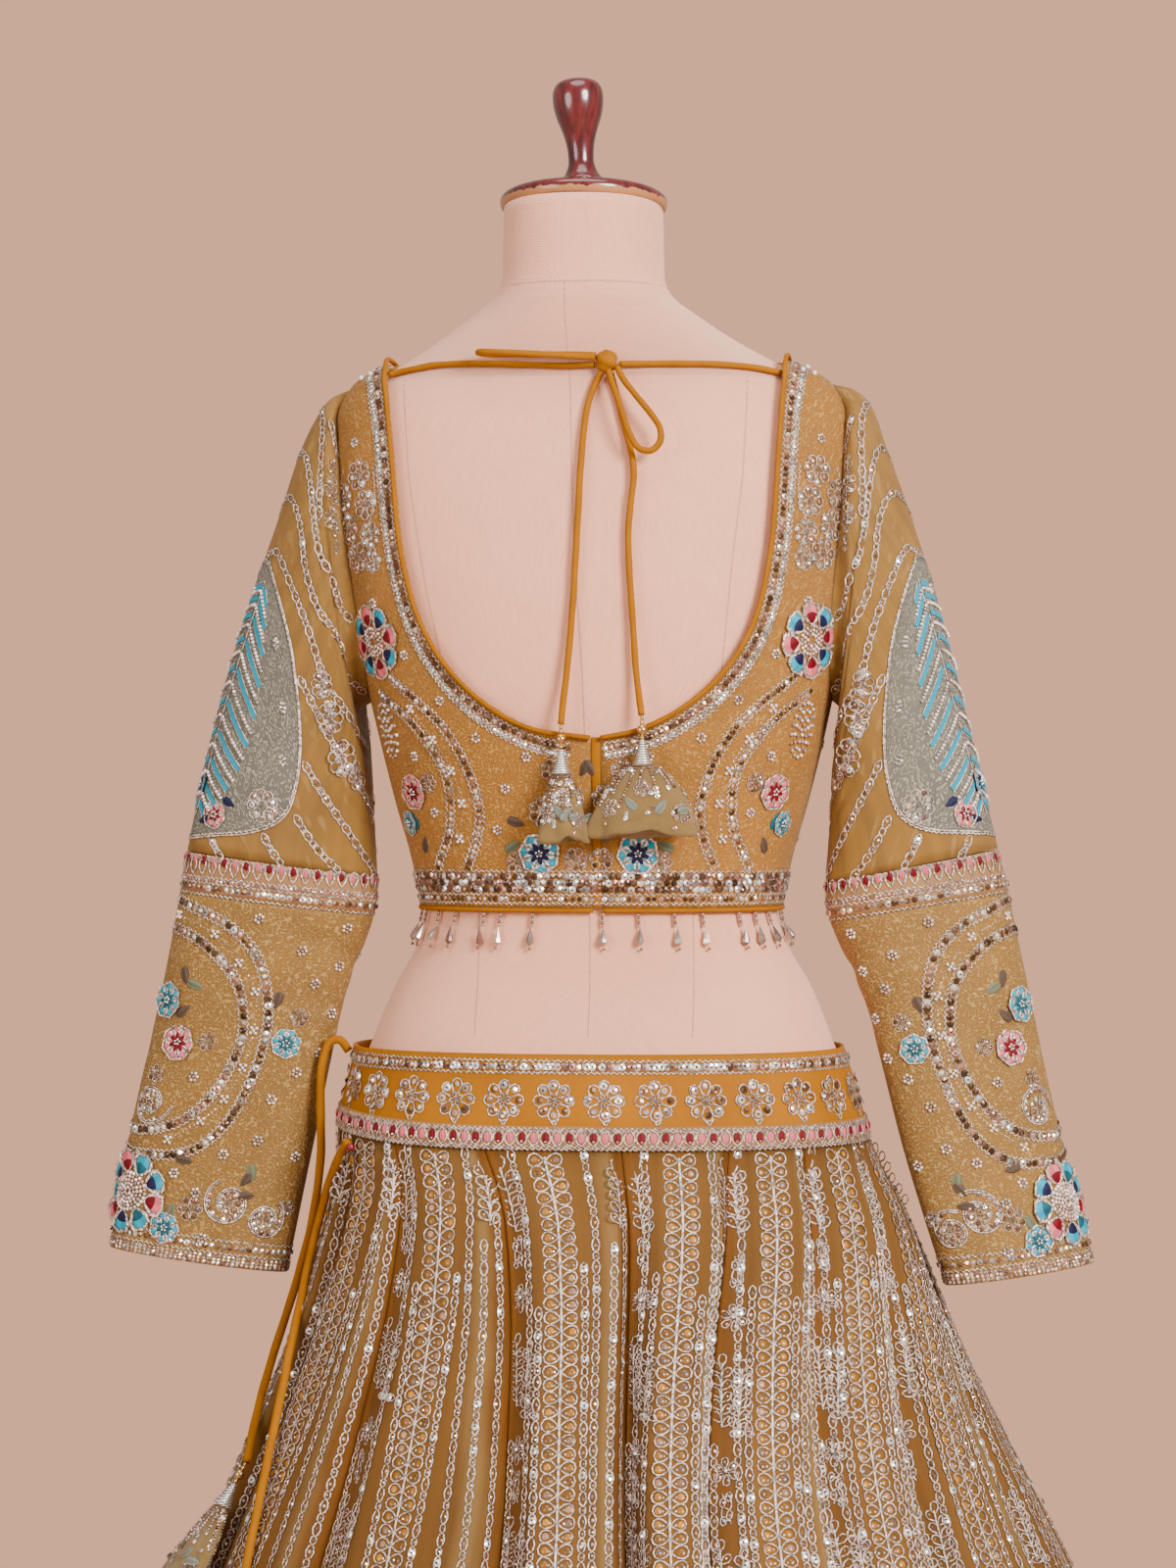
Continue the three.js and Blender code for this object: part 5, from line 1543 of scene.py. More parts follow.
class Needlework:
    """Collects copies of motifs and lengths of cord, and joins them in one mesh."""

    def __init__(self, ground):
        self.ground = ground
        self.parts = []
        self.count = 0

    def _add(self, points, corners, sizes, uvs, tint, finish, smooth_faces):
        self.parts.append((points, corners + self.count, sizes, uvs, tint, finish, smooth_faces))
        self.count += len(points)

    def copies(
        self, motif, u, v, turn=0.0, size=1.0, tall=None, deep=None, tint=SILVER, finish=None, lift=0.0
    ):
        """One copy of a motif at each place, turned by degrees and scaled."""
        u, v = arrays(np.atleast_1d(u), np.atleast_1d(v))
        number = len(u)
        if not number:
            return
        shape = MOTIFS[motif]
        finish = USUAL_FINISH.get(motif, CORD) if finish is None else finish
        at, right, upward, out = self.ground.frames(u, v, lift)
        if finish == SPANGLE:
            tip = shuffle.normal(0, 0.2, (2, number, 1))
            out = unit(out + right * tip[0] + upward * tip[1])
            right = unit(right - out * (right * out).sum(1, keepdims=True))
            upward = np.cross(out, right)
        turn = np.broadcast_to(np.asarray(turn, float), u.shape)[:, None] * RAD
        x_way = right * np.cos(turn) + upward * np.sin(turn)
        y_way = upward * np.cos(turn) - right * np.sin(turn)
        scales = (size, size if tall is None else tall, size if deep is None else deep)
        wide, tall, deep = (np.broadcast_to(np.asarray(s, float), u.shape)[:, None, None] for s in scales)
        p = shape.points
        points = (
            at[:, None]
            + x_way[:, None] * p[None, :, :1] * wide
            + y_way[:, None] * p[None, :, 1:2] * tall
            + out[:, None] * p[None, :, 2:] * deep
        )
        corners = (shape.corners[None] + np.arange(number)[:, None] * len(p)).ravel()
        sizes, uvs = np.tile(shape.sizes, number), np.tile(shape.uvs, (number, 1))
        shade = np.repeat(np.broadcast_to(np.asarray(tint, float), (number, 3)), len(p), axis=0)
        self._add(points.reshape(-1, 3), corners, sizes, uvs, shade, finish, shape.smooth)

    def moved(self, u, v, x, y):
        """Coordinates x mm to the right of others and y mm above them."""
        wide, tall = self.ground.scale(u, v)
        return u + x / wide, v + y / tall

    def directions(self, u, v):
        """How far a line of coordinates goes to the right and up, at each of its points."""
        at, right, upward, _ = self.ground.frames(u, v)
        ahead = unit(np.gradient(at, axis=0))
        return (ahead * right).sum(1), (ahead * upward).sum(1)

    def beside(self, u, v, offset):
        """A line of coordinates moved to its own left by offset mm."""
        x, y = self.directions(u, v)
        return self.moved(u, v, -y * offset, x * offset)

    def spread(self, u, v, pitch):
        """Coordinates evenly spaced, pitch mm apart, along a line of coordinates."""
        u, v = np.asarray(u, float), np.asarray(v, float)
        along = run_length(self.ground.look(u, v)[..., :3])
        number = max(2, int(round(along[-1] / pitch)) + 1)
        even = np.linspace(0, along[-1], number)
        return np.interp(even, along, u), np.interp(even, along, v)

    def cord(self, u, v, width=1.2, height=0.55, step=2.5, tint=SILVER, finish=CORD):
        """A cord couched along a line of coordinates, one face a step."""
        if step:
            u, v = self.spread(u, v, step)
        at, _, _, out = self.ground.frames(u, v, height)
        aside = np.cross(unit(np.gradient(at, axis=0)), out)
        strip = np.stack([at - aside * width / 2, at + aside * width / 2], axis=1)
        number = len(u)
        corners = (np.arange(number - 1)[:, None] * 2 + np.array([[1, 3, 2, 0]])).ravel()
        along, across = run_length(at) * MM, np.array([0, CORD_WIDTH])
        grid = np.stack(np.broadcast_arrays(along[:, None], across[None]), axis=-1).reshape(-1, 2)
        points = strip.reshape(-1, 3)
        shade = np.broadcast_to(np.asarray(tint, float), (len(points), 3))
        self._add(points, corners, np.full(number - 1, 4), grid[corners], shade, finish, True)

    def braid(self, u, v, swing=0.8, pitch=1.9, **how):
        """A cord that zigzags along a line, as a flat silver braid does."""
        u, v = self.spread(u, v, pitch)
        u, v = self.beside(u, v, np.where(np.arange(len(u)) % 2, swing, -swing))
        self.cord(u, v, step=None, **how)

    def piece(self, name, slot):
        """Joins everything in one mesh, which rides on the garment."""
        columns = list(zip(*self.parts))
        points, corners, sizes, uvs, tints = (np.concatenate(column) for column in columns[:5])
        faces = [len(column) for column in columns[2]]
        finish, flat = np.repeat(columns[5], faces), np.repeat(columns[6], faces)
        mesh = bpy.data.meshes.new(name)
        mesh.vertices.add(len(points))
        mesh.vertices.foreach_set("co", (points * MM).astype(np.float32).ravel())
        mesh.loops.add(len(corners))
        mesh.loops.foreach_set("vertex_index", corners.astype(np.int32))
        mesh.polygons.add(len(sizes))
        starts = np.concatenate([[0], np.cumsum(sizes)[:-1]])
        mesh.polygons.foreach_set("loop_start", starts.astype(np.int32))
        mesh.polygons.foreach_set("material_index", finish.astype(np.int32))
        mesh.polygons.foreach_set("use_smooth", flat.astype(bool))
        mesh.update(calc_edges=True)
        mesh.uv_layers.new(name="cloth").data.foreach_set("uv", uvs.astype(np.float32).ravel())
        colour = np.concatenate([tints, np.ones((len(tints), 1))], axis=1)
        shade = mesh.color_attributes.new("tint", "FLOAT_COLOR", "POINT")
        shade.data.foreach_set("color", colour.astype(np.float32).ravel())
        for made in FINISHES:
            mesh.materials.append(made)
        piece = shown(mesh)
        TRIANGLES[name] = int((sizes - 2).sum())
        return piece


print("ready to sew on", BLOUSE.samples.shape[:2], "samples of the blouse")

# %% [markdown]
# ### Finishes of the needlework
# Silver cord is metal thread, so it's half metallic with the twist raised on it, and its colour is
# painted darker towards the flat cord's edges and in the grooves of its twist: painted shade that
# makes it look round. Sequins and stones are glossier, and their colour varies from silver to rose
# and bronze. Pearls are soft white and only half glossy. Silk thread is matt and shows its stitches
# as fine lines, painted darker in the grooves between them as painted shade. All four take their
# colour from the `tint` attribute.

# %% Cord, spangles, pearls, silk
def tinted(name, rough, **constant):
    made, tree, shader = material(name, rough, **constant)
    return made, tree, shader, node(tree, "Attribute", attribute_name="tint").outputs["Color"]


def twisted(tree, ridges, slant):
    """The height of a cord's twist."""
    return placed(tree, twist, {"Vector": cloth_map(tree), "Ridges per metre": ridges, "Slant": slant})[0]


silver_cord, tree, shader, tint = tinted("silver_cord", 0.36, Metallic=0.65)
ridges = calc(tree, "MULTIPLY", twisted(tree, 620.0, 1.3), 0.5)
across = calc(tree, "DIVIDE", node(tree, "SeparateXYZ", {0: cloth_map(tree)}).outputs[1], CORD_WIDTH)
curve = calc(tree, "MULTIPLY", across, calc(tree, "SUBTRACT", 1.0, across))
# The cord's edges and the grooves of its twist are painted darker: painted shade from the same height as the
# bump.
relief_and_painted_shade = calc(tree, "MULTIPLY_ADD", curve, 3.2, ridges)
flecks = noise(tree, place_in(tree), 420.0, 1.0)
dull = node(tree, "MapRange", {0: flecks, 1: 0.36, 2: 0.6, 3: 0.35, 4: 1.15}).outputs[0]
shade = calc(tree, "MULTIPLY", calc(tree, "MULTIPLY_ADD", relief_and_painted_shade, 0.8, 0.15), dull)
coloured(shader, scaled(tree, tint, shade))
raised(shader, relief_and_painted_shade, 0.5 * MM)

spangle, tree, shader, tint = tinted("spangles", 0.16, Metallic=0.85, Coat_Weight=0.3, Coat_Roughness=0.05)
fleck = noise(tree, place_in(tree), 900.0, 1.0)
coloured(shader, scaled(tree, tint, calc(tree, "MULTIPLY_ADD", fleck, 0.5, 0.75)))
feed(tree, shader.inputs["Roughness"], calc(tree, "MULTIPLY_ADD", fleck, 0.2, 0.2))

pearl, tree, shader, tint = tinted("pearls", 0.3, Coat_Weight=0.25, Coat_Roughness=0.15)
coloured(shader, clouded(tree, tint, 300.0, 0.2))

silk, tree, shader, tint = tinted("silk_thread", 0.6, Specular_IOR_Level=0.2)
stitches = twisted(tree, 1400.0, 0.2)
# The grooves between stitches are painted darker: painted shade from the same height as the bump.
coloured(shader, scaled(tree, tint, calc(tree, "MULTIPLY_ADD", stitches, 0.35, 0.7)))
raised(shader, stitches, 0.2 * MM)

FINISHES = [silver_cord, spangle, pearl, silk]
print("needlework finishes:", [made.name for made in FINISHES])

# %% [markdown]
# ### The skirt's columns
# Down the middle of each gore runs a vein of cord with pairs of leaf loops, and in each loop an
# amber bead. Chains of alternating long and round links run beside it, one pair from the waist and
# another pair that steps in lower down. Between the gores, sprigs of leaves, small flowers and
# scrolls follow the seams.

# %% Column builders
LEAF_PITCH, LINK_PITCH = 9.1, 7.7
CHAIN_TONES = (CLEAR, ROSE, SILVER)


def down_line(share, top, bottom, count=60):
    return np.full(count, share), np.linspace(top, bottom, count)


def leaf_column(work, share, top, bottom):
    """A vein with a pair of leaf loops every pitch, and a bead in each loop."""
    u, v = down_line(share, top, bottom)
    work.cord(u, v, width=1.9, height=0.8, step=4.5)
    u, v = work.spread(u, v, LEAF_PITCH)
    u, v = u[:-1], v[:-1] - 2
    wide, _ = work.ground.scale(u, v)
    for hand in (-1, 1):
        tilt = hand * -(86 + shuffle.uniform(-4, 4, len(u)))
        size = shuffle.uniform(0.92, 1.06, len(u))
        work.copies("leaf loop", u + hand * 0.9 / wide, v, turn=tilt, size=size)
        beads = mixed(len(u), AMBER, AMBER * 1.4, BRONZE)
        work.copies("bead", u + hand * 7.4 / wide, v + 0.3, size=2.5, deep=1.8, tint=beads, finish=PEARL)
        glint = shuffle.random(len(u)) < 0.8
        work.copies("stone", (u + hand * 4.2 / wide)[glint], v[glint], size=0.8, tint=BRIGHT)


def chain(work, u, v, spangled=0.3, pitch=LINK_PITCH, tones=CHAIN_TONES):
    """Long and round links in turn, with a stone in each and a bright sequin here and there."""
    u, v = work.spread(u, v, pitch)
    x, y = work.directions(u, v)
    heading = np.arctan2(-x, y) / RAD
    longer = np.arange(len(u)) % 2 == 0
    work.copies("oval link", u[longer], v[longer], turn=heading[longer])
    work.copies("round link", u[~longer], v[~longer], turn=heading[~longer])
    size = np.where(longer, 1.35, 1.0)
    bright = longer & (shuffle.random(len(u)) < spangled)
    stones = mixed(len(u), *tones)
    work.copies("stone", u[~bright], v[~bright], size=size[~bright], deep=1.3, tint=stones[~bright])
    work.copies("sequin", u[bright], v[bright], size=2.5, deep=2.4, tint=BRIGHT, lift=0.5)


def sprig(work, share, top, tall=46.0, pairs=5, lean=0.0, size=1.0):
    """A stem with pairs of small leaf loops and one more at its tip, pointing up."""
    wide = work.ground.scale(share, top - tall / 2)[0][0]
    t = np.linspace(0, 1, pairs * 2)
    bow = lean * np.sin(t * math.pi / 2)
    work.cord(share + bow / wide, top - tall + t * (tall - 7), width=1.4, height=0.6, step=5)
    for hand in (-1, 1):
        rise = (np.arange(pairs) + (0.1 if hand > 0 else 0.45)) / pairs
        u = share + lean * np.sin(rise * math.pi / 2) / wide + hand * 0.4 / wide
        v = top - tall + rise * (tall - 9)
        work.copies("small loop", u, v, turn=-hand * 42, size=size)
        at = u + hand * 3.4 * size / wide, v + 3.6 * size
        work.copies("stone", *at, size=0.9, tint=mixed(pairs, CLEAR, ROSE))
    work.copies("small loop", share + lean / wide, top - 9, size=size)


def flower(work, u, v, radius, petals=6):
    """Petal loops round a bright centre, at one place."""
    wide, tall = (value[0] for value in work.ground.scale(u, v))
    turn = np.arange(petals) * 360 / petals + 12
    x, y = -np.sin(turn * RAD) * radius * 0.22, np.cos(turn * RAD) * radius * 0.22
    work.copies("small loop", u + x / wide, v + y / tall, turn=turn, size=radius / 10, deep=1)
    x, y = -np.sin(turn * RAD) * radius * 0.68, np.cos(turn * RAD) * radius * 0.68
    stones = mixed(petals, CLEAR, ROSE, SILVER)
    work.copies("stone", u + x / wide, v + y / tall, size=radius / 10 * 1.7, deep=1.2, tint=stones)
    work.copies("seed", u, v, size=radius * 0.17, tint=BRIGHT, finish=SPANGLE, lift=0.4)


def scroll(work, u, v, wide_mm, tall_mm, hand):
    """An S of cord that curls in at both ends, with a few stones beside it."""
    across, upward = (value[0] for value in work.ground.scale(u, v))
    t = np.linspace(-1, 1, 26)
    x = hand * wide_mm / 2 * np.sin(t * 4.4) * (1 - 0.25 * np.abs(t))
    y = tall_mm / 2 * (t - 0.22 * np.sin(t * 8.8))
    work.cord(u + x / across, v + y / upward, width=1.2, step=2.2)
    t = np.array([-0.75, -0.35, 0.35, 0.75])
    x = -hand * wide_mm * 0.28 * np.sign(np.sin(t * 4.4))
    at = u + x / across, v + t * tall_mm / 2 / upward
    work.copies("round link", *at, size=1.0)
    work.copies("stone", *at, size=1.1, tint=CLEAR)


print("leaves every", LEAF_PITCH, "mm and links every", LINK_PITCH, "mm")

# %% [markdown]
# ### Sewing the gores
# The same few columns lie on every gore, but each one is handworked: the inner chains start at a
# different height on every gore, and the motifs beside its seam are nudged up or down. Row kind 0
# is the pair of big sprigs at the waist, 1 a scroll, 2 a flower and 3 a pair of sprigs.

# %% The skirt's embroidery
SEAM_ROWS = table("""top kind
    982 0 | 930 1 | 905 2 | 868 3 | 812 2 | 786 1 | 757 3 | 700 2 | 672 1 | 640 3 | 575 2 | 530 3
    455 2 | 405 3 | 330 2 | 270 3 | 190 2 | 120 3""")
STEP_HEIGHTS = table("""left right
    895 903 | 884 912 | 906 892 | 897 889 | 899 911 | 890 900 | 903 887 | 894 905 | 910 896 | 888 899
    901 893 | 896 907 | 891 902 | 905 890 | 898 909 | 893 886""")
SKIRT_END = 34
PAIR_SPRIGS, SCROLL, FLOWER = 0, 1, 2


def chain_distance(wide):
    """How far the outer chains lie from the vein, in mm, where the gore is so wide."""
    return np.maximum(22, 0.265 * wide)


def seam_motifs(work, gore):
    """Sprigs, flowers and scrolls beside the seam at the gore's left."""
    nudge = shuffle.uniform(-9, 9)
    for top, kind in zip(*SEAM_ROWS.values()):
        z = top + (nudge if top < 980 else 0)
        wide = work.ground.scale(0.1, z - 20)[0][0]
        free = wide / 2 - chain_distance(wide)
        share = (0.5 * free + 1.5) / wide
        if kind == PAIR_SPRIGS:
            sprig(work, share, z, tall=48, lean=-2, size=1.15)
            sprig(work, 0.925, z, tall=44, lean=2, size=1.1)
        elif kind == SCROLL:
            scroll(work, share, z - 12, 8, 22, 1 if gore % 2 else -1)
        elif kind == FLOWER:
            flower(work, share, z - 16, 9.0)
        else:
            apart = min(7.5 + (700 - min(z, 700)) / 60, 0.3 * free)
            sprig(work, share - apart / wide * 0.55, z, tall=46, lean=-2)
            sprig(work, share + apart / wide, z - 3, tall=46, lean=2)
            link = np.linspace(share + apart / wide, share + (apart + 8) / wide, 5)
            chain(work, link, np.full(5, z - 49), pitch=6)


def gore_needlework(gore):
    work = Needlework(skirt_ground(gore))
    leaf_column(work, 0.5, SKIRT_TOP - 4, SKIRT_END)
    for hand, top in ((-1, STEP_HEIGHTS["left"][gore]), (1, STEP_HEIGHTS["right"][gore])):
        middle, z = down_line(0.5, SKIRT_TOP - 3, SKIRT_END, 80)
        wide, _ = work.ground.scale(middle, z)
        chain(work, 0.5 + hand * chain_distance(wide) / wide, z)
        middle, z = down_line(0.5, top, SKIRT_END)
        wide, _ = work.ground.scale(middle, z)
        chain(work, 0.5 + hand * (15.4 + 5 * smooth(top, 400, z)) / wide, z, spangled=0.42)
    for share in (0.375, 0.645):
        work.cord(*down_line(share, 560, SKIRT_END, 50), width=1.6, step=7)
    chain(work, *down_line(0.045, 800, SKIRT_END), spangled=0.25)
    chain(work, *down_line(0.885, 925, SKIRT_END), spangled=0.25)
    chain(work, *down_line(0.955, 940, SKIRT_END), spangled=0.2)
    seam_motifs(work, gore)
    return work.piece(f"kali_{gore + 1:02d}_needlework", "skirt_organza")


needlework = {f"kali_{gore + 1:02d}": [gore_needlework(gore)] for gore in range(GORES)}
print("triangles on the skirt:", sum(TRIANGLES.values()), "most on one gore:", max(TRIANGLES.values()))

# %% [markdown]
# ### Motifs shared by the blouse, the sleeves and the waistband
# Rows of spangles lie between two braids. Flowers have satin-stitched petals, edged with cord,
# round a cluster of beads. A butti is a tiny flower of six beads, scattered everywhere.

# %% Rows and small motifs
def through(at, count=90):
    """A smooth line of coordinates through a few points."""
    t = np.linspace(0, len(at) - 1, count)
    return curve_through(at[:, 0], t), curve_through(at[:, 1], t)


def spangles(work, u, v, pitch, size, tones, holed=0.3):
    """A row of sequins and stones along a line."""
    u, v = work.spread(u, v, pitch)
    tints = mixed(len(u), *tones)
    ring = shuffle.random(len(u)) < holed
    work.copies("sequin", u[ring], v[ring], size=size, tint=tints[ring], lift=0.3)
    work.copies("stone", u[~ring], v[~ring], size=size, deep=size * 0.8, tint=tints[~ring], lift=0.15)


def banded_row(work, u, v, half, pitch, size, tones, holed=0.3):
    """A row of spangles between two braids."""
    for side in (-1, 1):
        work.braid(*work.beside(u, v, side * half))
    spangles(work, u, v, pitch, size, tones, holed)


def round_about(work, u, v, radius, count, phase=0.0):
    """Coordinates evenly round a place, and the direction of each in degrees."""
    turn = phase + np.arange(count) * 360 / count
    start = np.full(count, u, float), np.full(count, v, float)
    return *work.moved(*start, -np.sin(turn * RAD) * radius, np.cos(turn * RAD) * radius), turn


def butti(work, u, v, size=1.0):
    x, y, _ = round_about(work, u, v, 2.5 * size, 6, shuffle.uniform(0, 60))
    work.copies("seed", x, y, size=1.15 * size, tint=mixed(6, PEARL_WHITE, PEARL_WHITE * 0.75))
    work.copies("seed", u, v, size=size, tint=ROSE, finish=SPANGLE)


def pearl_cluster(work, u, v):
    x, y, _ = round_about(work, u, v, 2.6, 4, 45)
    work.copies("seed", x, y, size=1.25, tint=PEARL_WHITE)
    work.copies("seed", u, v, size=1.25, tint=PEARL_WHITE)


def leaf(work, u, v, turn, length=13.0, colour=LEAF_BROWN):
    work.copies("petal", u, v, turn=turn, size=length * 0.55, tall=length, deep=3.2, tint=colour)


print("rows and buttis for", len(panels), "panels")

# %% [markdown]
# ### Flowers
# A silk flower is a ring of petals with darker hearts, edged with loops of cord. A spangle flower
# has a loop of cord for each petal and a sequin or a stone in it. The biggest flowers have a disc
# of pearls in rings, and a curl is a spiral of doubled cord round a spangle flower.

# %% Flowers and curls
def silk_flower(work, u, v, radius, colour, heart, petals=7):
    turn = shuffle.uniform(0, 50) + np.arange(petals) * 360 / petals
    at = np.full(petals, u, float), np.full(petals, v, float)
    radius = radius * 1.12
    wide = 3.7 * radius / petals**0.75
    work.copies("petal", *at, turn=turn, size=wide, tall=radius, deep=3.6, tint=colour)
    hearts = {"size": wide * 0.42, "tall": radius * 0.62, "deep": 4.6}
    work.copies("petal", *at, turn=turn, **hearts, tint=heart, lift=0.25)
    work.copies("small loop", *at, turn=turn, size=wide / 5.6, tall=radius / 8.1, deep=1.6)
    x, y, _ = round_about(work, u, v, 1.9, 5)
    work.copies("seed", x, y, size=0.9, tint=BRIGHT, finish=SPANGLE, lift=1.0)


def spangle_flower(work, u, v, radius, petals=8, tones=(BRIGHT, SILVER, ROSE)):
    x, y, turn = round_about(work, u, v, radius * 0.28, petals, shuffle.uniform(0, 40))
    work.copies("leaf loop", x, y, turn=turn, size=radius * 0.075, tall=radius * 0.07, deep=1)
    x, y, turn = round_about(work, u, v, radius * 0.72, petals, turn[0])
    ring = shuffle.random(petals) < 0.5
    tints = mixed(petals, *tones)
    size = radius * 0.19
    work.copies("sequin", x[ring], y[ring], size=size, tint=tints[ring], lift=0.5)
    work.copies("stone", x[~ring], y[~ring], size=size, tint=tints[~ring], lift=0.2)
    x, y, _ = round_about(work, u, v, 0.5, petals)
    work.copies("small loop", x, y, turn=turn, size=radius * 0.03)
    work.copies("seed", u, v, size=radius * 0.08, tint=BRONZE, finish=SPANGLE, lift=0.5)


def big_petals(work, u, v, reach, phase, tints, hearts, wide, tall, heart_wide, loop):
    """A ring of petals in different silks, with their hearts and their edging of cord."""
    x, y, turn = round_about(work, u, v, reach, len(tints), phase)
    work.copies("petal", x, y, turn=turn, size=wide, tall=tall, deep=3.6, tint=tints)
    work.copies("petal", x, y, turn=turn, size=heart_wide, tall=9, deep=4.8, tint=hearts, lift=0.3)
    work.copies("small loop", x, y, turn=turn, size=loop[0], tall=loop[1], deep=1.6)


def pearl_rings(work, u, v, rings, size, *tones, stretch=1.0):
    """Rings of pearls, each (radius, count), round a place. A disc may be stretched upwards."""
    for reach, count in rings:
        x, y, _ = round_about(work, u, v, reach, count)
        work.copies("seed", x, v + (y - v) * stretch, size=size, tint=mixed(count, *tones))


def curl(work, u, v, radius, hand=1, start=0.0):
    """A spiral of doubled cord round a small spangle flower."""
    t = np.linspace(0, 1, 40)
    turn = (start + hand * t * 430) * RAD
    reach = radius * (1 - 0.55 * t)
    at = np.full(40, u, float), np.full(40, v, float)
    x, y = work.moved(*at, reach * np.cos(turn), reach * np.sin(turn))
    work.cord(x, y, width=1.3, step=2.4)
    work.cord(*work.beside(x, y, hand * 1.5), width=1.1, step=2.6)
    spangle_flower(work, u, v, radius * 0.5, petals=7)
    x, y = work.moved(*at, (reach - 2.6) * np.cos(turn), (reach - 2.6) * np.sin(turn))
    spangles(work, x[4:], y[4:], 4.4, 1.7, (BRIGHT, ROSE, SILVER, BRONZE), 0.6)


print("flowers in", len(MOTIFS), "kinds of motif")

# %% [markdown]
# ### The waistband and its trim
# Eight-petalled silver flowers run round the waistband under a lace of overlapping sequins. On the
# trim below, pointed loops hold red and pink beads in turn, between two braids.

# %% Waistband and trim
BAND_FLOWERS, TRIM_LOOPS, BAND_START, BAND_ROUND = 28, 120, 3.0, 960
ROUND = np.linspace(BAND_START - 180, BAND_START + 180, 361)


def level(around, v):
    """A line of coordinates that runs round at one height."""
    return around, np.full(len(around), float(v))


work = Needlework(BAND)
banded_row(work, *level(ROUND, 1041.5), 4.0, 3.3, 2.7, (BRIGHT, BRIGHT, BRONZE, SILVER, ROSE), holed=0.75)
flowers = np.stack(work.spread(*level(ROUND, 1019.5), BAND_ROUND / BAND_FLOWERS), axis=1)
for u, v in flowers[:-1]:
    x, y, turn = round_about(work, u, v, 3.4, 8, 0)
    work.copies("leaf loop", x, y, turn=turn, size=0.86, tall=1.0)
    x, y, _ = round_about(work, u, v, 9.8, 8, 0)
    ring = shuffle.random(8) < 0.55
    tints = mixed(8, BRIGHT, CLEAR, BRONZE, SILVER)
    work.copies("sequin", x[ring], y[ring], size=2.7, tint=tints[ring], lift=0.5)
    work.copies("stone", x[~ring], y[~ring], size=2.4, deep=2.2, tint=tints[~ring], lift=0.3)
    x, y, turn = round_about(work, u, v, 0.9, 8, 22)
    work.copies("small loop", x, y, turn=turn, size=0.42, tall=0.5, deep=1.6)
    work.copies("seed", u, v, size=0.9, tint=BRONZE, finish=SPANGLE, lift=0.7)
    for side in (-1, 1):
        stem = np.full(2, u), np.full(2, v)
        x, y = work.moved(*stem, side * np.array((3.2, 0.4)), np.array((-12.2, -16.5)))
        work.cord(x, y, width=1.2, step=2)
needlework["waistband"] = [work.piece("waistband_needlework", "waistband_satin")]

work = Needlework(TRIM)
for z in (1000.8, 989.2):
    work.braid(*level(ROUND, z), swing=0.9)
    work.braid(*level(ROUND, z - 1.4), swing=0.7, tint=SILVER * 0.85)
u, v = (value[:-1] for value in work.spread(*level(ROUND, 995.2), BAND_ROUND / TRIM_LOOPS))
odd = np.arange(len(u)) % 2 == 1
work.copies("pointed loop", u, v, size=1.04, tall=0.84)
work.copies("bead", u[odd], v[odd], size=2.5, tall=3.9, deep=1.6, tint=RED, lift=0.3)
work.copies("bead", u[~odd], v[~odd], size=2.6, tall=4.0, deep=1.6, tint=PINK * 0.9, lift=0.3)
work.copies("stone", u[odd], v[odd] - 2.4, size=0.8, tint=BRIGHT, lift=0.6)
needlework["waistband_trim"] = [work.piece("waistband_trim_needlework", "waistband_trim")]
print("waistband", TRIANGLES["waistband_needlework"], "trim", TRIANGLES["waistband_trim_needlework"])

# %% [markdown]
# ### The blouse
# Sequin borders follow the neckline and the hem. From a big flower below each armhole, a double
# arch of braided spangles runs down to the hem, with clusters of pearls between its bands. Buttis,
# small flowers and leaves fill the rest. Positions are mm to the side and up, for the wearer's
# right half, and `hand` mirrors them to the left.

# %% Borders of the blouse
SPANGLE_TONES = (BRONZE * 0.6, BRIGHT, ROSE, BRIGHT, BRONZE * 0.4)
HEM_TONES = (BRONZE * 0.5, BRIGHT, ROSE, BRONZE, BRIGHT)


def neck_path(hand, count=70):
    row = np.linspace(STRAIGHT_ROWS + 0.05, LAST_ROW, count)
    back_angle, back_z = back_inner(1, row)
    front_angle, front_z = front_inner(row[::-1])
    return hand * np.concatenate([back_angle, front_angle[1:]]), np.concatenate([back_z, front_z[1:]])


work = Needlework(BLOUSE)
for hand in (-1, 1):
    line = neck_path(hand)
    for out in (4.6, 10.6, 15.0):
        work.braid(*work.beside(*line, -hand * out))
    spangles(work, *work.beside(*line, -hand * 7.6), 3.9, 2.1, (BRONZE * 0.5, ROSE, BRONZE, SILVER), 0.35)
    spangles(work, *work.beside(*line, -hand * 12.8), 3.0, 1.6, (BRIGHT, BRIGHT, SILVER), 0.3)
around = np.linspace(-177, 177, 355)
for z in (1172, 1156, 1149.8):
    work.braid(*level(around, z))
for z in (1168.6, 1164.2, 1159.8):
    spangles(work, *level(around, z), 4.4, 2.5, HEM_TONES, 0.55)
spangles(work, *level(around, 1153), 4.2, 1.8, SPANGLE_TONES, 0.3)
for angle in np.arange(-170, 171, 17.0):
    spangle_flower(work, angle, 1164, 6.5, petals=6)
needlework["choli_hem"] = [work.piece("choli_border_needlework", "choli_cloth")]
print("borders:", TRIANGLES["choli_border_needlework"], "triangles")

# %% [markdown]
# ### Flowers and arches
# Tables say where each flower lies and which silks it's worked in: the side and the height of its
# middle, then its radius. Leaves have a direction instead, in degrees from upwards.

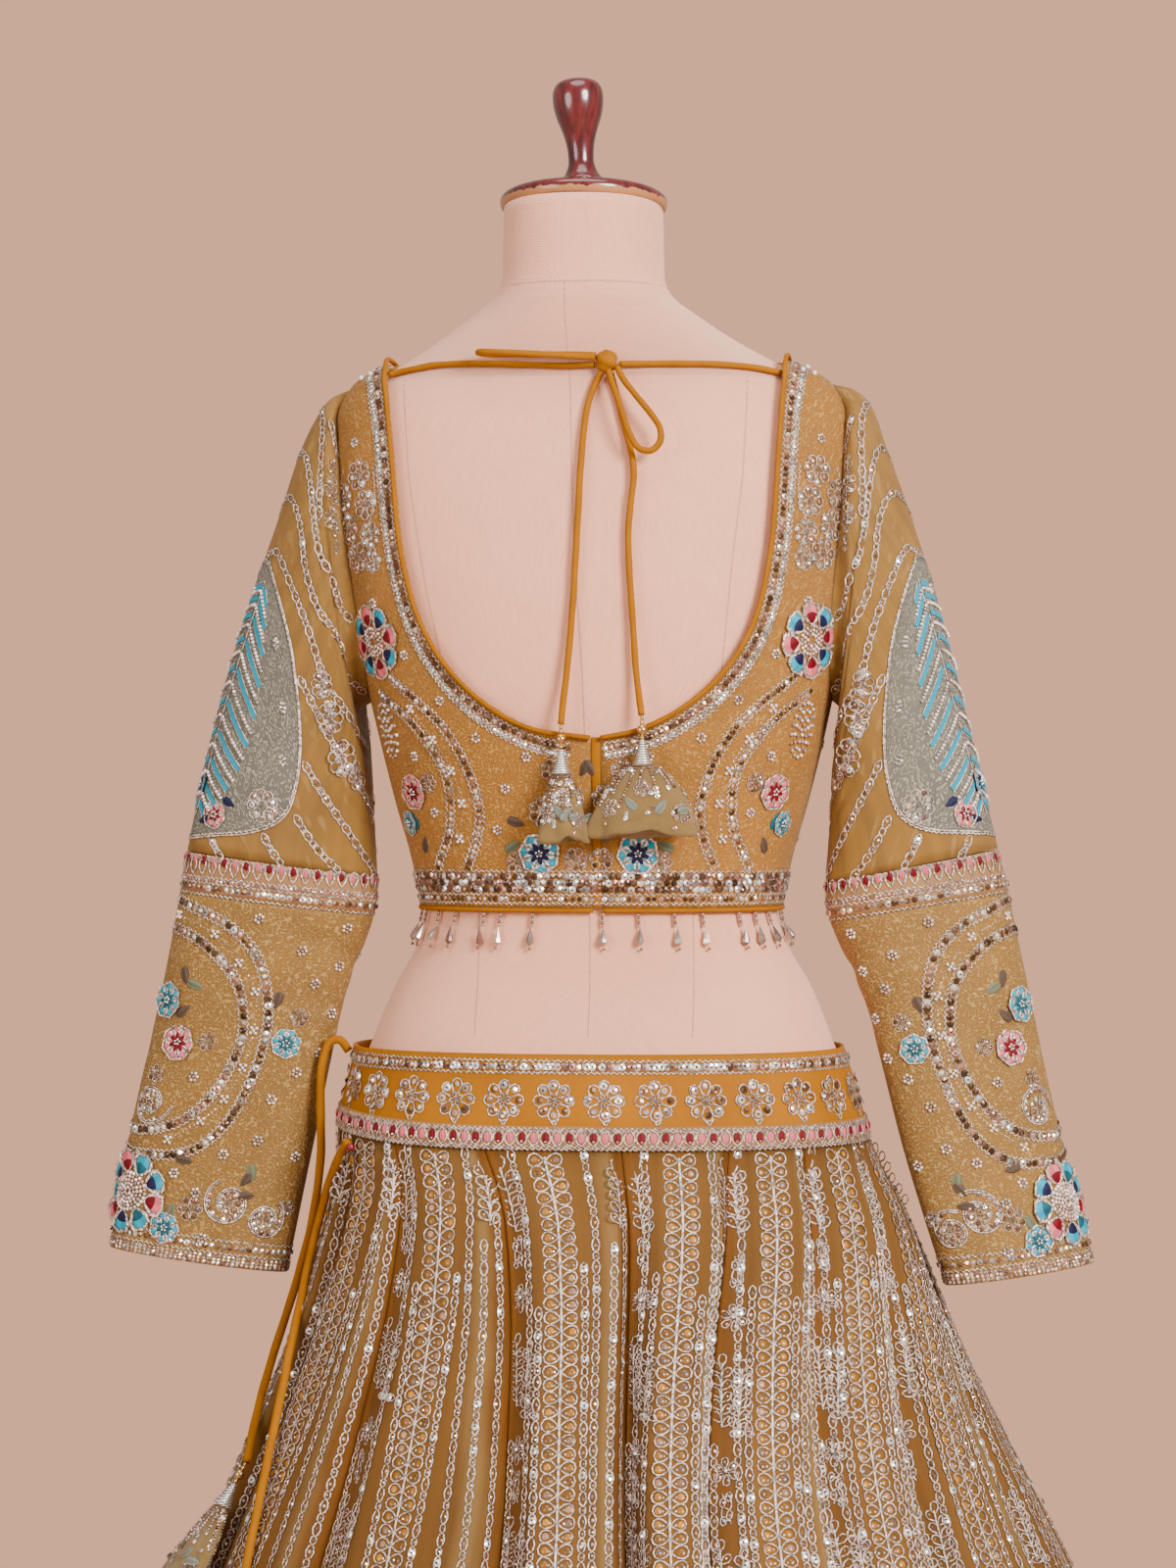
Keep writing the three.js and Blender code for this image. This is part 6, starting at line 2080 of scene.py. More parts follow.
# %% Flowers and arches of the blouse
OUTER_ARCH = points("139 1304, 118 1286, 102 1271, 89 1252, 80 1232, 75.5 1212, 78 1193, 85 1174")
INNER_ARCH = points("148 1294, 127 1276, 110 1256, 100 1238, 96.5 1220, 98 1198, 107 1174")
ARCH_PEARLS = points("124 1282, 108 1261, 95 1240, 88 1218, 90 1194")
BUTTIS = points("""
    161 1464, 149 1354, 127 1318, 102 1287, 77 1262, 42 1249, 57 1228, 63 1200, 30 1205, 20 1233,
    108 1212, 122 1250""")
BLOUSE_SILK = ((124, 1226, 11, PINK, RED), (34, 1184, 12, TURQUOISE, NAVY), (128, 1205, 8, TURQUOISE, TEAL))
BLOUSE_SPANGLED = points("31 1212 10, 12 1222 9, 49 1178 8, 9 1180 8, 24 1240 8, 112 1232 7")
STRAP_SPANGLED = points("""
    158 1442 11, 170 1427 10.5, 153 1421 10.5, 166 1406 11, 150 1400 9.5, 160 1386 11, 148 1382 8""")
STRAP_STEMS = (
    points("170 1446, 174 1425, 172 1400, 166 1384"),
    points("147 1446, 146 1425, 150 1405, 145 1386"),
)
BLOUSE_LEAVES = (
    (116, 1196, 160, LEAF_BROWN), (126, 1212, 200, TEAL), (44, 1203, 70, LEAF_BROWN),
    (20, 1200, 240, LEAF_GREEN), (8, 1208, 200, TEAL), (5, 1236, 330, LEAF_BROWN),
    (47, 1192, 120, LEAF_GREEN),
)


def at_side(hand, places):
    """(mm to the side, height) as (angle, height)."""
    return np.stack([hand * angle_at(places[:, 0], places[:, 1]), places[:, 1]], axis=1)


def spot(hand, side, z):
    return at_side(hand, np.array([(side, z)], float))[0]


def flower_of_the_arch(work, hand):
    """The big flower below the armhole, and the long disc of pearls under it."""
    even = (np.arange(8) % 2 == 0)[:, None]
    tints, hearts = np.where(even, PINK, TURQUOISE), np.where(even, RED, NAVY)
    at = spot(hand, 150, 1328)
    big_petals(work, *at, 11, 10, tints, hearts, 16, 14.5, 11, (2.9, 1.8))
    pearl_rings(work, *at, ((9.5, 20), (6.8, 14), (4, 8)), 1.3, PEARL_WHITE, ROSE, CLEAR)
    below = spot(hand, 142, 1268)
    rings = ((11, 18), (8, 14), (5, 9), (2, 4))
    pearl_rings(work, *below, rings, 1.4, CLEAR, ROSE, PEARL_WHITE, stretch=1.7)


for hand, label in ((-1, "left"), (1, "right")):
    work = Needlework(BLOUSE)
    for line in (OUTER_ARCH, INNER_ARCH):
        banded_row(work, *through(at_side(hand, line)), 3.0, 4.3, 1.9, SPANGLE_TONES, 0.35)
    spangles(work, *through(at_side(hand, ARCH_PEARLS)), 3.2, 0.7, (PEARL_WHITE,), 0)
    for u, v in at_side(hand, ARCH_PEARLS):
        pearl_cluster(work, u, v)
    for u, v in at_side(hand, BUTTIS):
        butti(work, u, v)
    flower_of_the_arch(work, hand)
    for side, z, radius, colour, heart in BLOUSE_SILK:
        silk_flower(work, *spot(hand, side, z), radius, colour, heart)
    for side, z, radius in BLOUSE_SPANGLED:
        spangle_flower(work, *spot(hand, side, z), radius, petals=7, tones=(ROSE, CLEAR, BRONZE))
    for side, z, turn, colour in BLOUSE_LEAVES:
        leaf(work, *spot(hand, side, z), -hand * turn, colour=colour)
    for side, z, radius in STRAP_SPANGLED:
        spangle_flower(work, *spot(hand, side, z), radius, petals=7, tones=(BRIGHT, BRIGHT, ROSE))
    for stem in STRAP_STEMS:
        work.braid(*through(at_side(hand, stem), 40))
    needlework[f"choli_{label}"] = [work.piece(f"choli_{label}_needlework", "choli_cloth")]

work = Needlework(BLOUSE)
for angle in np.arange(100, 181, 16.0):
    for i, z in enumerate(np.arange(1195, 1395, 32.0)):
        if not (z > 1370 and angle > 150):
            for hand in (-1, 1):
                butti(work, hand * (angle + 5 * (i % 2)) if angle < 170 else 180 - 8 * hand, z)
needlework["choli_front"] = [work.piece("choli_front_needlework", "choli_cloth")]
print({name: TRIANGLES[name] for name in TRIANGLES if "choli" in name})

# %% [markdown]
# ### The sleeves
# Chains of small links run down each organza upper sleeve towards its inner edge. On the outer side
# lies a big leaf of sage net, edged with doubled cord, with rows of turquoise satin bars and pearls
# along its rib. A band of red and pink drops closes it. The lower sleeve has a double arch of
# spangles round flowers, and a sequin cuff. Places are (share across the back, ring), where the
# share is 0 at the outer edge and 1 at the inner one; minus shares lie on the front.

# %% The leaf of sage net
LEAF_NEAR = points("""
    0.16 4.36, 0.3 4.42, 0.4 4.58, 0.47 4.95, 0.52 5.45, 0.53 6, 0.5 6.4, 0.4 6.66, 0.22 6.8, 0.02 6.88""")
LEAF_FAR = points("""
    0.16 4.36, 0.06 4.52, -0.03 4.8, -0.12 5.15, -0.2 5.6, -0.25 6.05, -0.25 6.4, -0.2 6.62, -0.1 6.8,
    0.02 6.88""")
sage_net = vermicelli("sage_net", paint(0.13, 0.115, 0.085), paint(0.42, 0.36, 0.26), 200.0, lines=4.0)


def on_sleeve(hand, places):
    """(share, ring) as the coordinates of a sleeve's ground."""
    return np.stack([-hand * places[:, 0] / 2, -places[:, 1]], axis=1)


def leaf_edge(edge, t):
    t = np.asarray(t, float) * (len(edge) - 1)
    return curve_through(edge[:, 0], t), curve_through(edge[:, 1], t)


def leaf_point(across, along):
    """(share, ring) inside the leaf: across from its far edge to its near one, along from the tip."""
    near, far = leaf_edge(LEAF_NEAR, along), leaf_edge(LEAF_FAR, along)
    return mix(far[0], near[0], across), mix(far[1], near[1], across)


def sage_leaf(label):
    def place(u, v):
        share, ring = leaf_point(u if label == "left" else 1 - u, 1 - v)
        return sleeve_place(label, share / 2, ring, 0.25 + 0.35 * np.sin(v * math.pi) * np.sin(u * math.pi))

    mesh = bent_grid(f"sage_leaf_{label}", 26, 48, place)
    bm = bmesh.new()
    bm.from_mesh(mesh)
    bmesh.ops.remove_doubles(bm, verts=bm.verts, dist=1e-5)
    bm.to_mesh(mesh)
    bm.free()
    mesh.materials.append(sage_net)
    sage = shown(mesh)
    return sage


sage = {label: sage_leaf(label) for label in ("left", "right")}
print("sage leaves cut:", list(sage))

# %% [markdown]
# ### The upper sleeve
# The chains are worked first, then the sprays at the armhole, and then the leaf: its edge, its rib
# and bars of silk and rows of pearls in turn, all slanting up from the rib.

# %% Needlework of the upper sleeves
CHAINS = [
    points("0.02 1.7, 0.16 1.45, 0.26 1.6, 0.33 1.95, 0.37 2.2"),
    points("0.22 0.75, 0.33 0.25"),
    points("-0.1 3.3, 0.06 3, 0.18 2.6, 0.28 2.5, 0.37 2.6, 0.45 2.5, 0.56 1.4, 0.68 0.5"),
    points("""
        -0.1 4.1, 0.04 3.8, 0.18 3.4, 0.3 3.25, 0.38 3.4, 0.47 3.35, 0.56 2.9, 0.68 1.8, 0.82 0.8,
        0.9 0.4"""),
    points("0.12 4.35, 0.2 4.1, 0.32 4, 0.46 3.9, 0.57 3.95, 0.66 3.65, 0.77 3.2, 0.88 2.8, 0.97 2.6"),
    points("0.48 4.7, 0.56 4.7, 0.66 4.7, 0.78 4.6, 0.88 4.7, 0.96 5.1"),
    points("0.56 5.6, 0.64 5.75, 0.74 6, 0.84 6.4, 0.92 6.85"),
    points("0.56 6.35, 0.63 6.6, 0.72 6.93"),
    points("0.46 6.7, 0.52 6.95"),
    points("0.26 6.86, 0.3 6.98"),
    points("-0.3 5, -0.42 4.6, -0.55 4.2, -0.7 3.5, -0.85 2.9"),
    points("-0.32 5.7, -0.48 5.4, -0.64 5.1, -0.8 4.8, -0.95 4.6"),
    points("-0.32 6.4, -0.5 6.3, -0.7 6.2, -0.92 6.2"),
    points("-0.16 4.5, -0.35 3.6, -0.5 2.8, -0.7 2"),
]
LINK_TONES = (ROSE, BRONZE, CLEAR)
SHOULDER_SPANGLED = points("0.34 0.7 6, 0.37 0.95 7, 0.43 1.05 7, 0.42 0.65 6, 0.47 0.75 6, 0.51 0.75 5")
ELBOW_SPANGLED = points("0.62 4.36 11, 0.7 4.66 12, 0.56 4.14 9, 0.8 4.4 10")
NAVY_LEAVES = points("0.14 6.72 -60, 0.33 6.5 80, -0.05 6.7 60")
LEAF_BUTTIS = points("0.34 4.85, 0.43 5.3, 0.47 5.8, -0.1 5.6, -0.16 6.1, 0.1 4.85")


def on_arm(hand, share, ring):
    return on_sleeve(hand, np.array([(share, ring)], float))[0]


def leaf_line(hand, across, along):
    """A line inside the leaf, as coordinates of the sleeve's ground."""
    return on_sleeve(hand, np.stack(leaf_point(across, along), axis=1)).T


def leaf_ribs(work, hand):
    """The rib, and on both sides of it bars of silk and rows of pearls in turn."""
    work.cord(*leaf_line(hand, np.full(60, 0.5), np.linspace(0.16, 0.8, 60)), width=1.8, height=1.2)
    for i, along in enumerate(np.linspace(0.2, 0.74, 19)):
        reach = 0.05 + 0.19 * math.sin(math.pi * min(1, (along - 0.1) / 0.75))
        for side in (-1, 1):
            across = 0.5 + side * np.linspace(0.02, reach, 8)
            u, v = leaf_line(hand, across, along + 0.045 * np.linspace(0, 1, 8))
            if i % 2:
                u, v = work.spread(u, v, 2.8)
                work.copies("seed", u, v, size=1.3, tint=mixed(len(u), PEARL_WHITE), lift=0.8)
            else:
                work.cord(u, v, width=3.6, height=1.3, step=3, tint=TURQUOISE, finish=SILK)
                for offset in (2.6, -2.6):
                    work.cord(*work.beside(u, v, offset), width=1.3, height=1.0, step=3)


def upper_sleeve(label, hand):
    work = Needlework(SLEEVES[label])
    for line in CHAINS:
        chain(work, *through(on_sleeve(hand, line)), spangled=0.08, pitch=6.6, tones=LINK_TONES)
    for share, ring, radius in SHOULDER_SPANGLED:
        spangle_flower(work, *on_arm(hand, share, ring), radius, petals=5)
    for line in (LEAF_NEAR, LEAF_FAR):
        edge = through(on_sleeve(hand, line), 120)
        work.braid(*edge, swing=0.5, width=1.4, height=0.9)
        work.cord(*work.beside(*edge, 1.6), width=1.3, height=0.9)
    leaf_ribs(work, hand)
    silk_flower(work, *on_arm(hand, 0.06, 6.45), 11, TURQUOISE, NAVY, petals=8)
    silk_flower(work, *on_arm(hand, 0.24, 6.62), 8.5, PINK, RED, petals=6)
    spangle_flower(work, *on_arm(hand, 0.43, 6.38), 11.5, petals=9)
    for share, ring, radius in ELBOW_SPANGLED:
        spangle_flower(work, *on_arm(hand, share, ring), radius, tones=(BRIGHT, ROSE, SILVER))
    for share, ring, turn in NAVY_LEAVES:
        leaf(work, *on_arm(hand, share, ring), -hand * turn, length=12, colour=NAVY)
    for share, ring in LEAF_BUTTIS:
        butti(work, *on_arm(hand, share, ring), size=1.05)
    return [work.piece(f"sleeve_upper_{label}_needlework", "sleeve_organza"), sage[label]]


print(len(CHAINS), "chains on each upper sleeve")

# %% [markdown]
# ### The band and the lower sleeve
# The band has drops of red and pink silk in loops of cord, between rows of sequins and braid. The
# arch of the lower sleeve goes round like an egg on its side, and a big flower with a disc of
# pearls stands on the cuff. Curls of doubled cord fill the ends.

# %% Needlework of the bands and the lower sleeves
SLEEVE_ARCHES = (
    points("""
        -0.34 8.5, -0.14 8.2, 0.06 8.1, 0.26 8.2, 0.38 8.32, 0.47 8.5, 0.53 8.7, 0.57 8.92, 0.595 9.12,
        0.6 9.3, 0.59 9.5, 0.56 9.75, 0.52 9.93, 0.46 10.08, 0.38 10.17, 0.28 10.2, 0.1 10.2, -0.1 10.1,
        -0.3 9.9"""),
    points("""
        -0.28 8.8, -0.12 8.52, 0.06 8.42, 0.24 8.48, 0.34 8.6, 0.42 8.75, 0.47 8.9, 0.505 9.1, 0.52 9.28,
        0.51 9.45, 0.48 9.63, 0.43 9.8, 0.36 9.93, 0.27 10, 0.14 10.03, 0 10, -0.16 9.85"""),
)
SLEEVE_PEARLS = points("""
    0.12 8.28, 0.34 8.43, 0.45 8.68, 0.53 8.92, 0.555 9.23, 0.545 9.5, 0.505 9.73, 0.44 9.9, 0.33 10.07""")
LOW_BUTTIS = points("""
    0.48 8.2, 0.65 8.5, 0.74 8.8, 0.8 8.2, 0.83 8.62, 0.38 9.6, 0.67 9.7, 0.54 10.13, 0.38 10.32,
    0.47 10.45, 0.75 9.5, 0.85 9.35, 0.88 9.05, 0.65 10, 0.83 10.1, 0.52 10.8, -0.4 8.9, -0.6 8.4,
    -0.75 9, -0.5 9.5, -0.7 10, -0.4 10.4, -0.85 10.5, -0.9 8.5, -0.6 10.7""")
SLEEVE_SILK = (
    (0.17, 9.08, 11, TURQUOISE, TEAL), (0.28, 9.38, 11, PINK, RED), (0.68, 9.3, 9, TURQUOISE, TEAL),
    (0.38, 10.76, 9.5, TURQUOISE, TEAL), (-0.34, 9.45, 10, PINK, RED), (-0.6, 9.2, 10, TURQUOISE, TEAL),
    (-0.5, 10.0, 9, PINK, RED),
)
SLEEVE_SPANGLED = points("0.4 9.35 6.5, 0.2 9.62 7, 0.71 9.1 6.5, 0.46 10.58 9, 0.84 10.5 6, -0.7 9.5 8")
SLEEVE_CURLS = points("0.2 9.82 17 1 0, 0.59 10.5 18 -1 120, 0.745 10.6 15.5 1 60, -0.75 10.4 14 1 0")
SLEEVE_LEAVES = (
    (0.26, 8.93, -15, LEAF_BROWN), (0.34, 8.95, -70, LEAF_GREEN), (0.3, 9.1, -130, LEAF_BROWN),
    (0.61, 9.05, 15, LEAF_BROWN), (0.44, 10.22, -80, LEAF_BROWN), (0.4, 10.55, -160, LEAF_GREEN),
    (0.62, 10.36, 35, LEAF_BROWN), (0.66, 10.32, -10, LEAF_GREEN), (0.68, 10.42, -100, LEAF_BROWN),
    (-0.66, 9.1, 40, LEAF_GREEN),
)
DISC_RINGS = ((13, 28), (10.5, 22), (8, 17), (5.4, 12), (2.6, 6))
ARM_ROUND = np.linspace(-0.5, 0.5, 181)


def sleeve_band(label):
    work = Needlework(SLEEVES[label])
    for ring, tone in ((7.04, 1), (7.56, 1), (7.74, 1), (7.98, 1), (7.08, 0.8)):
        work.braid(*level(ARM_ROUND, -ring), tint=SILVER * tone)
    u, v = (value[:-1] for value in work.spread(*level(ARM_ROUND, -7.42), 8.4))
    odd = np.arange(len(u)) % 2 == 1
    work.copies("small loop", u, v, size=1.15, tall=1.25)
    drops = np.where(odd[:, None], RED, PINK * 0.85)
    work.copies("bead", *work.moved(u, v, 0, 6.4), size=2.5, tall=3.7, deep=2.0, tint=drops, lift=0.3)
    spangles(work, *level(ARM_ROUND, -7.65), 3.0, 1.4, (ROSE, CLEAR, ROSE), 0.15)
    spangles(work, *level(ARM_ROUND, -7.86), 4.6, 2.3, (BRONZE, SILVER, BRIGHT, BRONZE), 0.5)
    return [work.piece(f"sleeve_band_{label}_needlework", "sleeve_band")]


def lower_sleeve(label, hand):
    work = Needlework(SLEEVES[label])
    for line in SLEEVE_ARCHES:
        banded_row(work, *through(on_sleeve(hand, line), 140), 3.1, 5.0, 2.5, SPANGLE_TONES, 0.4)
    spangles(work, *through(on_sleeve(hand, SLEEVE_PEARLS)), 3.2, 0.7, (PEARL_WHITE,), 0)
    for share, ring in SLEEVE_PEARLS:
        pearl_cluster(work, *on_arm(hand, share, ring))
    for share, ring in LOW_BUTTIS:
        butti(work, *on_arm(hand, share, ring), size=1.1)
    for share, ring, radius, colour, heart in SLEEVE_SILK:
        silk_flower(work, *on_arm(hand, share, ring), radius, colour, heart)
    for share, ring, radius in SLEEVE_SPANGLED:
        spangle_flower(work, *on_arm(hand, share, ring), radius, petals=6, tones=(ROSE, BRONZE, SILVER))
    for share, ring, radius, way, start in SLEEVE_CURLS:
        curl(work, *on_arm(hand, share, ring), radius, hand * way, start)
    for share, ring, turn, colour in SLEEVE_LEAVES:
        leaf(work, *on_arm(hand, share, ring), hand * turn, colour=colour)
    at = on_arm(hand, 0.17, 10.52)
    tints = np.stack([(PINK, TURQUOISE, TURQUOISE)[i % 3] for i in range(9)])
    hearts = np.stack([(RED, NAVY, TEAL)[i % 3] for i in range(9)])
    big_petals(work, *at, 14, 15, tints, hearts, 17, 15, 12, (3.0, 1.86))
    pearl_rings(work, *at, DISC_RINGS, 1.45, PEARL_WHITE, ROSE, CLEAR, SILVER)
    for ring in (10.8, 10.9):
        work.braid(*level(ARM_ROUND, -ring))
    spangles(work, *level(ARM_ROUND, -10.85), 4.4, 2.1, (BRONZE, SILVER, BRIGHT, ROSE), 0.5)
    for ring in (10.93, 10.955, 10.98):
        spangles(work, *level(ARM_ROUND, -ring), 3.4, 1.5, (ROSE, SILVER, CLEAR), 0.1)
    return [work.piece(f"sleeve_lower_{label}_needlework", "sleeve_cloth")]


for hand, label in ((-1, "left"), (1, "right")):
    needlework[f"sleeve_upper_{label}"] = upper_sleeve(label, hand)
    needlework[f"sleeve_band_{label}"] = sleeve_band(label)
    needlework[f"sleeve_lower_{label}"] = lower_sleeve(label, hand)
print({name: TRIANGLES[name] for name in TRIANGLES if "sleeve" in name})

# %% [markdown]
# ## Drops, tassels and the knot
# A fringe of beads hangs under the blouse's hem: a strand of silver seeds, a long faceted bead
# and a tip bead. Each one follows the form, a little off it.

# %% Hem drops
DROP_COUNT = 30
work = Needlework(Ground(lambda angle, z: cloth_point(angle, z, 2.4), -186, 186, 1108, 1152, 372, 22))
angles = np.linspace(-180, 180, DROP_COUNT, endpoint=False) + shuffle.uniform(-3.4, 3.4, DROP_COUNT)
top = hem_z - PIPING_RADIUS - 1.2
for i in range(5):
    work.copies("seed", angles, top - 1.9 * i, size=1.3, tint=(SILVER * 0.5, BRONZE)[i % 2], finish=SPANGLE)
drop_tones = mixed(DROP_COUNT, CLEAR * 0.6, ROSE * 0.8, SILVER * 0.6)
work.copies("drop", angles, top - 15.4, size=2.9, tall=7.0, deep=2.6, tint=drop_tones)
work.copies("seed", angles, top - 23.4, size=1.3, tint=BRONZE, finish=SPANGLE)
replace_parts(work.piece("hem_drops_beads", "crystal_drops"), "hem_drops")
print("drops:", DROP_COUNT, "triangles", TRIANGLES["hem_drops_beads"])

# %% [markdown]
# The bow's knot is the same tube wrapped round itself, so a ball is pressed with slanting ridges.

# %% Knot
KNOT = np.array((11.8, -71.5, 1516))
KNOT_WIDE, KNOT_DEEP, KNOT_TALL = 8, 6.5, 8


def knot_place(u, v):
    turn, rise = u * 2 * math.pi, (v - 0.5) * math.pi * 0.97
    swell = 1 - 0.13 * np.abs(np.sin(2.5 * rise + turn)) ** 3
    x = KNOT_WIDE * np.sin(turn) * np.cos(rise) * swell
    y = -KNOT_DEEP * np.cos(turn) * np.cos(rise) * swell
    return KNOT + np.stack([x, y, KNOT_TALL * np.sin(rise) * swell], axis=-1)


mesh = bent_grid("bow_knot_satin", 32, 20, knot_place, tube=True, caps=True)
finished(mesh, tie_satin, "bow_knot", "satin_cord")
print("knot", 2 * KNOT_WIDE, "mm wide")

# %% [markdown]
# A latkan hangs from the end of each cord: gilt beads, a bell cap wrapped in silver thread, and a
# puff of organza gathered under it, sewn with sequins and small flowers. It's made round the z
# axis in mm, with its top at the origin, and one matrix hangs it from its cord.

# %% Hanging the latkans
LATKANS = {
    "neck_left": ("neck_tail_left", (0.02, -0.05, -1), 0, (16, 12, 46)),
    "neck_right": ("neck_tail_right", (0.03, -0.05, -1), 0, (36, 13, 48)),
    "drawstring_front": ("drawstring_front", (-0.5, -0.24, -0.93), -65, (34, 10, 66)),
    "drawstring_back": ("drawstring_back", (-0.42, -0.38, -0.93), -49, (34, 10, 66)),
}


def hang(name):
    """The matrix, in mm, that hangs a latkan made round the z axis from the end of its cord."""
    cord, aim, turn, _ = LATKANS[name]
    down = Vector(aim).normalized()
    swing = Vector((0, 0, -1)).rotation_difference(down).to_matrix().to_4x4()
    end = Vector(LINES[cord][-1]) + down * 0.3
    return Matrix.Translation(end) @ swing @ Matrix.Rotation(turn * RAD, 4, "Z")


HANGINGS = {name: hang(name) for name in LATKANS}
print("latkans:", list(HANGINGS))

# %% [markdown]
# ### Bells
# The beads on the pin are gilt metal, a little worn. The cap is bound with silver thread, whose
# turns show as fine rings, painted dark between the turns as painted shade; the lathe's outline has
# the same rings, a few tenths of a mm deep.

# %% Bells
GILT_FROM = -16.0


def bead_outline(*stack):
    """Beads on a pin, from the bottom up, each (radius, height of its middle)."""
    turn = np.linspace(160, 20, 7) * RAD
    beads = [(radius, middle, a) for radius, middle in stack for a in turn]
    return [(radius * math.sin(a), middle - radius * math.cos(math.pi - a)) for radius, middle, a in beads]


gilt, tree, shader = material("gilt", 0.22, Metallic=1.0)
coloured(shader, clouded(tree, paint(0.62, 0.38, 0.15), 400.0, 0.3))
silver_wrap, tree, shader = material("silver_wrap", 0.3, Metallic=0.8)
wave = {"Vector": place_in(tree), "Scale": 190.0, "Distortion": 1.5}
rings = node(tree, "TexWave", wave, bands_direction="Z").outputs["Fac"]
# Dark between the turns of thread: painted shade from the same rings as the bump.
coloured(shader, ramp(tree, rings, (0, paint(0.2, 0.17, 0.13)), (1, paint(0.95, 0.9, 0.82))))
raised(shader, rings, 0.3 * MM)

share = np.linspace(0, 1, 19)
wraps = 0.18 * np.abs(np.sin(share * math.pi * 9))
cap_outline = zip(2.1 + 4.0 * (1 - share) ** 1.5 + wraps, mix(-31.4, -16.6, share))
BELL_OUTLINE = [(0, -33.0), (5.8, -33.4), (7.2, -32.8), (6.9, -31.9), *cap_outline, (1.2, -16.2)]
BELL_OUTLINE += bead_outline((1.6, -14.6), (3.7, -9.6), (1.6, -4.6), (1.4, -1.75)) + [(0, -0.3)]
for name, hanging in HANGINGS.items():
    mesh = turned(f"bell_{name}_cap", BELL_OUTLINE, steps=16)
    mesh.transform(Matrix.Diagonal((1 / MM, 1 / MM, 1 / MM, 1)))
    mesh.transform(hanging)
    mesh.transform(Matrix.Diagonal((MM, MM, MM, 1)))
    finished(mesh, silver_wrap, f"bell_{name}", "gilt_bell")
    mesh.materials.append(gilt)
    upward, top = np.array(hanging)[:3, 2], np.array(hanging)[:3, 3]
    for face in mesh.polygons:
        depth = float((np.array(face.center) / MM - top) @ upward)
        face.material_index = 1 if depth > GILT_FROM else 0

# %% [markdown]
# ### Puffs
# A puff is a square of organza gathered to a point under the bell, pleated near its top and in
# looser waves near its rim. It's a little transparent, and its beads hang in short strands.

# %% Puffs
PUFF_SHAPE = points("0.26 0, 0.42 -0.09, 0.6 -0.24, 0.79 -0.45, 0.94 -0.7, 1.03 -0.9, 0.97 -1, 0.2 -0.9")
PUFF_TOP = -33.8
puff_organza, tree, shader = material("puff_organza", 0.5, Sheen_Weight=0.2, Alpha=0.75)
streak = noise(tree, cloth_map(tree), 60.0, 4.0, Distortion=1.2)
# The streaks that the bump raises also lighten and darken the colour: partly the organza's own streaky tone,
# partly painted light and shade of its gathers.
coloured(shader, ramp(tree, streak, (0, paint(0.2, 0.1, 0.012)), (1, paint(0.38, 0.22, 0.05))))
net = netting(tree, 1200.0, 0.4)["Height"]
raised(shader, calc(tree, "MULTIPLY_ADD", streak, 2.0, net), 0.3 * MM)


def puff_place(name, phase):
    wide, deep, tall = LATKANS[name][3]
    matrix = np.array(HANGINGS[name])

    def place(turn, drop):
        row = drop * (len(PUFF_SHAPE) - 1)
        r, h = curve_through(PUFF_SHAPE[:, 0], row), curve_through(PUFF_SHAPE[:, 1], row)
        angle = turn * 2 * math.pi
        pleats = 1 + 0.07 * np.sin(9 * angle + phase) * smooth(0.8, 0.1, drop)
        waves = 1 + 0.1 * np.sin(5 * angle + 2 * phase) * smooth(0.3, 0.8, drop)
        x = wide * r * np.sin(angle) * pleats * waves
        y = -deep * r * np.cos(angle) * pleats * waves
        hem = 0.06 * np.sin(3 * angle + phase) + 0.03 * np.sin(7 * angle)
        z = PUFF_TOP + tall * h * (1 - np.maximum(0, hem + 0.03) * smooth(0.3, 0.9, drop))
        return np.stack([x, y, z], axis=-1) @ matrix[:3, :3].T + matrix[:3, 3]

    return place


print("a puff's outline has", len(PUFF_SHAPE), "points")

# %% [markdown]
# Each puff has sixteen short strands of beads from its gathers, loose sequins, five spangle
# flowers, five pairs of big sequins and four leaves. Places are (turn round it, minus the drop).

# %% Puffs and their beads
PUFF_FLOWERS = points("-0.12 -0.5, 0.13 -0.56, 0.0 -0.34, 0.36 -0.5, -0.38 -0.5")
PUFF_PAIRS = points("-0.05 -0.6, 0.06 -0.42, -0.2 -0.4, 0.22 -0.4, 0.45 -0.6")
PUFF_LEAVES = points("0.09 -0.45 140, -0.07 -0.42 220, 0.2 -0.52 100, -0.3 -0.55 250")


def loose_sequins(work, count, low, high, size, lift, *tones):
    u, v = shuffle.uniform(-0.5, 0.5, count), shuffle.uniform(low, high, count)
    work.copies("sequin", u, v, size=size, tint=mixed(count, *tones), lift=lift)


def puff_needlework(name, place):
    work = Needlework(Ground(lambda turn, up: place(turn, -up), -0.55, 0.55, -0.8, -0.03, 88, 40))
    for turn in np.linspace(-0.5, 0.44, 16):
        slant = shuffle.uniform(-0.03, 0.03)
        line = np.linspace(turn, turn + slant, 12), np.linspace(-0.06, -0.4 + shuffle.uniform(-0.1, 0.1), 12)
        u, v = work.spread(*line, 2.3)
        work.copies("seed", u, v, size=1.0, tint=mixed(len(u), ROSE, BRONZE, CLEAR), finish=SPANGLE)
    loose_sequins(work, 26, -0.45, -0.08, 1.8, 0.4, BRIGHT, CLEAR, SILVER)
    for turn, up in PUFF_FLOWERS:
        spangle_flower(work, turn, up, 6.5 + shuffle.uniform(-1, 1), petals=7, tones=(CLEAR, ROSE, BRIGHT))
    for turn, up in PUFF_PAIRS:
        work.copies("sequin", np.full(2, turn), np.full(2, up) + (0, 0.04), size=1.7, tint=BRIGHT, lift=0.2)
    for turn, up, way in PUFF_LEAVES:
        leaf(work, turn, up, way, length=12, colour=LEAF_GREY)
    loose_sequins(work, 14, -0.72, -0.5, 1.6, 0.2, ROSE, CLEAR)
    return work.piece(f"puff_{name}_needlework", "latkan_cloth")


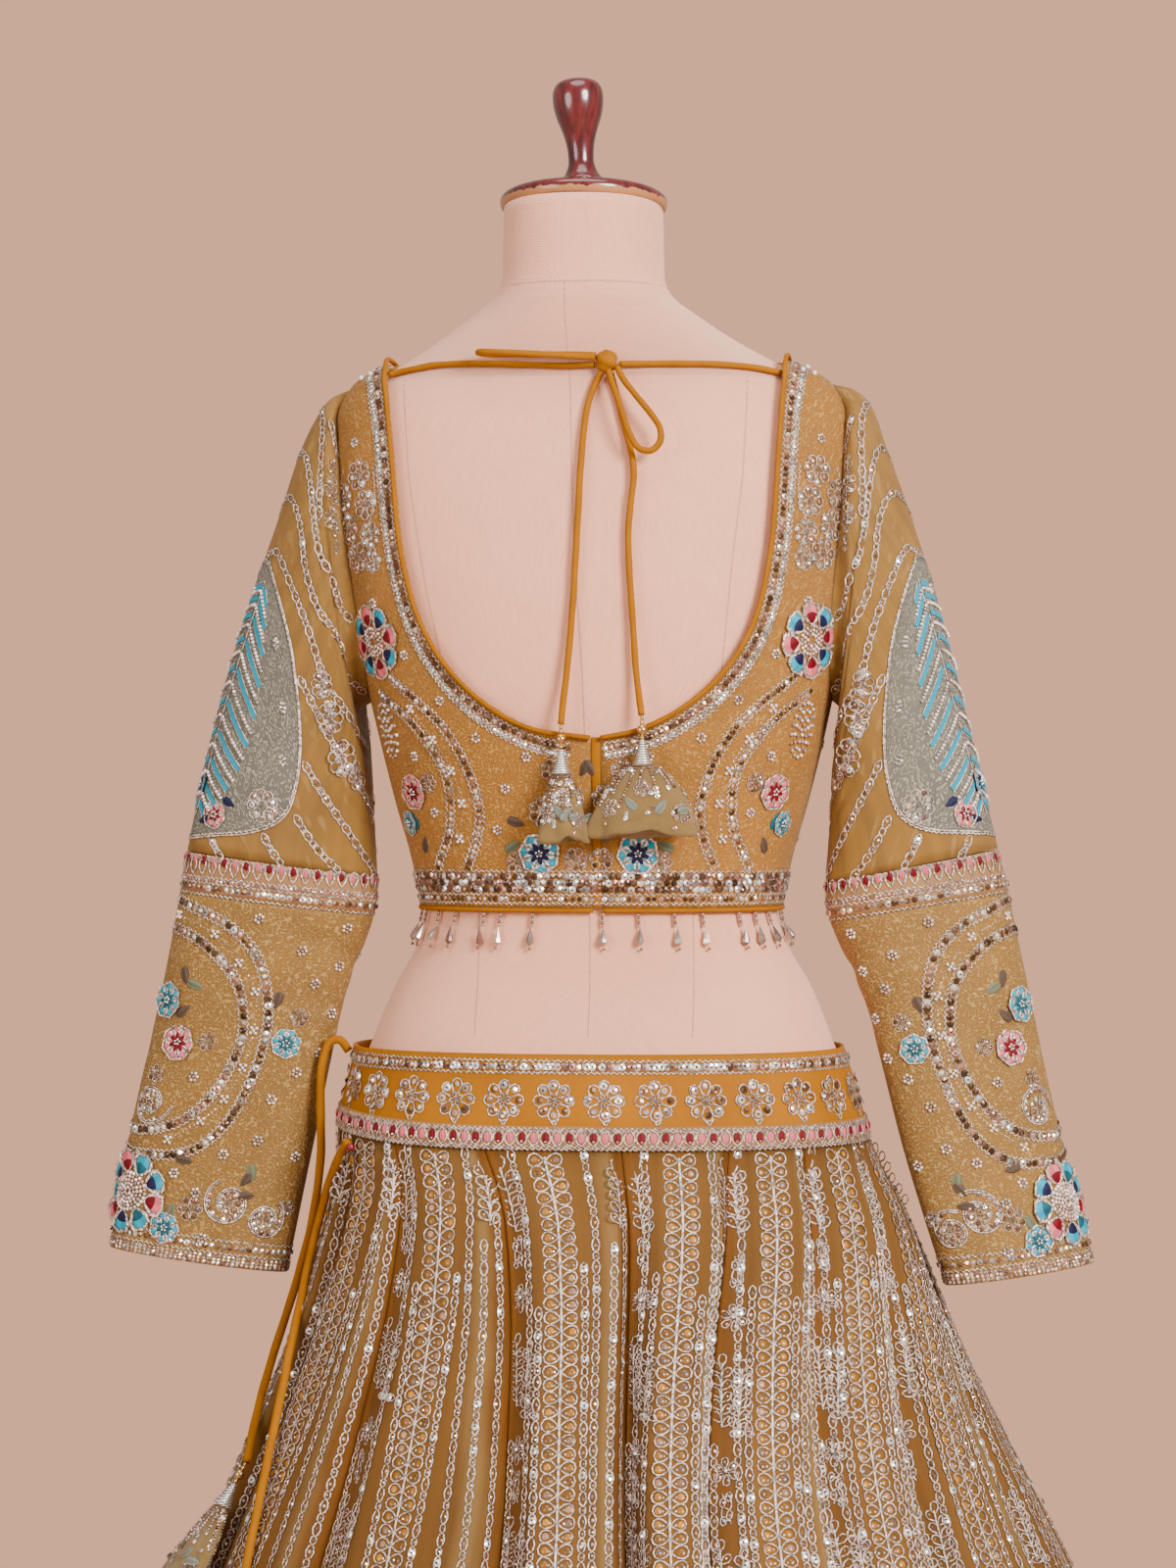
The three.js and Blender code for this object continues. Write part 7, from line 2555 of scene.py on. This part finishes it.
for phase, name in enumerate(LATKANS):
    place = puff_place(name, phase * 1.7)
    mesh = bent_grid(f"puff_{name}_organza", 40, 16, lambda u, v: place(u, 1 - v), tube=True, caps=True)
    finished(mesh, puff_organza, f"puff_{name}", "latkan_cloth")
    needlework[f"puff_{name}"] = [puff_needlework(name, place)]
print("puffs:", [TRIANGLES[f"puff_{name}_needlework"] for name in LATKANS])

# %% [markdown]
# ### Seams of the form
# The form's cover is sewn in panels, so a thread lies in each seam with a stitch every few
# millimetres. One more goes round the foot of the neck.

# %% Form seams
FORM_SEAMS = {
    "centre back": (points("-8 1622, -8 1540, -7 1430, -3 1300, -1 1200, 0 1150"), 1571),
    "princess left": (points("-128 1507, -124 1440, -112 1360, -100 1300, -88 1230, -80 1150"), 1507),
    "princess right": (points("116 1507, 111 1440, 100 1360, 92 1300, 80 1230, 72 1150"), 1507),
}
SEAM_BOTTOM, NECK_SEAM = 1062, 1572
SEAM_THREAD = np.array((0.7, 0.35, 0.23))
work = Needlework(Ground(body_point, -186, 186, 1000, 1624, 372, 156))
for seam, top in FORM_SEAMS.values():
    z = np.linspace(top, SEAM_BOTTOM, 120)
    angle = angle_at(np.interp(z, seam[::-1, 1], seam[::-1, 0]), z)
    work.cord(angle, z, width=0.9, height=0.1, step=9, tint=SEAM_THREAD, finish=SILK)
    u, v = work.spread(angle, z, 4.4)
    work.copies("bead", u, v, size=0.42, tall=0.75, deep=0.3, tint=SEAM_THREAD * 0.55)
neck_round = level(np.linspace(-180, 180, 90), NECK_SEAM)
work.cord(*neck_round, width=1.2, height=0.12, step=None, tint=SEAM_THREAD, finish=SILK)
work.piece("form_seam_stitches", "form_cloth")
print("stitches on the form:", TRIANGLES["form_seam_stitches"])

# %% [markdown]
# ### Small finishing beads
# A red bead closes the slit where the drawstring leaves the skirt, and sprigs of pearls sit on the
# corners of the neckline.

# %% Finishing beads
work = Needlework(Ground(lambda angle, z: skirt_point(angle, z, 3.2), -186, 186, 940, 985, 372, 20))
exit_x, exit_y, _ = LINES["drawstring_back"][0]
exit_angle = math.degrees(math.atan2(exit_x, -exit_y))
work.copies("seed", exit_angle + 8.5, 979.0, size=3.3, tint=RED)
work.copies("petal", exit_angle + 7.0, 974.0, turn=195, size=6, tall=8, deep=4, tint=(0.3, 0.1, 0.004))
needlework["kali_01"].append(work.piece("drawstring_stop_bead", "crystal_drops"))
work = Needlework(BLOUSE)
for hand in (-1, 1):
    for side, z in ((151, 1508), (155, 1512), (158, 1506)):
        work.copies("seed", *spot(hand, side, z), size=2.0, tint=PEARL_WHITE)
needlework["choli_front"].append(work.piece("neckline_sprigs", "choli_cloth"))
print("drawstring leaves the skirt at", round(exit_angle, 1), "degrees")

# %% [markdown]
# ## What the soft pieces are
# Each cord's length is measured along its line and printed, and each cut panel's size is printed.
# The needlework is listed with the panel it is sewn to.

# %% Cords
CORD_FACTS = {
    "neck_tie_left": ("knot", "taut", ()),
    "neck_tie_right": ("knot", "taut", ()),
    "bow_loop_left": ("knot", "loose", ()),
    "bow_loop_right": ("knot", "loose", ()),
    "neck_tail_left": ("fitting", "hanging", ("neck_left",)),
    "neck_tail_right": ("fitting", "hanging", ("neck_right",)),
    "drawstring_front": ("fitting", "hanging", ("drawstring_front",)),
    "drawstring_back": ("fitting", "hanging", ("drawstring_back",)),
}
for name, (far_end, lay, latkans) in CORD_FACTS.items():
    line = np.array(LINES[name]) * MM
    length = float(np.linalg.norm(np.diff(line, axis=0), axis=1).sum())
    tuple(float(x) for x in line[0])
    2 * cord_radius(name) * MM
    [tuple(float(x) for x in point) for point in line]
    print(name, round(length, 3), "m")

# %% [markdown]
# ### Sheets
# The blouse and the waistband are stretched over the form, the gores are gathered into the band
# and the sleeves hang from the armholes. The borders belong to the front of the blouse.

# %% Sheets
NARROWEST = 0.0101
HELD = {
    "choli": ("stretched", ["form_torso_jersey"]),
    "back_placket": ("laid", ["choli_back_left_panel", "choli_back_right_panel"]),
    "sleeve": ("hung", ["choli_back_left_panel", "choli_back_right_panel"]),
    "kali": ("gathered", ["waistband_satin"]),
    "waistband": ("stretched", ["form_torso_jersey"]),
}
for name, piece in panels.items():
    held, rests_on = next(fact for start, fact in HELD.items() if name.startswith(start))
    width, length, area = cuts[name]
    width = max(width, NARROWEST)
    owned = list(needlework.get(name, []))
    if name == "choli_front":
        owned += needlework["choli_hem"]
    if name.startswith("choli_back"):
        owned += needlework[name.replace("_back", "")]
    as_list(rests_on)
    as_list(owned)
    print(f"{name}: {width:.3f} by {length:.3f} m, {area:.3f} m2")
